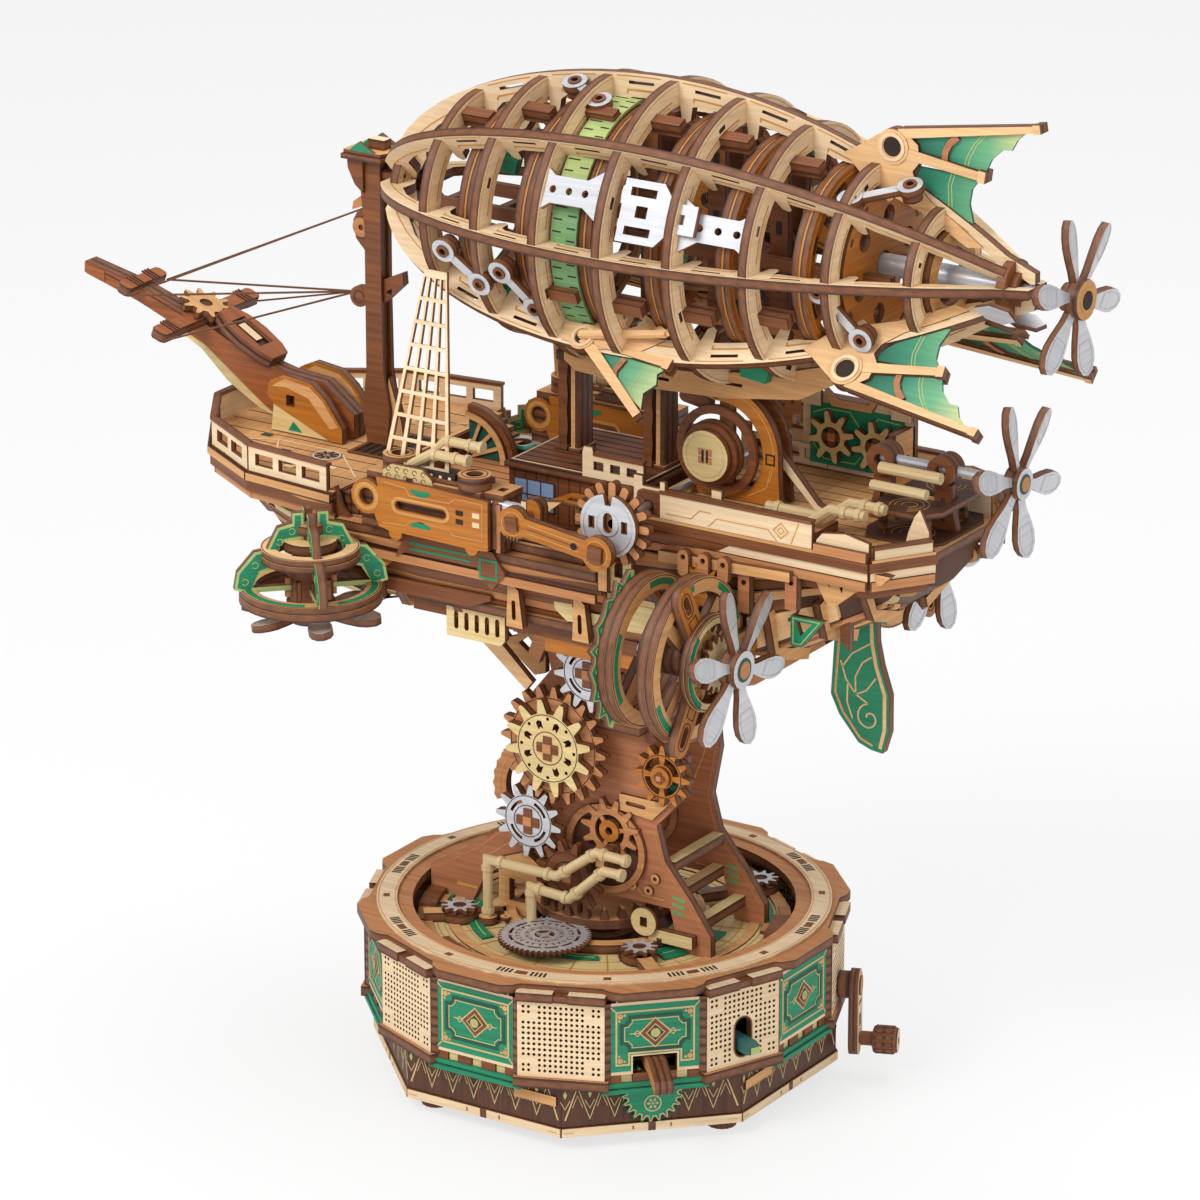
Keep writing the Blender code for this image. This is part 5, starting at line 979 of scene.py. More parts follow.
def spar(work, place, start, end, w0, w1, knob=True):
    way = math.atan2(end[1] - start[1], end[0] - start[0])
    nx, ny = -math.sin(way), math.cos(way)
    shape = [(start[0] - nx * w0 / 2, start[1] - ny * w0 / 2), (end[0] - nx * w1 / 2, end[1] - ny * w1 / 2),
             (end[0] + nx * w1 / 2, end[1] + ny * w1 / 2), (start[0] + nx * w0 / 2, start[1] + ny * w0 / 2)]
    work.sheet(shape, 4.2, place @ level(-0.6), "peach")
    if knob:
        cap = moved(box(-1.6, -w1 * 0.7, 0.8, w1 * 0.7), *end, math.degrees(way))
        work.sheet(cap, 4.8, place @ level(-0.9), "peach")


def boss(work, place, centre, radius):
    work.sheet(circle(radius, 28, centre), 4.6, place @ level(-0.8), "peach",
               [circle(radius * 0.56, 18, centre)])
    for side in (3.8, -0.8 - LINE * 3):
        work.sheet(circle(radius * 0.82, 24, centre), LINE * 3, place @ level(side), "pale",
                   [circle(radius * 0.62, 18, centre)], edge="amber")
    work.sheet(circle(radius * 0.57, 18, centre), PLY + 1, place @ level(-0.5), "black", edge="black")


def tail_fins(work):
    for degrees in (90, -45, 225):
        place = balloon_plane(degrees)
        body = [(85.5, 33), (90, 35.4), (96.2, 39.6), (99, 41.2), (106, 42), (110.5, 38.6), (111, 33.2),
                (108.8, 30.4), (110, 27), (115.5, 21.9), (124, 16.9), (133, 11), (128, 10), (112, 18.5),
                (94, 24.5)]
        work.sheet(body, PLY + 0.8, place @ level(-0.4), "peach")
        first = [(108, 40), (146, 47.4), (143, 44.6), (141.2, 41.2), (138.2, 41), (134.6, 37.6),
                 (132.8, 33.6), (108, 36.6)]
        second = [(110, 31.8), (131, 31.2), (128.2, 27.6), (127.4, 23), (128.8, 17.2), (122, 19.6),
                  (113.5, 25.2), (109.8, 29)]
        membrane(work, first, place, (104, 36), 42)
        membrane(work, second, place, (104, 34), 40)
        spar(work, place, (104, 41.2), (150.6, 49.3), 3, 2)
        spar(work, place, (106, 35.6), (132.6, 32.2), 3.4, 2.6)
        link = [(123.6, 43), (121, 40.6), (119.6, 38), (119.3, 34.6)]
        work.sheet(strip(link, 1), PLY, place, "pink")
        for shift in (0, 1.1):
            for run in ([(131.6 + shift, 44.8), (128.4 + shift, 41), (126.2 + shift, 36.8),
                         (125.6 + shift, 34)], [(121.4 + shift, 31.4), (120.2 + shift, 27.6),
                                                (120.6 + shift, 21.2)]):
                for side in (2, 1 - LINE):
                    work.line(run, 0.32, place, side, "lime")
        boss(work, place, (102, 37), 5.4)


def side_wings(work):
    for degrees in (-45, 225):
        place = balloon_plane(degrees)
        root = [(6, 44), (10, 46), (20, 45.6), (34, 43.6), (40, 39), (4, 39)]
        work.sheet(root, PLY + 0.8, place @ level(-0.4), "peach")
        web = [(16, 46.6), (41.2, 61.8), (39.6, 56.6), (42.6, 53), (41.4, 49.6), (43.4, 47.6), (20, 45.4)]
        membrane(work, web, place, (10, 42), 36)
        spar(work, place, (13, 43), (41.6, 64.6), 3.6, 2.6, False)
        spar(work, place, (15, 43), (44.6, 46.4), 2.8, 2.6)
        for shift in (0, 1):
            for side in (2, 1 - LINE):
                vein = [(34.6 + shift, 57.4), (35.8 + shift, 52), (36 + shift, 47)]
                work.line(vein, 0.3, place, side, "lime")
        link = [(29, 55.2), (27.6, 51.6), (29.2, 47)]
        work.sheet(strip(link, 0.9), PLY, place, "pink")
        boss(work, place, (12.6, 42.8), 4.4)
        side = -1 if degrees < 0 else 1
        low, high = (12, side * 32.5, 246.5), (43, side * 33, 252)
        inner, back = (20, side * 15, 251), (44, side * 14, 254)
        for start, end in ((low, inner), (low, high), (inner, back), (high, back), (inner, high),
                           ((27, side * 32.7, 249), inner), ((27, side * 32.7, 249), back)):
            work.bar(start, end, 1.3, "peach", 4)


def balloon_core(work):
    """Beams, posts and wheels inside the balloon."""
    for side in (-1, 1):
        work.wall(box(-58, 270.5, 108, 274.5), PLY, side * 11, "brown")
        work.wall(box(-40, 252, 92, 255), PLY, side * 15, "salmon")
    for x in (-52, -33, -10, 14, 38, 60, 84):
        work.sheet(box(-11, 271, 11, 274), PLY, across(x), "walnut")
    for x, top in ((-10.8, 305), (20.2, 309), (44, 308), (66, 303)):
        low = 232 if x < 30 else 250
        for y in (-5, 5):
            work.wall(box(x - 3, low, x + 3, top), PLY, y, "brown")
        for z in (low + 12, low + 30, low + 48):
            work.mark(box(x - 1, z, x + 1, z + 4), upright(-5), PLY, "black")
    for x, z, radius, look in ((-20, 262, 12, "salmon"), (30, 285, 13, "orange"), (56, 268, 15, "brown"),
                               (80, 285, 9, "orange")):
        holes = [circle(radius * 0.22, 12, (x, z))]
        for index in range(5):
            u, v = polar(radius * 0.6, 72 * index)
            holes.append(circle(radius * 0.2, 8, (x + u, z + v)))
        work.wall(circle(radius, 32, (x, z)), PLY, 0, look, holes)
        work.both(circle(radius * 0.86, 28, (x, z)), 0.4, upright(0), "black", True)
    for x, y, z in ((-30, -9, 290), (-28, -12, 250), (86, 12, 292), (62, -12, 240), (30, 16, 300),
                    (60, 14, 298)):
        shape = [(-5, -4), (4, -5), (6, 2), (1, 6), (-5, 4)]
        work.wall(moved(shape, x, z), PLY, y, "green", edge="green_edge")
    work.bar((94, 0, AXIS_Z), (146, 0, AXIS_Z), 3.4, "silver", 20)
    work.lathe([(8.6, 0), (8.6, 3), (5.5, 3), (5.5, 5)], disc_place(141, 0, AXIS_Z), "brown")
    for degrees in (67, 113, 22, 158):
        leaf = [(137, 0), (141, 2.8), (147, 3.2), (152, 0.8), (150, -2.2), (143, -2.6)]
        work.sheet(leaf, 1.6, skin_plane(degrees, 6.8, 8), "silver")
    belly = [(-8, 229.5), (-4, 226.6), (20, 225.4), (50, 227), (76, 231), (92, 240), (92, 245), (70, 238.5),
             (40, 233.5), (10, 231.5), (-8, 232.5)]
    for y in (-9, 9):
        holes = [box(x, z, x + 6, z + 1) for x, z in ((6, 228.8), (24, 228.8), (50, 231.4))]
        work.wall(belly, PLY, y, "tan", holes)


def nose_pieces(work):
    axis = (0, AXIS_Z)
    work.sheet(circle(11.5, 32, axis), PLY, across(-71.4), "pale", [circle(4.6, 20, axis)])
    work.both(circle(8.6, 28, axis), 0.5, across(-71.4), "amber", True)
    work.sheet(circle(6.6, 24, axis), 1.6, across(-74.5), "brown", [circle(3, 16, axis)])
    for index in range(8):
        u, v = polar(8.4, 22.5 + 45 * index)
        work.mark(circle(0.7, 8, (u, v + AXIS_Z)), across(-71.4), PLY, "walnut")


def balloon_pieces():
    work = Work("balloon_frame_plates", "turntable", ["balloon_frame"], "pale_ply")
    stringer_pieces(work)
    nose_pieces(work)
    tail_fins(work)
    side_wings(work)
    work.finish()
    ribs = Work("balloon_ribs", "turntable", [f"rib_{index}" for index in range(1, 8)], "pale_ply")
    rib_pieces(ribs)
    inner_rings(ribs)
    tick_band(ribs)
    ribs.finish()
    core = Work("balloon_core", "turntable", slot="brown_ply")
    end_wheel(core)
    plate_pieces(core)
    balloon_core(core)
    core.finish()


def gear_face(work, place, centre, teeth, module, phase, look, holes=(), thickness=PLY, edge="burnt"):
    """Toothed sheet with a thin line round the root of its teeth."""
    work.sheet(gear_shape(teeth, module, centre, phase), thickness, place, look, holes, edge)
    root = module * teeth / 2 - 1.35 * module
    work.line(circle(root, 32, centre), 0.22, place, thickness, "black", True)


def cross_hub(work, place, w, centre, radius, arm):
    """Crossed tenon of an axle let into a wheel."""
    for degrees in (0, 90):
        work.mark(moved(box(-radius, -arm, radius, arm), *centre, degrees), place, w, "brown", height=0.5)
    work.mark(moved(box(-arm, -arm, arm, arm), *centre), place, w + 0.5, "salmon", height=0.3)


def arc_slots(centre, radius, width, spans):
    return [band(radius, radius + width, first, last, 6, centre) for first, last in spans]


# Axles of the column's gears as x and z, and the middle of their sheets
PINION = (0, 63.9)
LOWER = (-14.7036, 79.7229)
BIG = (-5.3272, 106.9539)
UPPER = (7.2979, 132.8391)
ORANGE = (32, 103)
GEAR_Y = -19.8


def column_gears():
    plans = (("column_pinion", "brown", PINION, -75, "tan_ply"), ("lower_gear", "silver", LOWER, 145.8,
                                                                  "silver_ply"),
             ("upper_gear", "silver", UPPER, 7.1333, "silver_ply"))
    for body, look, centre, phase, slot in plans:
        work = Work(f"{body}_plate", body, [body], slot)
        holes = [] if look == "brown" else arc_slots(centre, 6.1, 1, ((20, 70), (110, 160), (200, 250),
                                                                      (290, 340)))
        gear_face(work, upright(GEAR_Y), centre, 12, 1.8, phase, look, holes, edge="burnt")
        work.line(circle(5.2, 24, centre), 0.25, upright(GEAR_Y), PLY, "black", True)
        cross_hub(work, upright(GEAR_Y), PLY, centre, 4.2, 1.5)
        work.finish()
    work = Work("big_gear_plates", "big_gear", ["big_gear"], "cream_ply")
    gear_face(work, upright(GEAR_Y), BIG, 20, 1.8, -18.88, "salmon")
    holes = []
    for index in range(8):
        petal = [(-1.5, -0.9), (0.9, -1.1), (1.6, 0), (0.9, 1.1), (-1.5, 0.9), (-0.7, 0)]
        u, v = polar(7.9, 45 * index + 22.5)
        holes.append(moved(petal, BIG[0] + u, BIG[1] + v, 45 * index + 22.5))
        u, v = polar(9.7, 45 * index)
        holes.append(circle(0.6, 8, (BIG[0] + u, BIG[1] + v)))
    front = upright(GEAR_Y - PLY)
    gear_face(work, front, BIG, 12, 2.35, -18.88, "cream", holes)
    work.line(circle(5.4, 24, BIG), 0.3, front, PLY, "brown", True)
    cross_hub(work, front, PLY, BIG, 3.9, 1.5)
    work.finish()
    work = Work("orange_gear_plates", "orange_gear", ["orange_gear"], "orange_ply")
    holes = arc_slots(ORANGE, 4, 2.4, ((10, 80), (100, 170), (190, 260), (280, 350)))
    gear_face(work, upright(-15.5), ORANGE, 12, 1.5, 0, "orange", holes)
    work.wall(circle(3.4, 16, ORANGE), 1.4, -17.7, "orange")
    cross_hub(work, upright(-17.7, 1.4), 1.4, ORANGE, 1.8, 0.8)
    work.finish()


def blade_shape(radius, root):
    """Paddle that widens outwards to a rounded tip."""
    points = [(1.2, root), (1.7, 0.35 * radius), (3.1, 0.56 * radius), (3.8, 0.72 * radius),
              (3.5, 0.85 * radius), (2.1, 0.96 * radius)]
    return points + [(0, radius)] + [(-u, v) for u, v in points[::-1]]


def propeller(work, place, radius, hub_r, back, front, pitch, face="silver", centre="salmon"):
    for index in range(6):
        blade = place @ turned(60 * index + 15) @ turned(pitch, "Y") @ level(-1.2)
        shape = blade_shape(radius, hub_r * 0.7)
        work.sheet(shape, 2.4, blade, "silver", edge="burnt")
        inner = [(u * 0.72, v * 0.93 + 1) for u, v in shape[2:-2]]
        work.line(inner, 0.2, blade, 2.4, "steel", True)
    work.sheet(circle(hub_r, 28), front - back, place @ level(back), "brown")
    work.sheet(circle(hub_r * 0.97, 28), 0.5, place @ level(front), face, edge="light_edge")
    work.mark(circle(hub_r * 0.62, 20), place, front + 0.5, "deep" if face == "silver" else "amber",
              height=0.2)
    work.mark(circle(hub_r * 0.46, 16), place, front + 0.7, centre, height=0.2)


# Axes of the side nacelles, the bow rotors and the stern propeller
NACELLE_Y, NACELLE_Z = 60, 162.5
ROTOR_X, ROTOR_Y = -67, 63
STERN_Z = 214.5


def propeller_pieces():
    work = Work("rear_propeller_blades", "rear_propeller", ["rear_propeller"], "silver_ply")
    place = disc_place(163.4, 0, AXIS_Z)
    propeller(work, place, 26, 6.2, -0.5, 3.1, 12, "amber", "black")
    work.sheet(circle(4.3, 20), 3, place @ level(-3.6), "salmon")
    work.bar((141.8, 0, AXIS_Z), (160, 0, AXIS_Z), 1.5, "silver")
    work.finish()
    work = Work("stern_propeller_blades", "stern_propeller", ["stern_propeller"], "silver_ply")
    place = disc_place(145, 0, STERN_Z)
    propeller(work, place, 26, 5, -2, 2.4, 12, "silver", "salmon")
    work.bar((99, 0, STERN_Z), (144, 0, STERN_Z), 1.5, "silver")
    work.finish()
    for label, side in SIDES:
        body, y = f"side_propeller_{label}", side * NACELLE_Y
        work = Work(f"{body}_blades", body, [body], "silver_ply")
        place = disc_place(85, y, NACELLE_Z)
        propeller(work, place, 26.6, 6, -2.6, 2.3, 12)
        work.bar((51, y, NACELLE_Z), (84, y, NACELLE_Z), 1.5, "silver")
        work.finish()
        body, y = f"bow_rotor_{label}", side * ROTOR_Y
        work = Work(f"{body}_blades", body, [body], "silver_ply")
        place = Matrix.Translation((ROTOR_X, y, 151.5)) @ turned(90)
        propeller(work, place, 23, 6.6, -2.3, 1.6, 8, "salmon", "brown")
        work.bar((ROTOR_X, y, 152), (ROTOR_X, y, 171.4), 1.5, "steel")
        work.finish()


def laminated_ring(work, place, outer, inner, thickness, look="salmon", arcs=(), count=48):
    """Ring of stacked sheets with coloured arcs on its faces."""
    hole = [circle(inner, count)]
    half = thickness / 2
    work.sheet(circle(outer, count), half, place, look, hole)
    work.sheet(circle(outer - 0.25, count), half, place @ level(half), look, hole)
    middle = (outer + inner) / 2
    for side in (thickness, -LINE):
        work.line(circle(outer - 0.7, count), 0.25, place, side, "black", True)
    for first, last in arcs:
        shape = band(middle - 0.9, middle + 1.1, first, last, 8)
        work.mark(shape, place, thickness, "green")


def nacelle_pieces():
    for label, side in SIDES:
        work = Work(f"side_nacelle_{label}_rings", "turntable", [f"side_nacelle_{label}"], "brown_ply")

        def at(x):
            return disc_place(x, side * NACELLE_Y, NACELLE_Z)

        laminated_ring(work, at(66.2), 25.6, 20.8, 5.2, "tan", ((200, 250), (15, 60), (95, 120)))
        laminated_ring(work, at(50.8), 23.7, 18.6, 5.4, "tan", ((150, 212), (60, 96)))
        laminated_ring(work, at(46.6), 20, 17.4, 2.6, "salmon")
        laminated_ring(work, at(60.6), 17, 13.6, 3, "pink")
        laminated_ring(work, at(74.4), 15, 12.2, 3, "cream", ((130, 236), (20, 70)))
        for index in range(4):
            turn = turned(45 + 90 * index)
            work.sheet(box(9, -2, 22.4, 2), PLY, at(67) @ turn, "tan")
            if index % 2 == 0:
                work.sheet(box(4, -2.4, 20.6, 2.4), PLY, at(52) @ turn, "salmon")
        work.sheet(gear_shape(18, 1.15), 3, at(71.6), "tan", [circle(4, 12)])
        work.sheet(gear_shape(16, 1), 2.4, at(76.6), "pipe")
        work.sheet(circle(6, 20), 20, at(54), "brown")
        for degrees in (118, 238, 358):
            place = at(72.2) @ turned(degrees if side < 0 else 180 - degrees) @ Matrix.Translation((19, 0, 0))
            hole = [slot_shape(2.6, 0, 6.6, 0, 1.4, 5)]
            work.sheet(slot_shape(-7, 0, 7.2, 0, 4, 7), 2.6, place, "orange", hole)
            work.line(slot_shape(2.4, 0, 6.8, 0, 2.2, 5), 0.25, place, 2.6, "black", True)
            work.line([(-9, -2), (-1, -2), (-1, 2), (-9, 2)], 0.25, place, 2.6, "black")
        outer, inner = [], []
        for step in range(29):
            degrees = 96 + 5 * step
            degrees = degrees if side < 0 else 180 - degrees
            wave = 1.4 * math.sin(step * 1.9) + 0.7 * math.sin(step * 3.7)
            outer.append(polar(25.4 + wave, degrees))
            inner.append(polar(20.8 + 0.5 * wave, degrees))
        place = at(49.4)
        work.sheet(outer + inner[::-1], 1.4, place, "lime")
        trimmed = sized(outer[1:-1], 0.972, 0.972) + sized(inner[-2:0:-1], 1.03, 1.03)
        work.mark(trimmed, place, 1.4, "green")
        middle = [((a[0] + b[0]) / 2, (a[1] + b[1]) / 2) for a, b in zip(outer[2:-2], inner[2:-2])]
        work.line(middle, 0.3, place, 1.4 + LINE, "lime")
        low, high = sorted((side * 33.5, side * 41))
        for z in (156.6, 164.4):
            work.layer(box(51, low, 63, high), PLY, z, "salmon")
        work.wall(box(51, 156, 63, 168), PLY, side * 39, "brown", [circle(2.6, 12, (57, 162))])
        work.finish()


def cage_pieces():
    for label, side in SIDES:
        work = Work(f"rotor_cage_{label}_plates", "turntable", [f"rotor_cage_{label}"], "brown_ply")

        def at(z):
            return Matrix.Translation((ROTOR_X, side * ROTOR_Y, z))

        laminated_ring(work, at(156), 22.2, 17.2, 4.6, "tan", ((215, 300), (-30, 40), (100, 160)))
        laminated_ring(work, at(169.4), 15.6, 11, 4, "peach")
        work.lathe([(7.6, 154.4), (7.6, 156), (6.6, 156.6), (6.2, 164), (7.6, 164.6), (7.6, 168.6), (3, 169)],
                   at(0), "brown", 20)
        for index in range(8):
            turn = at(0) @ turned(45 * index)
            work.sheet(box(6.4, 157.4, 8, 163.6), 1.6, turn @ upright(0, 1.6), "salmon")
        work.sheet(circle(8.4, 24), 3.2, at(172.6), "peach")
        work.sheet(circle(4.2, 20), 3, at(177.6), "salmon")
        work.sheet(circle(2.6, 12), 2, at(175.6), "brown")
        fin = [(3.4, 159.8), (20.4, 159.8), (24, 161), (23, 166.6), (17.6, 172.8), (13.6, 173.4),
               (10.2, 180.2), (5.6, 181.4), (5.6, 184.6), (2.2, 184.6), (2.2, 176), (9.4, 175.2),
               (10.8, 167.6), (15.6, 166), (18.4, 161.4), (3.4, 161.4)]
        for degrees in (45, 135, 225, 315):
            place = at(0) @ turned(degrees) @ upright(0, 2.6)
            work.sheet(fin, 2.6, place, "lime")
            core = [(19, 160.6), (23, 161.6), (22.2, 166.2), (17, 172), (13, 172.6), (9.7, 179.4), (5, 180.4),
                    (4.8, 183.8), (3, 183.8), (3, 177.2), (9, 176.4), (11.6, 168.4), (16.2, 166.8)]
            for w in (2.6, -LINE):
                work.mark(core, place, w, "green")
                for u, v in ((20.6, 163.4), (17.4, 168.6), (12.4, 170.6), (9.6, 175.6), (5.8, 178.8)):
                    work.line(arc(1, 30, 330, 8, (u, v)), 0.2, place, w + (LINE if w > 0 else -LINE), "lime")
        low, high = sorted((side * 38, side * 46))
        work.layer(box(-73, low, -61, high), PLY, 157.4, "salmon")
        work.bar((-67, side * 41, 168), (-67, side * 52, 165), 2, "brown", 8)
        work.finish()


# Middle of the engine's round front end as x and z
ENGINE_EYE = (-50.6, 190.4)


def engine_face(work, place, w):
    """Ringed eye, framed slot and two green lenses on a face of the engine."""
    work.line(circle(3.9, 18, ENGINE_EYE), 1.3, place, w, "amber", True)
    work.line(slot_shape(-38.6, 189.6, -22.6, 189.6, 2.3, 6), 0.9, place, w, "amber", True)
    for v, first in ((195.6, 180), (183.6, 0)):
        lens = [polar(1, first + 22.5 * step) for step in range(9)]
        work.mark([(-30.6 + 3.8 * c, v + 2 * s) for c, s in lens], place, w, "green")


def engine_pieces():
    for label, side in SIDES:
        work = Work(f"engine_{label}_plates", "turntable", [f"engine_{label}"], "orange_ply")
        place = upright(side * 55, 2)
        outline = [(-6, 180.8), (-6, 196.6), (-28, 197.4), (-47, 197.4)]
        outline += arc(5.6, 40, 300, 12, ENGINE_EYE) + [(-46, 181.6)]
        outline += arc(2.4, 170, 370, 6, (-40, 180.4)) + arc(2.4, 190, 350, 6, (-12, 180.8))
        holes = [circle(2.7, 16, ENGINE_EYE), slot_shape(-38.6, 189.6, -22.6, 189.6, 1.4, 6)]
        work.sheet(outline, 2, place, "orange", holes)
        outer = 2 if side < 0 else -LINE
        engine_face(work, place, outer)
        for u, v in ((-17.6, 187.6), (-17.6, 190.4), (-11.6, 187.6), (-11.6, 190.6)):
            work.mark(box(u, v, u + 2.6, v + 1.6), place, outer, "black" if u < -15 else "pale")
        work.line([(-44.6, 183), (-36, 183.6), (-34, 185.6), (-20, 185), (-18.6, 183.6), (-8, 183.6)], 0.3,
                  place, outer, "amber")
        work.line([(-44, 196.2), (-36, 195.6), (-34.6, 193.4), (-20, 193.6), (-18, 195.4), (-8, 195.4),
                   (-8, 184.6)], 0.3, place, outer, "amber")
        low, high = sorted((side * 41, side * 53.6))
        work.layer(box(-54, low, -8.6, high), 14.4, 180, "brown")
        work.wall(box(-4.6, 180, -3, 195.4), 12, side * 47.6, "pink")
        rod_hole = [circle(3, 16, (-51, 193.5))] if side < 0 else ()
        work.sheet(box(low, 181, high, 195.4), 2, across(-6.4), "amber", rod_hole)
        roof = [(-52, low), (-36, low), (-32, low - 0.6), (-10, low - 0.6), (-10, low + 1.4), (-3, low + 1.4),
                (-3, high), (-52, high)] if side < 0 else box(-52, low, -3, high)
        work.layer(roof, 2.4, 195.6, "tan", [box(-7.6, side * 47 - 1.6, -5, side * 47 + 1.6)])
        work.layer(box(-31, side * 47.6 - 5, -12, side * 47.6 + 5), 1.6, 198, "walnut")
        for x, y, radius, height in ((-44, 47, 5.4, 5.4), (-14.6, 50, 5.2, 4.6)):
            centre = (x, side * y)
            work.layer(circle(radius, 28, centre), height, 197.8, "tan", [circle(radius * 0.52, 16, centre)])
            work.line(circle(radius * 0.76, 24, centre), 0.2, level(197.8), height, "black", True)
        crest = [(-46, 195.4), (-45.4, 199.6), (-42.4, 201.8), (-31, 201.8), (-27.6, 199), (-26.6, 195.4),
                 (-34.6, 195.4), (-34.6, 198.4), (-37, 198.4), (-37, 195.4)]
        crest_place = upright(side * 53.4, 1.8)
        work.sheet(crest, 1.8, crest_place, "gold")
        for step in range(5):
            for row in range(2):
                work.line(arc(0.8, 0, 300, 7, (-43.4 + 3.2 * step, 198 + 2.3 * row)), 0.2, crest_place,
                          1.8 if side < 0 else -LINE, "brown")
        if side > 0:
            work.wall(outline, 2, 41.2, "orange", holes)
            engine_face(work, upright(41.2, 2), 2)
        y = side * 45.6
        for shift, lift in ((0, 0), (-3.4, -1.6)):
            reach = 0 if shift == 0 else -3
            high = 209.4 + 2.4 * lift
            run = [(-37 + reach, y + shift, 200), (-28 + reach, y + shift, high),
                   (-15 + reach, y + shift, high)]
            work.tube(run, 1.6, "pipe", 10)
            work.bar((-38.6 + reach, y + shift, 198.6), (-36.2 + reach, y + shift, 201), 2.1, "pipe")
            for x in (-27.4, -20, -15.6):
                work.bar((x + reach, y + shift, high), (x + 1.3 + reach, y + shift, high), 2, "pipe")
        comb_place = upright(side * 51.6, 1.2)
        work.sheet(box(-38, 198, -20.4, 201.4), 1.2, comb_place, "black", edge="black")
        for step in range(5):
            for w in (1.2, -LINE):
                work.mark(box(-36.4 + 3.4 * step, 199.2, -35.4 + 3.4 * step, 200.4), comb_place, w, "pale")
        keel = [(-44, 170.6), (-40, 178.4), (-8, 178.4), (-3.6, 172), (-8.6, 166), (-14, 172.6), (-40, 172.6)]
        keel_place = upright(side * 49.4, 2)
        work.sheet(keel, 2, keel_place, "brown")
        for v in (174, 176):
            work.line([(-38.6, v), (-16, v)], 0.7, keel_place, outer, "green")
        work.line(box(-12.6, 169.8, -6.6, 175.6), 0.7, keel_place, outer, "green", True)
        work.finish()


def pin_end(work, y, centre, size, degrees):
    """Square tenon end of a cross pin."""
    work.wall(moved(box(-size, -size, size, size), *centre, degrees), 1.4, y, "brown")


# Pins and axles of the piston drive as x and z
CROSSHEAD, CRANK_PIN = (8, 194.5), (38, 190.5)
DRIVE_WHEEL, FLYWHEEL = (38, 197.5), (48, 210.5)


def running_gear():
    work = Work("piston_plates", "piston", ["piston"], "silver_ply")
    work.bar((-19, -51, 194.5), (6, -51, 194.5), 1.8, "silver", 16)
    work.wall(box(5, 190.5, 6.8, 198.5), 6.4, -51, "pale")
    work.wall(slot_shape(8.6, 192.6, 8.6, 196.4, 3, 6), 4.6, -51.6, "orange")
    work.bar((8, -53, 194.5), (8, -64, 194.5), 1.5, "brown")
    pin_end(work, -64, CROSSHEAD, 2.1, 6)
    work.finish()
    work = Work("rod_plates", "connecting_rod", ["connecting_rod"], "orange_ply")
    small, big = CROSSHEAD, CRANK_PIN
    degrees = math.degrees(math.atan2(big[1] - small[1], big[0] - small[0]))
    outline = arc(5.2, degrees + 35, degrees + 325, 14, small) + arc(5.4, degrees - 145, degrees + 145, 14,
                                                                     big)
    place = upright(-62.2)
    work.sheet(outline, PLY, place, "orange", [circle(1.9, 12, small), circle(2.4, 14, big)])
    work.line(arc(3.7, degrees + 35, degrees + 325, 14, small), 0.35, place, PLY, "amber")
    work.line(arc(4, degrees - 145, degrees + 145, 14, big), 0.35, place, PLY, "amber")
    for shift in (-1.2, 0, 1.2):
        run = moved([(5.6, shift), (24, shift * 1.1)], *small, degrees)
        work.line(run, 0.3, place, PLY, "amber" if shift else "brown")
    work.mark(circle(1.2, 10, (30, 191.4)), place, PLY, "black")
    for step in range(5):
        dash = moved(box(-0.3, -6, 0.3, -4.2), small[0] - 1.8 + step * 1.2, small[1], degrees)
        work.mark(dash, place, PLY, "black")
    work.finish()
    work = Work("drive_wheel_plates", "drive_wheels", ["drive_wheels"], "silver_ply")
    centre = DRIVE_WHEEL
    work.bar((38, -55, 197.5), (38, 55, 197.5), 1.5, "steel")
    for side, y, face_y in ((-1, -53.5, -56.3), (1, 53.5, 55.6)):
        teeth = []
        for index in range(16):
            for u, v in ((8.6, -1.25), (12.4, -1.25), (13.1, -0.6), (13.1, 0.6), (12.4, 1.25), (8.6, 1.25)):
                teeth += moved([(u, v)], *centre, 22.5 * index)
        work.wall(teeth, PLY, y, "salmon")
        rim = arc(9.8, 100, 440, 68, centre) + moved([(1, 6.4), (-1, 6.4)], *centre)
        holes = [moved(box(u - 1.1, -1.5, u + 1.1, 2.3), *centre) for u in (-5.8, 5.8)]
        if side < 0:
            holes.append(slot_shape(38, 197, 38, 200, 1.7, 5))
        face = upright(face_y, 2)
        work.sheet(rim, 2, face, "silver", holes)
        outer = 2 if side < 0 else -LINE
        work.line(circle(3.9, 24, (38, 198.2)), 0.3, face, outer, "steel", True)
        work.line(arc(8.6, 105, 435, 32, centre), 0.25, face, outer, "steel")
    work.bar((38, -55, 190.5), (38, -63.4, 190.5), 1.5, "brown")
    pin_end(work, -64.4, CRANK_PIN, 2.4, -4)
    work.finish()
    work = Work("flywheel_plates", "flywheel", ["flywheel"], "pale_ply")
    centre = FLYWHEEL
    for radius, y, thickness, look in ((8, -17.4, 2.4, "cream"), (9.6, -15.2, 1.8, "brown"),
                                       (10.2, -13.3, 1.8, "brown"), (7.4, -11.4, 1.8, "tan")):
        work.wall(circle(radius, 36, centre), thickness, y, look)
    face = upright(-17.4, 2.4)
    work.line(circle(6.7, 28, centre), 0.3, face, 2.4, "gold", True)
    for u in (-1.3, 1.3):
        for v in (-1.3, 1.3):
            work.mark(moved(box(-1.1, -1.1, 1.1, 1.1), centre[0] + u, centre[1] + v), face, 2.4, "salmon")
    for u in (46.9, 48.4):
        work.mark(box(u, 208.6, u + 0.7, 212.4), face, 2.4 + LINE, "black")
    work.bar((48, -14, 210.5), (48, -6, 210.5), 1.5, "brown")
    work.finish()


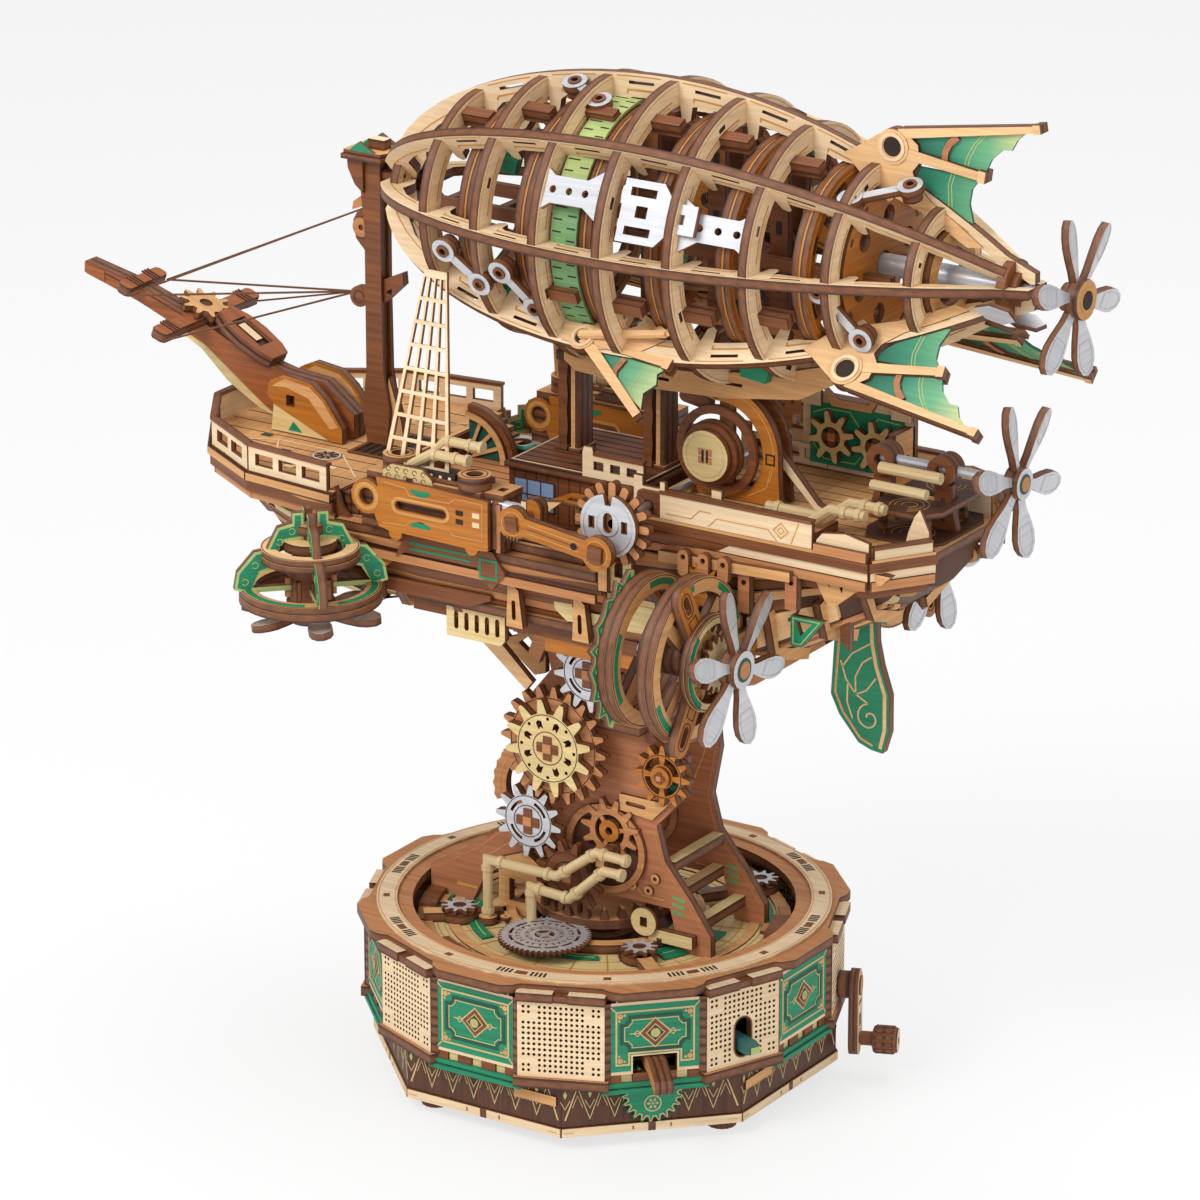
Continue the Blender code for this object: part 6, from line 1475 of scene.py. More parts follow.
def arch_pieces():
    work = Work("flywheel_arch_plates", "turntable", ["flywheel_arch"], "orange_ply")
    centre = FLYWHEEL
    outline = [(37, 195.4), (69.4, 195.4), (68.6, 206)] + arc(20.6, 0, 84, 14, centre)
    outline += [(40, 232.4), (32.6, 233.2), (31.8, 229), (33.4, 228)] + arc(15.2, 96, -48, 18, centre)
    outline += [(54, 199.6), (44, 197.8), (37, 197.8)]
    place = upright(-8.5)
    work.sheet(outline, PLY, place, "orange", [circle(0.9, 10, (42.4, 228.4)),
                                               circle(0.9, 10, (46.4, 227.8))])
    work.line(arc(19, -24, 92, 18, centre), 0.35, place, PLY, "amber")
    work.line([(66, 207), (64.6, 201), (58, 197.2)], 0.35, place, PLY, "amber")
    work.line(box(64.4, 208.6, 67.2, 211.6), 0.5, place, PLY, "black", True)
    for u in (42.4, 46.4):
        work.line(circle(1.5, 12, (u, 228.4 - (u - 42.4) * 0.15)), 0.3, place, PLY, "black", True)
    work.wall(outline, 1.4, -2.2, "brown")
    ring = [circle(11.6, 32, centre)]
    work.wall(circle(14.2, 40, centre), 2, -11.2, "brown", ring)
    work.wall(box(45.6, 195.4, 50.4, 226), 2, -5.4, "tan")
    work.wall(slot_shape(33.6, 224.2, 41, 223, 2, 5), 2.6, -6, "brown")
    brace = [(66, 212), (80, 197), (84, 195.4), (79, 195.4), (66, 208)]
    work.wall(brace, PLY, -4, "pale")
    work.finish()


def crank_pieces():
    turn = turned(22.5)
    work = Work("crank_arm_plates", "crank", ["crank_arm"], "brown_ply")
    place = turn @ across(79)
    outline = arc(5.4, 0, 180, 12, (0, 26)) + arc(5.4, 180, 360, 12, (0, 8))
    hole = [circle(1.7, 12, (0, 26))]
    work.sheet(outline, 1.4, place, "salmon", hole)
    work.sheet(sized(outline, 0.96, 1), 1.5, place @ level(1.5), "pale", hole)
    work.line([(u * 0.8, 17 + (v - 17) * 0.93) for u, v in outline], 0.3, place, PLY, "amber", True)
    work.mark(box(-1.2, 12.6, 1.2, 16.4), place, PLY, "black")
    work.mark(box(-2.2, 20, 2.2, 21), place, PLY, "black")
    work.finish()
    work = Work("crank_knob_grip", "crank_knob", ["crank_knob"], "tan_ply")
    place = turn @ disc_place(82.4, 0, 8)
    work.lathe([(2.3, 0), (2.3, 3.6), (4.2, 4.2), (4.4, 5), (4.4, 10.6), (4, 11.6)], place, "brown", 12)
    for step in range(12):
        grip = place @ turned(30 * step)
        work.sheet(box(4.15, -0.55, 4.55, 0.55), 6, grip @ level(4.8), "salmon")
    work.sheet(circle(3.9, 16), 0.5, place @ level(11.5), "pale", [circle(1.2, 10)])
    work.finish()
    work = Work("crank_boss_plates", "crank", ["crank_shaft"], "brown_ply")
    place = turn @ disc_place(0, 0, 26)
    work.sheet(circle(1.5, 16), 52.8, place @ level(29.5), "steel")
    work.sheet(circle(4.4, 20), 3.4, place @ level(75.3), "brown")
    work.sheet(circle(3.2, 16), 0.5, place @ level(82), "salmon")
    work.sheet(gear_shape(8, 3), 3.4, place @ level(35.4), "tan")
    work.sheet(gear_shape(10, 1.3), 3, place @ level(46), "tan")
    work.finish()


def lever_pieces():
    turn = turned(-45)
    work = Work("switch_lever_plates", "switch_lever", ["switch_lever"], "brown_ply")
    outline = [(47, 22.6), (77, 22.6), (86, 19.2), (86.6, 21.4), (85.6, 23.4), (77, 26.6), (47, 26.6)]
    for step, look in enumerate(("salmon", "brown", "salmon")):
        work.sheet(outline, 1.9, turn @ upright(-2.05 + 2.05 * step, 1.9), look)
    work.finish()
    turn = turned(-22.5)
    work = Work("mode_lever_plates", "mode_lever", ["mode_lever"], "green_ply")
    outline = [(51, 24.5), (79, 24.5), (81.4, 25.2), (81.4, 27.8), (79, 28.5), (51, 28.5)]
    work.sheet(outline, 3.8, turn @ upright(0, 3.8), "teal", edge="teal")
    work.sheet(box(-1.8, 25.4, 1.8, 27.6), 0.5, turn @ across(81.2), "lime")
    work.sheet(circle(1.1, 10, (55, 26.5)), 6, turn @ upright(0, 6), "steel")
    work.finish()


# A piece's own side and its mirror image
NEAR, FAR = Matrix.Identity(4), Matrix.Diagonal((1, -1, 1, 1))
# Stations of the hull: x, then half width and height of deck edge, chine and keel
HULL = ((-141, 9, 183.5, 7, 178, 3, 176), (-127, 27, 183.5, 14, 174, 4, 170),
        (-103, 43, 183.5, 26, 163, 6, 155), (-80, 47, 183.5, 32, 153, 10, 148),
        (-68.5, 48, 183.5, 33, 152, 11, 146), (-67, 48, 175.5, 33, 152, 11, 146),
        (-40, 49, 175.5, 36, 151, 12, 145), (28.5, 47, 175.5, 36, 151, 12, 145),
        (30, 42, 192, 36, 151, 12, 145), (75, 37, 192, 30, 156, 9, 150), (105, 33, 192, 24, 172, 6, 166),
        (122, 24, 192, 18, 182, 4, 178))


def hull_section(x):
    """Deck edge, chine and keel of the hull at this place, as half width and height."""
    after = next(index for index in range(1, len(HULL)) if HULL[index][0] >= x - 0.001)
    low, high = HULL[after - 1], HULL[after]
    share = (x - low[0]) / (high[0] - low[0])
    values = [first + (second - first) * share for first, second in zip(low[1:], high[1:])]
    return values[0:2], values[2:4], values[4:6]


def hull_spot(x, run, out):
    """Point on the near side: run goes from the deck edge (0) over the chine (1) to the keel (2)."""
    section = hull_section(x)
    first = min(int(run), 1)
    (half, top), (low_half, low) = section[first], section[first + 1]
    length = math.hypot(low_half - half, low - top)
    share = run - first
    width = half + (low_half - half) * share + (top - low) / length * out
    return x, -width, top + (low - top) * share + (low_half - half) / length * out


def plank(work, x0, x1, run0, run1, out, look, deep):
    """Board along the hull between two places, with a dark lower edge."""
    places = [x0] + [station[0] for station in HULL if x0 < station[0] < x1] + [x1]
    drop = (run1 - run0) * 0.12
    for start, end, proud, colour in ((run0, run1 - drop, out, look),
                                      (run1 - drop, run1, out - 0.15, "walnut")):
        sections = []
        for x in places:
            corners = ((start, proud), (end, proud), (end, proud - deep), (start, proud - deep))
            sections.append([hull_spot(x, run, height) for run, height in corners])
        work.rings(sections, colour)


def hull_core(work):
    sections = []
    for station in HULL:
        (half, top), (mid, knee), (low, keel) = hull_section(station[0])
        sections.append([(station[0], y, z) for y, z in ((half - 1, top), (mid - 1, knee + 0.4),
                                                         (low, keel + 0.8), (-low, keel + 0.8),
                                                         (1 - mid, knee + 0.4), (1 - half, top))])
    work.rings(sections, "walnut")


# Boards between two places along the hull: start and end down the side, how far out, and look
BOW_BOARDS = ((0, 0.07, 2.2, "tan"), (0.07, 0.20, 1.6, "brown"), (0.20, 0.33, 1.1, "brown"),
              (0.52, 0.64, 0.6, "brown"), (0.68, 0.84, 0.8, "salmon"))
WAIST_BOARDS = ((0, 0.10, 1.6, "salmon"), (0.10, 0.22, 0.8, "brown"), (0.22, 0.36, 0.3, "orange"),
                (0.36, 0.52, 0.7, "brown"), (0.52, 0.66, 0.3, "salmon"), (0.66, 0.82, 0.9, "brown"),
                (0.82, 0.98, 0.5, "tan"))
STERN_BOARDS = ((0, 0.07, 1.2, "brown"), (0.09, 0.16, 0.4, "pink"), (0.18, 0.30, 1.2, "salmon"),
                (0.30, 0.40, 0.5, "brown"), (0.42, 0.52, 0.9, "tan"), (0.52, 0.64, 0.3, "brown"))
BELLY_BOARDS = ((1.02, 1.24, 0.7, "salmon"), (1.26, 1.46, 0.2, "brown"), (1.48, 1.72, 0.7, "tan"),
                (1.74, 1.96, 0.2, "brown"))
BOARDS = ((-140.5, -68.6, BOW_BOARDS), (-66.9, 28.4, WAIST_BOARDS), (30.1, 121.5, STERN_BOARDS),
          (-131, -101.6, ((0.36, 0.49, 1.2, "cream"),)), (-98.4, -69, ((0.36, 0.49, 1.2, "cream"),)),
          (-118, -67.5, ((0.86, 1, 0.8, "brown"),)), (30.5, 70, ((0.66, 0.98, 0.8, "salmon"),)),
          (72, 100, ((0.66, 0.98, 0.5, "peach"),)), (-128, -68, BELLY_BOARDS), (-66, 28, BELLY_BOARDS),
          (30, 112, BELLY_BOARDS))


def hull_boards(work):
    for start, end, boards in BOARDS:
        for board in boards:
            plank(work, start, end, *board, deep=1.2 if boards is BELLY_BOARDS else 1.4)
    for x in (-112, -92, -52, -30, -8, 14, 46, 60, 78, 94, 108):
        runs = (0.58 if x < -68 or x > 30 else 0.68, 1, 1.5, 1.9)
        outer = [hull_spot(x, run, 2.6)[1:] for run in runs]
        inner = [hull_spot(x, run, -1)[1:] for run in runs]
        work.sheet(outer + inner[::-1], PLY, across(x), "tan")


def hull_side_details(work):
    """Combs, slotted panels, green strips and brackets on one side of the hull."""
    comb = [(-33, 143.6), (-13, 143.6), (-11.4, 145.4), (-11.4, 153.4), (-33, 153.4)]
    slots = [slot_shape(u, 147, u, 151.4, 0.8, 4) for u in (-29.4, -25.6, -21.8, -18, -14.2)]
    work.wall(comb, 2.4, -37.6, "cream", slots)
    work.layer(box(-46, -41.6, 30, -35), PLY, 154.4, "tan", [slot_shape(-14, -38.4, 2, -38.4, 0.7, 4)])
    work.wall(box(-46, 149.4, 36, 154.2), PLY, -36.2, "brown")
    work.wall(box(2, 144.6, 44, 149.2), PLY, -35.4, "orange")
    panel = [(4, 177), (9, 176.6), (11, 170.4), (48, 170.4), (52, 166), (52, 160), (14, 158.4), (9.6, 161.6),
             (8.6, 169), (4, 173.6)]
    place = upright(-41.4)
    work.sheet(panel, PLY, place, "cream", [slot_shape(17, 163.8, 36, 163.8, 1.1, 4)])
    work.line([(13.4, 168.4), (46.4, 168.4), (49.6, 165.2)], 0.3, place, PLY, "amber")
    work.layer(box(11, -43.4, 50, -37), 2.4, 170.6, "salmon", [box(20, -42, 29, -40.6)])
    work.layer(box(14, -39.4, 45, -37.4), 1, 173, "green", edge="green")
    work.wall(circle(2.6, 14, (7, 174.4)), 1.6, -43.4, "amber", [circle(1, 8, (7, 174.4))])
    comb = [(26, 173.4), (26, 184.6), (28.6, 184.6), (28.6, 178), (31.4, 178), (31.4, 183.4), (34.4, 183.4),
            (34.4, 178), (37.4, 178), (37.4, 183.4), (40.4, 183.4), (40.4, 173.4)]
    work.wall(comb, 2.4, -46.8, "cream")
    brace = [(30, 173.6), (30, 187), (33, 188.6), (33, 173.6)]
    work.wall(brace, PLY, -48.6, "tan")
    hang = [(95, 191.6), (124, 191.6), (121, 188.6), (112, 184.6), (106, 179.6), (103.6, 178.4), (101.6, 180)]
    holes = [[(104.6, 189.6), (108.6, 189.6), (107.4, 183.4)], [(110.6, 189.6), (117, 189.6), (110, 186)],
             [(99.6, 189), (102, 189), (103.4, 184.4)]]
    work.wall(hang, PLY, -35.6, "tan", holes)
    work.wall([(86, 176), (124, 188), (122, 184.6), (90, 172.6)], PLY, -27, "brown")
    corner = [(88.8, 172.6), (100.4, 172.6), (92.6, 163), (88.8, 163)]
    work.wall(corner, 2, -34.4, "green", [[(90.6, 171), (96.2, 171), (92.2, 166.6)]])
    border = [(89.7, 171.9), (98.8, 171.9), (92.3, 163.9), (89.7, 163.9)]
    work.line(border, 0.4, upright(-34.4, 2), 2, "lime", True)
    work.wall([(99, 176), (102, 176), (102, 160), (99, 163)], PLY, -22, "brown")
    for x, z, look in ((104, 174.6, "tan"), (111, 178.2, "cream"), (117, 181.6, "tan")):
        work.wall(slot_shape(x, z, x + 4, z + 1, 2.4, 6), 4, -18, look, [circle(1.1, 8, (x + 2, z + 0.4))])
    for x in (56, 63, 70):
        work.wall(slot_shape(x, 183, x, 187.6, 1.9, 6), 2.4, -42.6, "salmon", [circle(0.9, 8, (x, 187.2))])
    work.wall([(46, 186.8), (92, 188.4), (92, 185.4), (46, 183.4)], PLY, -40.2, "tan")
    work.wall(gear_shape(14, 1, (62, 178.4)), 2.4, -41.8, "orange", [circle(2, 10, (62, 178.4))])
    for x, z0, z1 in ((42, 163, 172), (73, 172, 184), (89.4, 176, 187)):
        work.wall(box(x, z0, x + 4, z1), PLY, -38.4, "pink", [circle(0.9, 8, (x + 2, z1 - 2.4))])
    for x in (-58, -6, 18):
        work.wall([(x, 154), (x + 6, 154), (x + 4.4, 166), (x + 0.6, 169)], PLY, -44.6, "tan",
                  [slot_shape(x + 2.8, 157, x + 2.6, 162, 0.7, 4)])
    work.wall([(-66, 156), (-22, 156), (-14, 159.4), (-14, 161), (-66, 160)], 5, -40.4, "brown")
    work.wall([(-64, 164), (-50, 165), (-44, 170), (-64, 170)], 2.4, -46.4, "orange")
    work.wall([(-104, 152.6), (-66, 147), (-62, 148.6), (-100, 156.4)], 2, -30.4, "pale")


def hull_pieces():
    work = Work("hull_planks", "turntable", ["hull_shell"], "brown_ply")
    hull_core(work)
    for work.side in (NEAR, FAR):
        hull_boards(work)
        hull_side_details(work)
    work.side = NEAR
    fore = [(-118, 180), (-115.5, 168), (-98, 151), (-83, 134.5), (-70, 138), (-45, 147), (-60, 148.5),
            (-98, 160)]
    aft = [(30, 147), (36, 127), (56.8, 134.5), (81.6, 152.5), (81.6, 158), (60, 153)]
    work.wall(fore, PLY, 0, "tan", [[(-106, 166), (-101, 158.6), (-95, 156.6), (-98.6, 162)],
                                    [(-90, 150), (-82, 141.6), (-74, 143.6), (-80, 149.6)]])
    work.wall(aft, PLY, 0, "brown", [[(42, 144), (44.6, 135), (54.6, 138.6), (64, 146.6), (56, 148)]])
    fore_rim = [(-116, 167.6), (-98.5, 150.6), (-83.2, 133.8), (-81, 136.2), (-96, 152.6), (-113, 169.4)]
    aft_rim = [(35.8, 126.4), (57, 133.9), (82.2, 152.1), (80, 154.6), (55.6, 137), (35.6, 129.6)]
    work.wall(fore_rim, 5, 0, "cream")
    work.wall(aft_rim, 6, 0, "salmon")
    for y in (-7, 9):
        work.wall([(48, 150), (78, 157.6), (84, 164), (80, 164), (60, 158), (48, 156)], 2.4, y, "tan")
        work.wall([(18, 146), (26, 144.6), (40, 131), (44, 134), (32, 146)], 2.4, y, "orange")
    work.wall([(-46, 147), (-14, 147), (-14, 126.4), (-18, 125), (-26, 131), (-36, 141)], 2.4, -11, "tan",
              [[(-36, 143.8), (-29, 143.8), (-24, 137), (-28, 135.6)],
               [(-24, 134.6), (-20.6, 137.4), (-17, 134), (-17, 129.6)]])
    work.wall(box(-25, 138.6, -19, 144.6), 0.6, -13.4, "sage", edge="sage")
    work.wall([(-34, 150), (-28, 150), (-28, 140), (-13, 126.4), (-15.4, 123.4), (-33.4, 137.6)], 2.4, -20,
              "peach", [circle(0.9, 10, (-30.8, 140.4))])
    work.wall([(-12, 148), (-6, 148), (-13, 131.6), (-17, 134)], 2.4, -16.4, "salmon")
    work.finish()


def rudder_pieces():
    work = Work("rudder_plate", "turntable", ["rudder"], "green_ply")
    seat = frame_top("rudder")
    outline = [(84.5, seat), (83, 136), (86, 130), (93, 122), (97.6, 120.4), (101.5, 120), (103.6, 127),
               (103.5, 139), (100.4, 148), (98.8, 155), (98.5, seat)]
    place = upright(0)
    work.sheet(outline, PLY, place, "green")
    scroll = moved([polar(4.6 - 0.18 * step, 95 + 21 * step) for step in range(22)], 96.6, 130.6)
    twigs = ([(96.2, 135.2), (92, 137.4), (88.4, 141.6), (86.4, 147.4)],
             [(91.8, 137.5), (91.6, 143), (94, 148), (97.2, 150.4)], [(89, 140.8), (88.8, 134.6),
                                                                      (90.8, 129.4)],
             [(87, 145.6), (90.4, 150.4), (96.6, 154.6)], [(92, 137.4), (95.6, 139.4), (98.8, 143.8)])
    back = [(97, seat - 0.6), (97.3, 155), (98.9, 147.6), (102, 139), (102.1, 127.6), (100.6, 121.4)]
    front = [(86.2, seat - 0.6), (84.6, 137), (87.4, 131), (93.6, 123.6), (98, 121.9)]
    for w in (PLY, -LINE):
        work.line(back, 1.2, place, w, "peach")
        work.line(front, 0.8, place, w, "tan")
        work.line(scroll, 0.5, place, w, "peach")
        for run in twigs:
            work.line(run, 0.5, place, w, "peach")
    work.finish()


def frame_top(name):
    """Upper end of a solid, in millimetres."""
    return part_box(name)[1][2] / MM


def plan_wall(start, end, z):
    """Upright sheet frame from one plan point to another, facing right of its way."""
    (x0, y0), (x1, y1) = start, end
    length = math.dist(start, end)
    dx, dy = (x1 - x0) / length, (y1 - y0) / length
    return Matrix(((dx, 0, dy, x0), (dy, 0, -dx, y0), (0, 1, 0, z), (0, 0, 0, 1)))


def rail(work, start, end, z, height, windows, look="pale", thickness=1.8, first=0.1):
    """Railing board with windows and a dark cap."""
    length = math.dist(start, end)
    place = plan_wall(start, end, z)
    holes = []
    if windows:
        room = (length * (1 - 2 * first)) / windows
        for index in range(windows):
            left = length * first + room * (index + 0.12)
            holes.append(box(left, height * 0.28, left + room * 0.76, height * 0.76))
    work.sheet(box(0, 0, length, height), thickness, place, look, holes)
    work.sheet(box(-0.3, height, length + 0.3, height + 0.9), thickness + 0.8, place @ level(-0.4), "brown")


def fore_deck_pieces():
    work = Work("fore_deck_plates", "turntable", ["fore_deck"], "tan_ply")
    half = [(-142, -10), (-128, -31), (-103, -46), (-68, -50)]
    outline = mirrored(half)
    top = 186.5
    work.layer(outline, 1.6, 183.5, "brown")
    inner = [(x * 0.995 - 0.3, y * 0.985) for x, y in outline]
    hatch = [(-86, -14), (-70, -14), (-70, 10), (-79, 10), (-79, 6), (-86, 6)]
    work.sheet(inner, 1.4, level(185.1), "tan", cross=True)
    rim, well = rim_of(hatch, 0.7)
    work.layer(rim, 0.5, top, "brown", [well])
    work.layer(hatch, 0.15, top, "black", edge="black")
    for x in (-83, -80, -77, -74):
        work.layer(box(x - 0.5, -13.2, x + 0.5, 9.2 if x > -79 else 5.2), 0.3, top + 0.12, "walnut")
    for y in (-36, -28, -20, -12, -4, 4, 12, 20, 28, 36):
        start = max(-138, -142 + (abs(y) - 8) * 0.8 if abs(y) < 31 else -128 + (abs(y) - 31) * 1.7)
        work.line([(start, y), (-88 if -14 < y < 10 else -70, y)], 0.3, FLAT, top, "walnut")
    for run in ([(-128, -24), (-112, -16), (-96, -42)], [(-112, -16), (-88, -16), (-70, -34)],
                [(-128, 24), (-112, 16), (-96, 42)], [(-112, 16), (-88, 16), (-70, 30)]):
        work.line(run, 0.5, FLAT, top + LINE, "pale")
    for x, y, look in ((-104, -24, "black"), (-100, 14, "black"), (-82, -30, "pale"), (-96, -33, "walnut"),
                       (-84, 24, "sage"), (-94, -36, "pale"), (-118, -14, "deep"), (-118, 14, "deep")):
        work.mark(box(x - 1.8, y - 1.1, x + 1.8, y + 1.1), FLAT, top + LINE, look)
    emblem = (-90, -21)
    work.mark(circle(5, 28, emblem), FLAT, top + LINE, "steel")
    work.line(circle(4.3, 24, emblem), 0.4, FLAT, top + 2 * LINE, "pale", True)
    for degrees in range(0, 360, 45):
        u, v = polar(2.6, degrees)
        ray = moved(box(-1.3, -0.4, 1.3, 0.4), emblem[0] + u, emblem[1] + v, degrees)
        work.mark(ray, FLAT, top + 2 * LINE, "black")
    run = ((-139.5, -9), (-126.5, -29), (-102.2, -43.8), (-70, -47.6))
    rail(work, (run[0][0], -run[0][1]), run[0], top, 8, 0)
    for work.side in (NEAR, FAR):
        for start, end, windows in zip(run, run[1:], (1, 2, 3)):
            rail(work, start, end, top, 8, windows, first=0.05 if windows == 3 else 0.1)
        for start, end in zip(half, half[1:]):
            place = plan_wall(start, end, 183.5)
            length = math.dist(start, end)
            work.sheet(box(0.2, 0, length - 0.2, 2.4), 0.8, place, "tan")
            work.sheet(box(0, -3.6, length, -0.4), 1.4, place @ level(-1.4), "brown")
            work.sheet(box(0, -6.4, length, -4), 1.4, place @ level(-2.8), "salmon")
        swoop = [(-70.6, 0), (-63, 0), (-66, 3), (-68.4, 9.4), (-70.6, 8)]
        work.wall([(x, z + top - 8) for x, z in swoop], 2, -46.4, "brown")
        for step in range(4):
            work.layer(box(-67.6 + 2.6 * step, -44 + 0.5 * step, -65 + 2.6 * step, -26), 7 - 1.8 * step,
                       178.6, "salmon" if step % 2 else "brown")
    work.side = NEAR
    work.sheet(box(-44, -7.6, 44, 0), 1.2, across(-68.4) @ Matrix.Translation((0, 186.2, 0)), "brown",
               [box(u, -5.6, u + 5, -2.6) for u in (-30, -18, 14, 26)])
    work.finish()


def waist_deck_pieces():
    work = Work("waist_deck_plates", "turntable", ["waist_deck"], "tan_ply")
    top = 178.5
    work.layer(box(-66.7, -49.5, 28.5, 49.5), 3, 175.5, "salmon")
    for y in range(-45, 46, 5):
        work.line([(-66, y), (28, y)], 0.25, FLAT, top, "walnut")
    for x, low, high in ((-52, -35, -25), (-40, -15, -5), (-28, 5, 15), (-46, 25, 35), (0, 30, 40),
                         (12, -40, -30)):
        work.line([(x, low), (x, high)], 0.3, FLAT, top + LINE, "walnut")
    for work.side in (NEAR, FAR):
        for z, out, look in ((175.6, 0, "brown"), (171.6, 1.4, "salmon")):
            work.wall(box(-66.7, z - 3, 28.5, z - 0.3), 1.4, -47.6 - out, look)
        for index in range(5):
            degrees = 150 - 28 * index
            u, v = polar(9, degrees)
            petal = [(-3, -2.2), (3.6, -3), (4.6, 0), (3.6, 3), (-3, 2.2)]
            place = Matrix.Translation((-56 + u, -38 + v, 180)) @ turned(degrees) @ turned(-38, "Y")
            work.sheet(petal, 1.2, place, "green", edge="green_edge")
        work.layer(circle(6.4, 24, (-56, -38)), 2.4, 178.6, "silver", [circle(3.6, 16, (-56, -38))])
        work.layer(box(-28, -39, 20, -36.4), 4, 178.6, "brown")
        work.layer(box(-8, -46, 22, -41), 3, 178.6, "tan", [slot_shape(-2, -43.6, 12, -43.6, 0.8, 4)])
        work.wall([(-8, 181), (6, 191.6), (10, 194.8), (2, 193.6), (-6, 191)], 2.4, -38.6, "peach")
    work.side = NEAR
    place = upright(24) @ Matrix.Translation((-66, 178.6, 0))
    arch = [polar(17.4, 5 * step) for step in range(19)]
    work.sheet(arch + sized(arch[::-1], 0.86, 0.86), PLY, place, "brown")
    work.sheet(sized(arch, 0.88, 0.88) + sized(arch[::-1], 0.76, 0.76), 4.4, place, "tan")
    work.sheet(sized(arch, 0.76, 0.76) + [(0, 0.4)], 1.2, place @ level(1), "deep", edge="deep")
    for degrees in (22, 45, 68):
        bar = moved(box(0, -0.6, 13.2, 0.6), 0, 0, degrees)
        work.sheet(bar, 1, place @ level(2.2), "tan")
    work.finish()


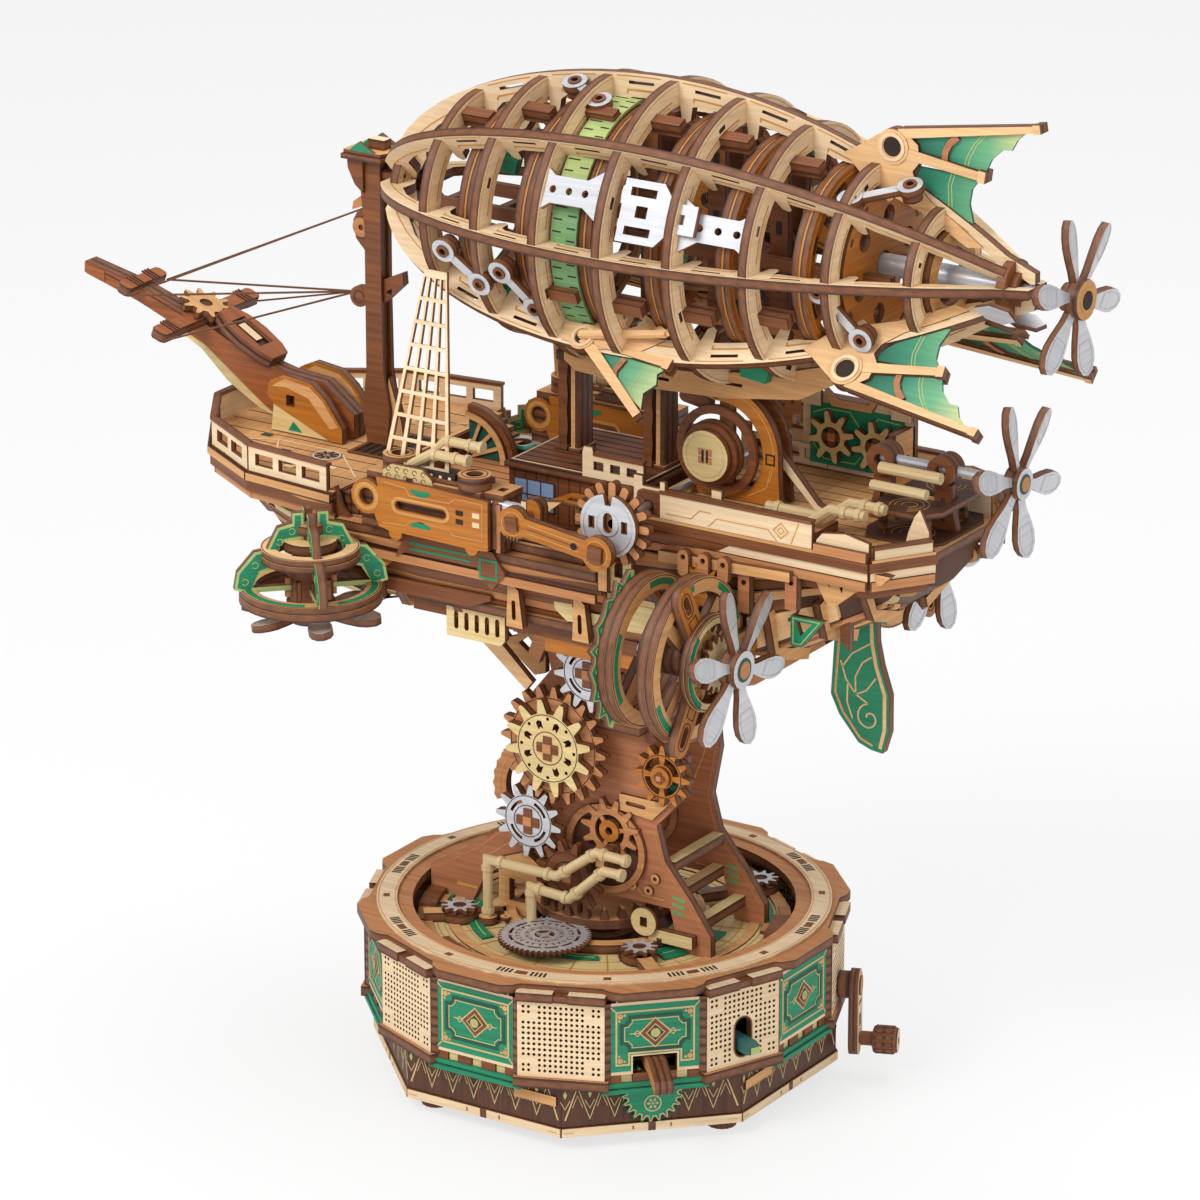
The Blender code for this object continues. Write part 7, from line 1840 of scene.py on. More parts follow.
def quarter_deck_pieces():
    work = Work("quarter_deck_plates", "turntable", ["quarter_deck"], "tan_ply")
    half = [(30.2, -38), (117, -38), (129, -20)]
    work.sheet(mirrored(half), 3, level(192), "tan", cross=True)
    top = 195
    for y in range(-30, 31, 6):
        work.line([(34, y), (122, y)], 0.22, FLAT, top, "walnut")
    plate = [(104, -18), (124, -18), (127.6, -12), (127.6, 12), (124, 18), (104, 18), (100, 10), (100, -10)]
    work.layer(plate, 0.8, top, "walnut")
    for radius in (3, 5.4, 7.6):
        for shift in (-9, 9):
            run = arc(radius, 20 + shift * 8, 290 + shift * 8, 16, (114, shift))
            work.line(run, 0.28, FLAT, top + 0.8, "amber")
    for work.side in (NEAR, FAR):
        for start, end in zip(half, half[1:]):
            place = plan_wall(start, end, 192)
            length = math.dist(start, end)
            work.sheet(box(-0.2, 0.2, length + 0.3, 3.2), 1.6, place, "brown")
            work.sheet(box(0.4, 3.3, length - 0.3, 4.2), 2.2, place @ level(-0.6), "tan")
            work.sheet(box(0.2, -2.6, length, -0.1), 1.8, place @ level(-1), "pale")
            work.sheet(box(0.4, -5.6, length - 0.4, -2.8), 2, place @ level(-0.6), "salmon")
            work.sheet(box(0.8, -9, length - 1.2, -6.2), 2, place @ level(-4), "brown")
        wall = plan_wall((45, -37.4), (98, -37.4), top)
        board = [(0, 0.6), (53, 0.6), (53, 9), (1.6, 9), (1.6, 12.6), (0, 12.6)]
        work.sheet(board, 1.8, wall, "pale")
        work.sheet(box(0, 9, 53, 10), 2.8, wall @ level(-0.5), "brown")
        for run in ([(2, 3), (11, 3), (14, 6), (18, 6)], [(17, 1.6), (20, 4.6), (38, 4.6), (41, 1.6)],
                    [(46, 1.6), (48.6, 8.4)]):
            work.line(run, 0.3, wall, 1.8, "amber")
        work.line([(45, 5), (42.4, 7.4), (39.8, 5), (42.4, 2.6)], 0.3, wall, 1.8, "amber", True)
        work.line([(43.6, 5), (42.4, 6.1), (41.2, 5), (42.4, 3.9)], 0.25, wall, 1.8, "amber", True)
        fence = plan_wall((31, -30), (62, -30), top)
        shape = [(0, 0.6), (31, 0.6), (31, 10.4), (27.6, 10.4), (27.6, 7.4), (3, 7.4), (3, 10.4), (0, 10.4)]
        work.sheet(shape, 1.8, fence, "pale", [box(u, 2.6, u + 4.2, 5.8) for u in (4.4, 10.6, 16.8, 23)])
        aft = plan_wall((99, -37.4), (117, -37.4), top)
        work.sheet([(0, 0.5), (18, 0.5), (18, 6), (10, 7.6), (2, 6.4), (0, 4)], 1.8, aft @ level(-1), "pale")
        work.sheet(box(0, 0.5, 18, 3.4), 1.8, aft @ level(0.8), "salmon")
        corner = plan_wall((117.4, -36.6), (128, -20.4), top)
        work.sheet([(0, 0.5), (19, 0.5), (19, 4.2), (0, 4.2)], 1.8, corner, "pale")
        work.sheet(box(0, 4.2, 19, 5), 2.6, corner @ level(-0.4), "brown")
        horn = [(118.4, 195), (126.6, 195), (126.6, 201), (123.4, 207.4), (121.6, 205), (119.6, 200)]
        work.wall(horn, 1.6, -18.6, "pale")
        work.wall([(33, 195), (44, 195), (44, 198), (42, 201.6), (34, 201.6)], PLY, -33, "brown",
                  [circle(1.9, 12, (38, 197.5))])
    work.side = NEAR
    for x0, x1 in ((94, 106), (115, 127)):
        middle = (x0 + x1) / 2
        post = [(x0 + 1, 195), (x1 - 1, 195), (middle + 3, 203), (middle + 3, 210), (middle - 3, 210),
                (middle - 3, 203)]
        work.wall(post, PLY, 0, "brown", [slot_shape(middle, 199, middle, 205, 0.8, 4)])
        for y, thickness, look in ((-2.5, 2, "brown"), (0, 3, "walnut"), (2.5, 2, "brown")):
            work.wall(circle(4.6, 24, (middle, 214.5)), thickness, y, look,
                      [circle(1.9, 14, (middle, 214.5))])
    shelf = mirrored([(104, -19), (122, -19), (127, -12)])
    work.layer(shelf, 1.6, 203.6, "walnut", [box(108, -3.4, 124, 3.4)])
    for shift in (-11, 11):
        for radius in (2.4, 4.4, 6):
            run = arc(radius, 20 + shift * 8, 300 + shift * 8, 16, (115, shift))
            work.line(run, 0.3, FLAT, 205.2, "amber")
        for x in (106, 121):
            work.layer(box(x - 1, shift - 1, x + 1, shift + 1), 8, 195.6, "brown")
    for y, x0, low in ((-20, 71, 199.4), (-26.6, 68, 198.8)):
        run = [(x0, y, low), (x0 + 21, y, low), (x0 + 29, y, low + 6), (x0 + 41, y, low + 6)]
        work.tube(run, 1.7, "pipe", 10)
        for x in (x0 + 3, x0 + 33, x0 + 38):
            lift = low if x < x0 + 21 else low + 6
            work.bar((x, y, lift), (x + 1.6, y, lift), 2.2, "pipe")
    work.bar((103, -8, 214), (124, -8, 214), 1.8, "pipe")
    work.bar((103, -13, 210), (122, -13, 210), 1.6, "pipe")
    for x in (92, 82, 74):
        work.layer(box(x, -30, x + 2, -17), 3, top, "salmon")
    work.finish()


def gear_panel_pieces():
    work = Work("gear_panel_plates", "turntable", ["gear_panel"], "green_ply")
    place = upright(32)
    low, high = 195.3, 219
    work.sheet(box(53, low, 92, high), PLY, place, "pale")
    front = place @ level(PLY)
    work.sheet(box(56, low + 1.6, 89, high - 2.6), 0.6, front, "green", edge="green")
    traces = ([(57, low + 8), (61, low + 3.4), (72, low + 3.4), (74, low + 6)],
              [(57, high - 6), (62, high - 4), (70, high - 4), (74, high - 9), (74, low + 10)],
              [(88, high - 5), (80, high - 4.4), (76.6, high - 8)], [(88, low + 4), (79, low + 3.4)])
    for run in traces:
        work.line(run, 0.35, front, 0.6, "lime")
    for centre in ((64.6, low + 11.4), (80.2, low + 10.6)):
        work.sheet(gear_shape(8, 1.75, centre, 12), 2.4, front @ level(0.6), "cream",
                   [circle(3.4, 18, centre)])
        cross_hub(work, front @ level(0.6), 1.4, centre, 4, 1.3)
    for u0, u1 in ((53, 60), (85, 92)):
        work.sheet(box(u0, high - 3.4, u1, high + 1.6), 1.4, front, "pale")
    crest = [(64, high - 2.6), (78, high - 2.6), (81, high + 2.6), (79, high + 2.6), (77, high - 0.4),
             (66, high - 0.4), (62, high + 2.6), (61, high + 2.6)]
    work.sheet(crest, 1.6, front, "tan")
    work.sheet(box(20, low, 31.6, 214), PLY, across(89), "tan", [box(23, 200, 28, 206)])
    work.finish()


def window_pane(work, place, u0, v0, u1, v1, look, bars):
    work.sheet(box(u0, v0, u1, v1), 0.4, place, "walnut")
    work.sheet(box(u0 + 0.5, v0 + 0.5, u1 - 0.5, v1 - 0.5), 0.2, place @ level(0.4), look, edge=look)
    for index in range(1, bars):
        u = u0 + (u1 - u0) * index / bars
        work.mark(box(u - 0.2, v0, u + 0.2, v1), place, 0.6, "walnut")
    middle = (v0 + v1) / 2
    work.mark(box(u0, middle - 0.2, u1, middle + 0.2), place, 0.6, "walnut")


def deck_house_pieces():
    work = Work("deck_house_plates", "turntable", ["deck_house"], "brown_ply")
    top = 197
    for y in (-18.75, 18.75):
        work.wall(box(-22, 178.8, 26, top), 2.5, y, "brown")
    for x in (-22, 23.5):
        work.sheet(box(-17.4, 178.8, 17.4, top), 2.5, across(x), "brown")
    work.layer(box(-23, -21.4, 27, 21.4), 1.6, top - 1.6, "walnut")
    work.layer(box(-21.8, -19.9, 25.8, 19.9), 0.6, top, "brown")
    for y in range(-18, 19, 4):
        work.line([(-21, y), (25, y)], 0.3, FLAT, top + 0.6, "black")
    for x in (-3, 8, 15):
        work.mark(box(x, -14, x + 3, -12.4), FLAT, top + 0.6, "black")
    for place in (upright(-19.75, 0.5), FAR @ upright(-19.75, 0.5)):
        for u in range(-20, 25, 4):
            work.line([(u, 179.4), (u, 195)], 0.25, place, 0.5, "black")
        window_pane(work, place @ level(0.5), -20, 182.6, -5, 192.6, "glass", 3)
        window_pane(work, place @ level(0.5), 2, 180.6, 12, 187.6, "amber_glass", 4)
    awning = [(0, -30), (16, -30), (14, -21), (2, -21)]
    work.layer(awning, 1.2, 190, "orange", [box(4, -27.6, 9, -25)])
    work.sheet(box(-17, 182, 17, 190), 0.6, across(25.9), "tan", [box(-12, 184, -6, 188),
                                                                  box(6, 184, 12, 188)])
    for x in (-10.8, 20.2):
        half = 4
        high = AXIS_Z - balloon_radius(x) + 3.6
        post = []
        for step in range(9):
            z = top - 1 + (high - top + 1) * step / 8
            post.append((x - 1, z) if step % 2 else (x - 0.6, z))
        work.wall([(x - half, top - 1)] + post + [(x - half, high)], 6.4, 0, "brown")
        work.wall(box(x - half - 0.5, high - 8, x - 0.4, high - 5), 7.4, 0, "walnut")
        work.wall(box(x + 1, top - 1, x + 2.6, high), 7.6, 0, "tan")
        work.wall(box(x + 2.6, top - 1, x + half, high), 8, 0, "walnut")
        work.layer(circle(4.4, 16, (x + 1.2, -0.4)), 2, high - 5.2, "walnut")
        work.layer(box(x - 5, -4.4, x - 0.2, 4.4), 1.6, top + 0.6, "brown")
        work.layer(box(x + 0.6, -4.6, x + 4.6, 4.6), 1.4, top + 0.6, "tan")
    work.line(box(-21.2, -19.3, 25.2, 19.3), 0.5, FLAT, top + 0.6, "pale", True)
    for y in (-19.4, 19.4):
        fence = [(5, top), (27, top), (27, 204), (9, 204.6), (8.4, 206.6), (5.6, 206.6), (5, 205)]
        work.wall(fence, 1.6, y, "pale", [box(u, 199.6, u + 3.6, 202.4) for u in (9, 15, 21)])
        work.wall(box(9, 204.2, 27, 205.2), 2.4, y, "brown")
    work.finish()


def mast_pieces():
    work = Work("mast_plates", "turntable", ["mast"], "brown_ply")
    x, low, high = -84, 186.8, 286
    body = [(x - 3, low), (x + 4.6, low), (x + 5.6, low + 12), (x + 3.4, low + 24), (x + 3, low + 52),
            (x + 3, high - 6), (x - 3, high - 6), (x - 4.6, high - 14), (x - 3, high - 30), (x - 3, low + 24),
            (x - 4.6, low + 10)]
    for y in (-2.3, 2.3):
        work.wall(body, 1.6, y, "brown")
    work.wall(box(x - 2.2, low, x + 2.2, high - 6), 3.4, 0, "walnut")
    work.wall([(x + 3.4, low), (x + 10, low), (x + 9, low + 8), (x + 4.4, low + 22)], PLY, 0, "tan")
    crook = [(x - 3, 248), (x - 7.4, 252.6), (x - 8.4, 258.4), (x - 6.4, 262), (x - 3, 262.6)]
    work.wall(crook, PLY, 0, "brown")
    work.wall(circle(3.2, 18, (x - 5, 256.6)), 4.4, 0, "salmon", [circle(1, 8, (x - 5, 256.6))])
    flag = [(x - 2.6, 264), (x - 9, 261.6), (x - 8.4, 264.4), (x - 3, 268.4)]
    work.wall(flag, 2.4, 0, "salmon")
    curve = [(x - 2.6, 282), (x - 8.6, 282), (x - 8.2, 276), (x - 5.6, 271), (x - 2.6, 268.6)]
    for y in (-3.6, 3.6):
        work.wall(curve, 1.6, y, "brown")
    nest = [(-9, -7), (6, -7), (9, 0), (6, 7), (-9, 7)]
    work.layer(moved(nest, x, 0), 1.6, 279.6, "brown")
    work.layer(moved(sized(nest, 0.92, 0.92), x, 0), 1.4, 281.2, "tan")
    for y in (-6, 0, 6):
        work.wall([(x - 6, 282.6), (x - 2.4, 285.6), (x + 1.6, 283.4), (x + 3.4, 282.6)], 1.4, y, "green")
    work.layer(box(x - 2, -2, x + 4, 2), 3.2, 282.6, "pale")
    scroll = [(x - 3, 232)] + arc(3.4, -60, -300, 12, (x - 6.6, 233.6))
    scroll += [(x - 3, 238), (x + 10, 244), (x + 10.4, 240), (x + 3, 233)]
    work.wall(scroll, PLY, 0, "brown", [[(x + 3.6, 236.6), (x + 6, 238.4), (x + 6, 235.9)]])
    work.both(arc(1.9, 0, 300, 10, (x - 6.6, 233.6)), 0.5, upright(0), "walnut")
    work.bar((x, 0, AXIS_Z), (-74.8, 0, AXIS_Z), 2, "brown")
    work.finish()


def bowsprit_pieces():
    work = Work("bowsprit_plates", "turntable", ["bowsprit"], "brown_ply")
    profile = [(-92, 186.8), (-118, 186.8), (-128, 193), (-150, 208.5), (-176, 218.5), (-196.5, 224.5),
               (-197, 228.5), (-176, 224), (-150, 215.5), (-132, 207.5), (-118, 204.5), (-104, 203.5),
               (-92, 194.5)]
    for y in (-1.6, 1.6):
        work.sheet(profile, 3, upright(y), "sienna")
    belly = [(-118, 186.8), (-130, 190.4), (-142, 197), (-152, 206), (-160, 210), (-158, 212.4),
             (-148, 207.6), (-128, 193)]
    work.wall(belly, PLY, 0, "cream")
    for side in (-1, 1):
        cheek = [(-92, 187), (-92, 191.6), (-98.6, 200.6), (-104, 204.8), (-114, 206), (-119.6, 203.4),
                 (-121, 199), (-118.6, 196), (-96.4, 187)]
        bevel = [(-93.6, 192), (-99.6, 200), (-104.6, 203.6), (-113.8, 204.8), (-119, 201.6), (-113, 202),
                 (-104.8, 199.8), (-96.6, 191)]
        y = side * 8.2
        place = upright(y)
        work.sheet(cheek, PLY, place, "orange", [box(-113.4, 196, -110.2, 199.6)])
        work.wall([(-118.6, 195.6), (-119.6, 187), (-97.4, 187)], 2.2, y, "cream")
        for w in (PLY, -LINE):
            work.mark(bevel, place, w, "tan")
        wedge = [(-113, 187.8), (-107.6, 187.8), (-111, 191)]
        work.mark(wedge, upright(y, 2.2), 2.2 if side < 0 else -LINE, "green")
    seat = [(-120, 187), (-120, 202.6), (-113, 202.6), (-97, 189.6), (-97, 187)]
    work.wall(seat, 13.2, 0, "brown")
    slide = Matrix.Translation((-113, 0, 202.6)) @ turned(39.1, "Y")
    slots = [box(2.6, v - 0.8, 15, v + 0.8) for v in (-3.4, 0, 3.4)]
    work.sheet(box(0.6, -6.4, 20, 6.4), 0.8, slide, "sienna", slots)
    slope = Matrix.Translation((-124, 0, 205.6)) @ turned(30, "Y")
    lid = mirrored([(0, -4.4), (-4, -6.2), (-12, -7.2), (-19, -6.4), (-25, -3.6)])
    work.sheet(lid, 2, slope @ level(-0.4), "walnut")
    work.sheet(sized(lid, 0.97, 0.93), 1.8, slope @ level(1.6), "sienna", [box(-19, -3.4, -6, 3.4)])
    for v in (-3.4, 2.6):
        work.sheet(box(-19, v, -6, v + 0.8), 0.6, slope @ level(2.2), "brown")
    work.sheet(box(-17, -1.6, -9, 1.6), 1.2, slope @ level(1.6), "pale")
    for x, reach, z, half in ((-177, 10.5, 222.5, 2.6), (-152, 26, 215.5, 3)):
        end = reach - 6
        arm = [(-half, -end + 2), (-half - 0.4, -end), (-half - 0.4, -reach + 1), (-half + 1, -reach),
               (half - 1, -reach), (half + 0.4, -reach + 1), (half + 0.4, -end), (half, -end + 2)]
        outline = sized(arm, 0.82, 1) + sized(arm, -0.82, -1)
        tilt = Matrix.Translation((x, 0, z)) @ turned(20, "Y")
        work.sheet(outline, 3.2, tilt, "sienna")
        for side in (-1, 1):
            for shift in (-1.4, 0, 1.4):
                v = side * (reach - 6.4) + shift
                work.sheet(box(-half - 0.2, v - 0.3, half + 0.2, v + 0.3), 0.5, tilt @ level(3.2), "brown")
    tilt = Matrix.Translation((-152, 0, 218.9)) @ turned(20, "Y")
    work.sheet(gear_shape(10, 1.5, (0, 0)), 2.6, tilt, "tan", [circle(2.2, 12)])
    work.sheet(circle(2.2, 12), 2, tilt, "walnut")
    work.wall([(-197, 225), (-196.8, 228), (-189, 226.4), (-189, 223)], 6.8, 0, "sienna")
    for x0, z0, x1, z1 in ((-192, 226.4, -180, 223.2), (-172, 221.4, -158, 216.6)):
        for side, w in ((-3.1, 0), (3.1, -LINE)):
            work.line([(x0, z0), (x1, z1)], 0.5, upright(side, 0), w, "walnut")
    work.finish()


def shroud_pieces():
    for label, side in SIDES:
        work = Work(f"shroud_{label}_net", "turntable", [f"shroud_{label}"], "pale_ply")
        lean = Matrix.Rotation(side * math.atan2(14.5, 58.7), 4, "X")
        place = Matrix.Translation((0, side * 48, 199.8)) @ lean @ upright(0, 1)
        low, high, rows, columns = (-49, -25), (-43, -35), 8, 4
        height = 60.46

        def at(s, t):
            left, right = (first + (last - first) * t for first, last in zip(low, high))
            return left * (1 - s) + right * s, height * t

        outline = [at(0, 0), at(1, 0), at(1, 1), at(0, 1)]
        holes = []
        for row in range(rows):
            t0, t1 = 0.02 + row / rows * 0.96, 0.02 + (row + 0.84) / rows * 0.96
            for column in range(columns):
                s0, s1 = 0.06 + column * 0.235, 0.06 + column * 0.235 + 0.175
                holes.append([at(s0, t0), at(s1, t0), at(s1, t1), at(s0, t1)])
        work.sheet(outline, 1.2, place, "pale" if side < 0 else "tan", holes, edge="light_edge")
        work.finish()


def turntable_pieces():
    work = Work("turntable_plates", "turntable", ["turntable_disc"], "pale_ply")
    top = DISC_TOP
    hole = [circle(22.4, 40)]
    work.layer(circle(59.2, 72), 4, top - 4, "cream", hole, edge="brown")
    for inner, outer, look, lift in ((54.6, 58.8, "tan", 0.7), (46.4, 49.6, "tan", 0.5),
                                     (26, 29, "tan", 0.5)):
        work.layer(circle(outer, 72), lift, top, look, [circle(inner, 72)])
    for radius in (24, 31.5, 38, 44, 51, 53):
        work.line(circle(radius, 64), 0.3, FLAT, top, "amber", True)
    for first, last, inner, outer in ((250, 318, 50.4, 53.6), (322, 352, 50.4, 53.6), (150, 214, 50.4, 53.6),
                                      (20, 70, 50.4, 53.6), (84, 140, 50.4, 53.6), (196, 240, 39, 43),
                                      (262, 300, 34, 37), (330, 372, 33, 41), (60, 120, 34, 41)):
        work.layer(band(inner, outer, first, last, 14), 0.7, top, "green", edge="green_edge")
        middle = (inner + outer) / 2
        work.line(arc(middle, first + 2, last - 2, 14), 0.35, FLAT, top + 0.7, "lime")
    for index in range(24):
        degrees = 15 * index + 4
        work.line([polar(30, degrees), polar(45.6, degrees)], 0.28, FLAT, top + LINE, "amber")
    for index in range(8):
        degrees = 45 * index + 12
        work.layer(band(53.4, 59, degrees, degrees + 16, 5), 2.4, top, "brown")
        work.layer(band(55.4, 59, degrees + 16, degrees + 26, 4), 1.4, top, "salmon")
        work.layer(band(51, 53.2, degrees + 4, degrees + 11, 4), 1.2, top, "salmon")
        work.layer(moved(box(-2, -1.2, 2, 1.2), *polar(36, degrees + 30), degrees + 30), 1.2, top, "walnut")
    work.lathe([(22.4, top - 4), (26.4, top - 4), (26.4, 36.2), (22.4, 36.2)], FLAT, "brown", 40)
    work.finish()


def arm_pieces():
    work = Work("deck_arm_plates", "turntable", ["deck_arms"], "brown_ply")
    low = 43.8
    work.layer(circle(32, 56), PLY, low, "tan", [circle(28, 56)])
    work.line(circle(30.9, 48), 0.25, level(low), PLY, "amber", True)
    pads = ((-37, -27), (29, -25), (31, 44), (-36, 38))
    for x, y in pads:
        degrees = math.degrees(math.atan2(y, x))
        radius = math.hypot(x, y)
        work.layer(moved(box(-0.5, -2.4, 57.2 - radius, 2.4), x, y, degrees), PLY, low, "tan")
        inner = min(radius, 33)
        neck = box(31 - radius if radius > 31 else 0, -2, 0.5, 2)
        work.layer(moved(neck, x, y, degrees), PLY, low, "brown")
        work.layer(circle(5.6, 20, (x, y)), PLY, low, "brown")
        work.layer(gear_shape(10, 1, (x, y)), 1.8, low + PLY, "silver", [circle(2.2, 14, (x, y))])
        work.layer(circle(2.2, 14, (x, y)), 1.3, low + PLY, "walnut")
        nail = polar(inner, degrees + 16)
        work.layer(circle(1.6, 12, nail), 1.2, low + PLY, "tan", [circle(0.6, 8, nail)])
    centre = (-0.8, -33.2)
    place = level(low + PLY + 0.1)
    work.sheet(circle(13, 40, centre), 0.8, place, "black", edge="black")
    rings = [(gear_shape(48, 0.59, centre), circle(11.4, 40, centre)),
             (circle(10.4, 40, centre), circle(9.2, 40, centre)), (circle(7.7, 32, centre),
                                                                   circle(6.5, 32, centre)),
             (circle(4.6, 24, centre), circle(3.2, 24, centre))]
    for outer, inner in rings:
        work.sheet(outer, 1.8, place, "silver", [inner])
    for index in range(12):
        degrees = 30 * index
        u, v = polar(8.9, degrees)
        work.sheet(moved(box(-3.2, -0.62, 3.2, 0.62), centre[0] + u, centre[1] + v, degrees), 1.7, place,
                   "silver", edge="light_edge")
        u, v = polar(5.5, degrees + 15)
        work.sheet(circle(1.3, 10, (centre[0] + u, centre[1] + v)), 1.7, place, "silver",
                   [circle(0.7, 8, (centre[0] + u, centre[1] + v))], edge="light_edge")
        u, v = polar(8.3, degrees + 15)
        work.sheet(moved([(-1.2, 0), (0, -1.1), (1.2, 0), (0, 1.1)], centre[0] + u, centre[1] + v,
                         degrees + 15), 1.7, place, "silver", edge="light_edge")
    work.sheet(circle(1.4, 12, centre), 1.7, place, "silver", edge="light_edge")
    for degrees in (0, 90):
        work.sheet(moved(box(-4, -0.4, 4, 0.4), *centre, degrees), 1.6, place, "silver", edge="light_edge")
    work.finish()


# Outline that both cheeks share, and the slots in it
CHEEK_FEET = [(-58, 43.8), (-42, 43.8), (-38, 51.8), (-32, 57.3), (32, 57.3), (36, 43.8), (47, 43.8),
              (47, 50.8), (40, 60.8), (30, 72.8), (27, 84)]
CHEEK_FRONT = [(-20, 96), (-26, 84), (-26, 74), (-40, 64), (-58, 52.8)]
CHEEK_VENTS = [slot_shape(33.4, 56.6 + 2.4 * index, 37, 55.9 + 2.4 * index, 0.6, 4) for index in range(3)]


def near_cheek_pieces():
    work = Work("near_cheek_plates", "turntable", ["near_cheek"], "pink_ply")
    outline = CHEEK_FEET + [(38, 96), (38, 109), (28, 114), (22, 124), (26, 144.7), (-16, 144.7), (-12, 128),
                            (-20, 118)] + CHEEK_FRONT
    place = upright(-10.5)
    front = place @ level(PLY)
    work.sheet(outline, PLY, place, "pink")
    for vent in CHEEK_VENTS:
        work.mark(vent, place, PLY, "sage")
    ring = (9, 73)
    work.sheet(circle(14.6, 36, ring), 1.6, front, "salmon", [circle(12.4, 32, ring)])
    work.mark(circle(12.4, 32, ring), place, PLY, "walnut")
    wheel, wheel_place = (11, 79.6), place @ level(PLY + 0.2)
    work.sheet(gear_shape(11, 1.7, wheel, 10), 2, wheel_place, "salmon", [circle(5.4, 20, wheel)])
    work.sheet(circle(3.6, 16, wheel), 2.4, wheel_place, "orange", [circle(1.4, 10, wheel)])
    for degrees in (10, 130, 250):
        u, v = polar(4.4, degrees)
        spoke_shape = moved(box(-1.6, -0.7, 1.6, 0.7), wheel[0] + u, wheel[1] + v, degrees)
        work.sheet(spoke_shape, 1.8, wheel_place, "salmon")
    curve = (-15, 87.5)
    outer = [polar(17.2 if step % 2 else 16.6, 98 + 6.4 * step) for step in range(17)]
    inner = [polar(12.2, 98 + 6.4 * step) for step in range(17)]
    work.wall(moved(outer + inner[::-1], *curve), PLY, -13.4, "salmon")
    work.line(arc(14.4, 102, 196, 12, curve), 0.3, upright(-13.4), PLY, "amber")
    foot = [(-30, 44), (-18, 44), (-14, 52), (-14, 62), (-20, 66), (-30, 62)]
    work.wall(foot, PLY, -13.6, "tan", [box(-26, 48.6, -20, 56)])
    work.layer(box(-12, -17.4, 24, 10), 2.7, 114.5, "tan")
    work.wall(box(-6, 116, 20, 144.7), 28.6, 5.6, "walnut")
    work.layer(box(-6.4, -8.8, 20.4, 10.9), 2.2, 124, "brown")
    work.layer(box(-6.4, -8.8, 20.4, 10.9), 2.2, 134, "salmon")
    for z in (118.6, 128, 137.8):
        work.sheet(box(-6, z, 8, z + 4.6), 0.6, across(20), "green", edge="green_edge")
    work.sheet(slot_shape(34, 103, 32, 103, 6.4, 8), 0.8, front, "salmon", [circle(2.4, 14, (31.6, 103))])
    work.sheet([(14, 87), (26, 86), (36.6, 97), (36.6, 101), (28, 92.4), (14, 92.4)], 1.2, front, "tan",
               [slot_shape(17, 89.8, 23, 89.6, 0.7, 4)])
    work.sheet([(24, 111.4), (36.6, 106.4), (36.6, 108.6), (27, 113.2), (21.6, 121.4), (19.6, 121.4)], 1.2,
               front, "brown")
    work.sheet([(27, 94.6), (35.6, 97.4), (35.6, 99.6), (29, 99)], 0.5, place @ level(PLY + 1.2), "green",
               edge="green")
    for x, z in ((30.6, 62), (33, 66.4), (24.6, 62.6)):
        work.sheet(circle(1.6, 14, (x - 6, z)), 1, front, "tan", [circle(0.7, 8, (x - 6, z))])
    work.line([(-36, 60.6), (-27.6, 66.8), (-20, 66.8), (-20, 72), (-8, 72)], 0.35, place, PLY, "tan")
    work.line([(30, 59.6), (22, 59.6), (19, 62.6), (6, 62.6)], 0.35, place, PLY, "tan")
    work.wall([(26, 46.6), (42, 46.6), (42, 50.6), (26, 50.6)], PLY, -13.5, "cream")
    centre = (25, 52.8)
    work.wall(circle(4.6, 24, centre), 1.6, -15.6, "cream", [moved(box(-1.3, -1.6, 1.3, 1.6), *centre)])
    for u0, u1, z in ((-48, -40, 48), (-36, -28, 57.6)):
        work.mark(box(u0, z, u1, z + 1), place, PLY, "amber")
    work.both([(-56.4, 51.6), (-40, 62.2), (-27.2, 72.6)], 0.4, place, "salmon")
    work.both([(45.4, 50.4), (38.6, 60), (28.6, 72.4), (25.8, 83.6)], 0.4, place, "salmon")
    radius = 1.6
    runs = ((-24.9, ((-27.6, 44), (-27.6, 65.2), (-1.6, 65.2), (13, 76.2), (25, 75.8))),
            (-25.2, ((-11, 44), (-11, 59.6), (3.2, 58.8), (16, 70.8), (23, 70.8))))
    for y, run in runs:
        points = [(x, y, z) for x, z in run]
        work.tube(points, radius, "pipe", 12)
        for here, there in zip(points, points[1:]):
            start, way = Vector(here), (Vector(there) - Vector(here))
            for share in ((0.16, 0.84) if way.length > 12 else (0.8,)):
                spot = start + way * share
                work.bar(spot, spot + way.normalized() * 1.5, radius + 0.5, "pipe")
        work.layer(circle(2.9, 14, points[0][:2]), 2.6, 43.6, "tan")
    work.wall(box(12, 71, 15, 76), 12, -17.6, "tan")
    work.finish()


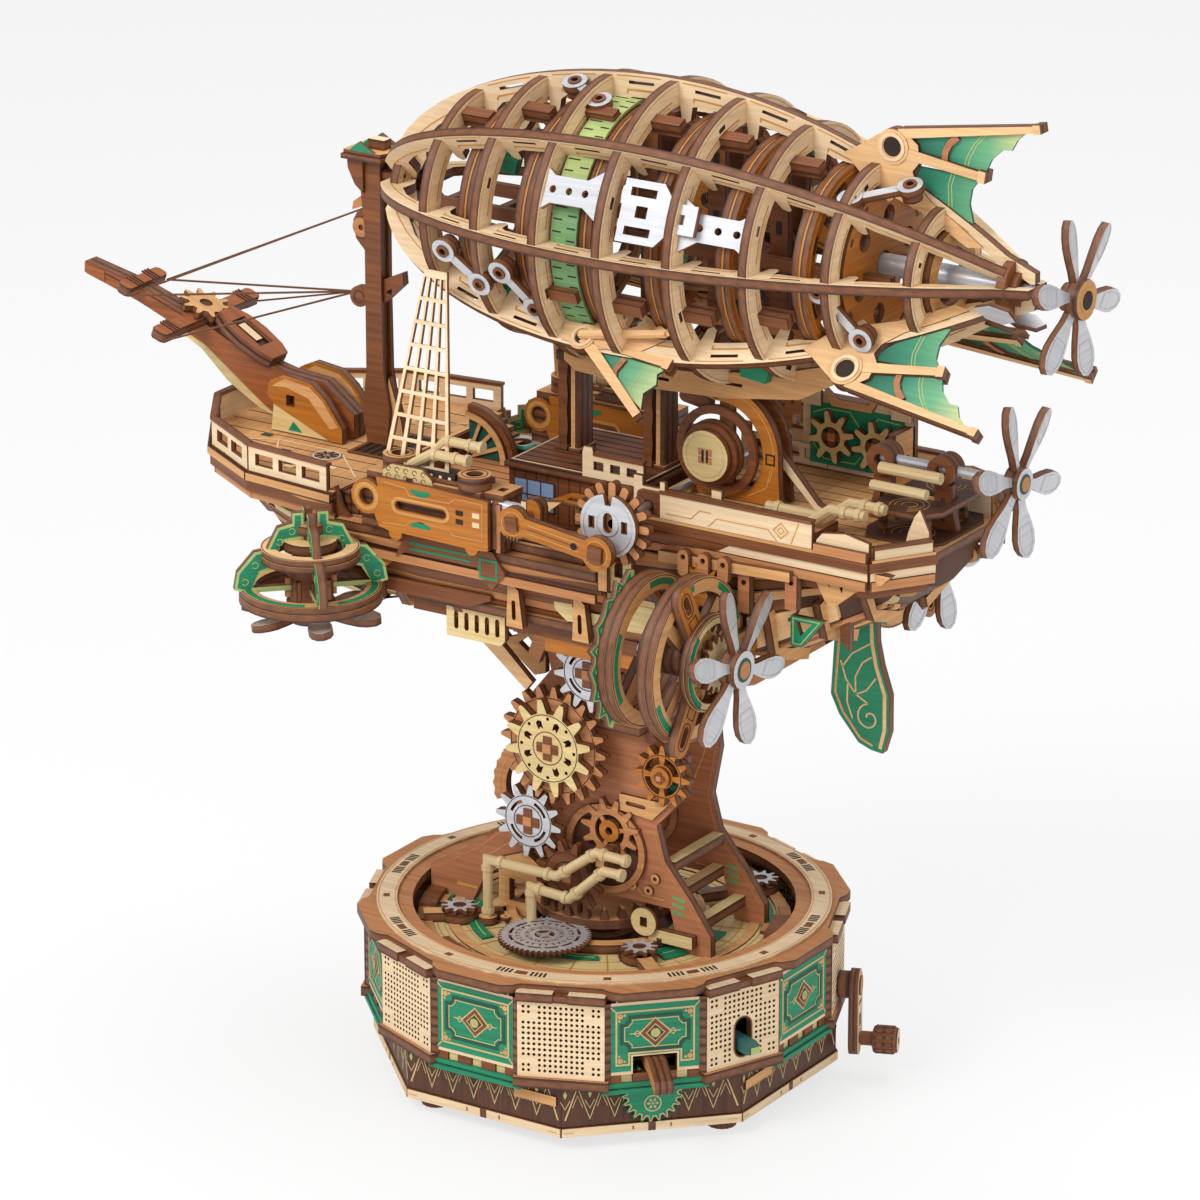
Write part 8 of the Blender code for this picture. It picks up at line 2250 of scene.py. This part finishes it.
def far_cheek_pieces():
    work = Work("far_cheek_plates", "turntable", ["far_cheek"], "pink_ply")
    outline = CHEEK_FEET + [(30, 100), (28, 117.5), (-16, 117.5)] + CHEEK_FRONT
    place = upright(21.5)
    work.sheet(outline, PLY, place, "pink")
    for vent in CHEEK_VENTS:
        for w in (PLY, -LINE):
            work.mark(vent, place, w, "sage")
    engraved = (([(45.4, 50.4), (38.6, 60), (28.6, 72.4), (25.8, 83.6), (28.4, 100), (26.6, 116)], 0.4,
                 "salmon"), ([(-56.4, 51.6), (-40, 62.2), (-27.2, 72.6), (-27.2, 85), (-21.4, 97),
                              (-17.6, 115.6)], 0.4, "salmon"), ([(-12, 112), (22, 112), (24.6, 98), (20, 86),
                                                                 (-14, 86), (-16, 96)], 0.35, "tan"),
                ([(30, 59.6), (22, 59.6), (19, 62.6), (-18, 62.6), (-24, 60)], 0.35, "tan"))
    for run, width, look in engraved:
        work.both(run, width, place, look)
    for w, radius in ((PLY, 11), (-1, 13)):
        work.sheet(circle(radius, 32, (4, 74)), 1, place @ level(w), "salmon",
                   [circle(radius - 2.4, 28, (4, 74))])
    for x, z in ((-8, 104), (4, 99), (16, 104), (-34, 53), (34, 52)):
        work.sheet(circle(2.6, 16, (x, z)), 0.8, place @ level(-0.8), "tan", [circle(1.1, 10, (x, z))])
    for x, z in ((38, 49), (30, 57.6), (30, 68.4)):
        work.layer(box(x - 2, -9, x + 2, 20), 3.4, z, "cream", edge="burnt")
    for x, z in ((-44, 50), (-34, 58)):
        work.layer(box(x - 2, -9, x + 2, 20), 3, z, "cream")
    work.finish()


def plain_pieces():
    """Finishes of the solids that stay."""
    up, out = (0, 0, 1), (0.92388, 0.382683, 0)
    plans = {"base_plate": ("brown", up), "sun_spindle": ("tan", up), "music_bed": ("tan", out),
             "tone_comb": ("steel", up), "pin_cylinder": ("steel", out), "rigging_thread": ("thread", up)}
    for name, (look, axis) in plans.items():
        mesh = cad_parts[name].data
        mesh.materials.clear()
        mesh.materials.append(solid_material(look, axis))


def mix_shaders(tree, share, first, second, output):
    """Takes two shaders, mixed by a share, to an output node."""
    blend = node(tree, "ShaderNodeMixShader")
    tree.links.new(share, blend.inputs[0])
    tree.links.new(first.outputs[0], blend.inputs[1])
    tree.links.new(second.outputs[0], blend.inputs[2])
    tree.links.new(blend.outputs[0], node(tree, output).inputs["Surface"])


def stage_and_light():
    """Pale floor, soft light and the camera."""
    scene = bpy.context.scene
    scene.view_settings.view_transform = "Standard"
    half = 12
    mesh = bpy.data.meshes.new("floor")
    floor_z = -4.5 * MM
    mesh.from_pydata([(-half, -half, floor_z), (half, -half, floor_z), (half, half, floor_z),
                      (-half, half, floor_z)], [], [(0, 1, 2, 3)])
    material = bpy.data.materials.new("floor")
    material.use_nodes = True
    tree = material.node_tree
    tree.nodes.clear()
    path = node(tree, "ShaderNodeLightPath")
    paint = node(tree, "ShaderNodeBsdfDiffuse")
    paint.inputs["Color"].default_value = (0.86, 0.85, 0.84, 1)
    glow = node(tree, "ShaderNodeEmission")
    glow.inputs["Strength"].default_value = 1
    share = node(tree, "ShaderNodeMath", operation="MAXIMUM")
    tree.links.new(path.outputs["Is Camera Ray"], share.inputs[0])
    tree.links.new(path.outputs["Is Glossy Ray"], share.inputs[1])
    part = node(tree, "ShaderNodeMath", operation="MULTIPLY")
    tree.links.new(share.outputs[0], part.inputs[0])
    part.inputs[1].default_value = 0.72
    mix_shaders(tree, part.outputs[0], paint, glow, "ShaderNodeOutputMaterial")
    mesh.materials.append(material)
    floor = bpy.data.objects.new("floor", mesh)
    scene.collection.objects.link(floor)

    world = bpy.data.worlds.new("studio")
    scene.world = world
    world.use_nodes = True
    tree = world.node_tree
    tree.nodes.clear()
    path = node(tree, "ShaderNodeLightPath")
    seen = node(tree, "ShaderNodeBackground")
    seen.inputs["Strength"].default_value = 1
    soft = node(tree, "ShaderNodeBackground")
    soft.inputs["Color"].default_value = (0.95, 0.97, 1, 1)
    soft.inputs["Strength"].default_value = 0.52
    mix_shaders(tree, path.outputs["Is Camera Ray"], soft, seen, "ShaderNodeOutputWorld")

    target = Vector((0, 0, 0.16))
    lamps = (("key", (-0.35, -1.25, 1.35), 0.75, 19), ("fill", (1.5, -0.9, 0.75), 1.1, 7.5),
             ("top", (0.1, 0.35, 1.5), 1, 9))
    for name, place, size, power in lamps:
        lamp = bpy.data.lights.new(name, "AREA")
        lamp.size = size
        lamp.energy = power
        item = bpy.data.objects.new(name, lamp)
        item.location = place
        item.rotation_euler = (target - Vector(place)).to_track_quat("-Z", "Y").to_euler()
        scene.collection.objects.link(item)

    lens = bpy.data.cameras.new("view")
    lens.lens = 193
    lens.sensor_width = 36
    camera = bpy.data.objects.new("view", lens)
    camera.location = (1.0191, -1.5846, 0.8209)
    aim = Vector((-0.00116, -0.00075, 0.14965))
    camera.rotation_euler = (aim - camera.location).to_track_quat("-Z", "Y").to_euler()
    scene.collection.objects.link(camera)
    scene.camera = camera


for pieces in (foot_pieces, skirt_pieces, ledge_pieces, panel_pieces, rim_pieces, badge_pieces,
               balloon_pieces, column_gears, propeller_pieces, nacelle_pieces, cage_pieces, engine_pieces,
               running_gear, arch_pieces, crank_pieces, lever_pieces, hull_pieces, rudder_pieces,
               fore_deck_pieces, waist_deck_pieces, quarter_deck_pieces, gear_panel_pieces, deck_house_pieces,
               mast_pieces, bowsprit_pieces, shroud_pieces, turntable_pieces, arm_pieces, near_cheek_pieces,
               far_cheek_pieces, plain_pieces, stage_and_light):
    pieces()
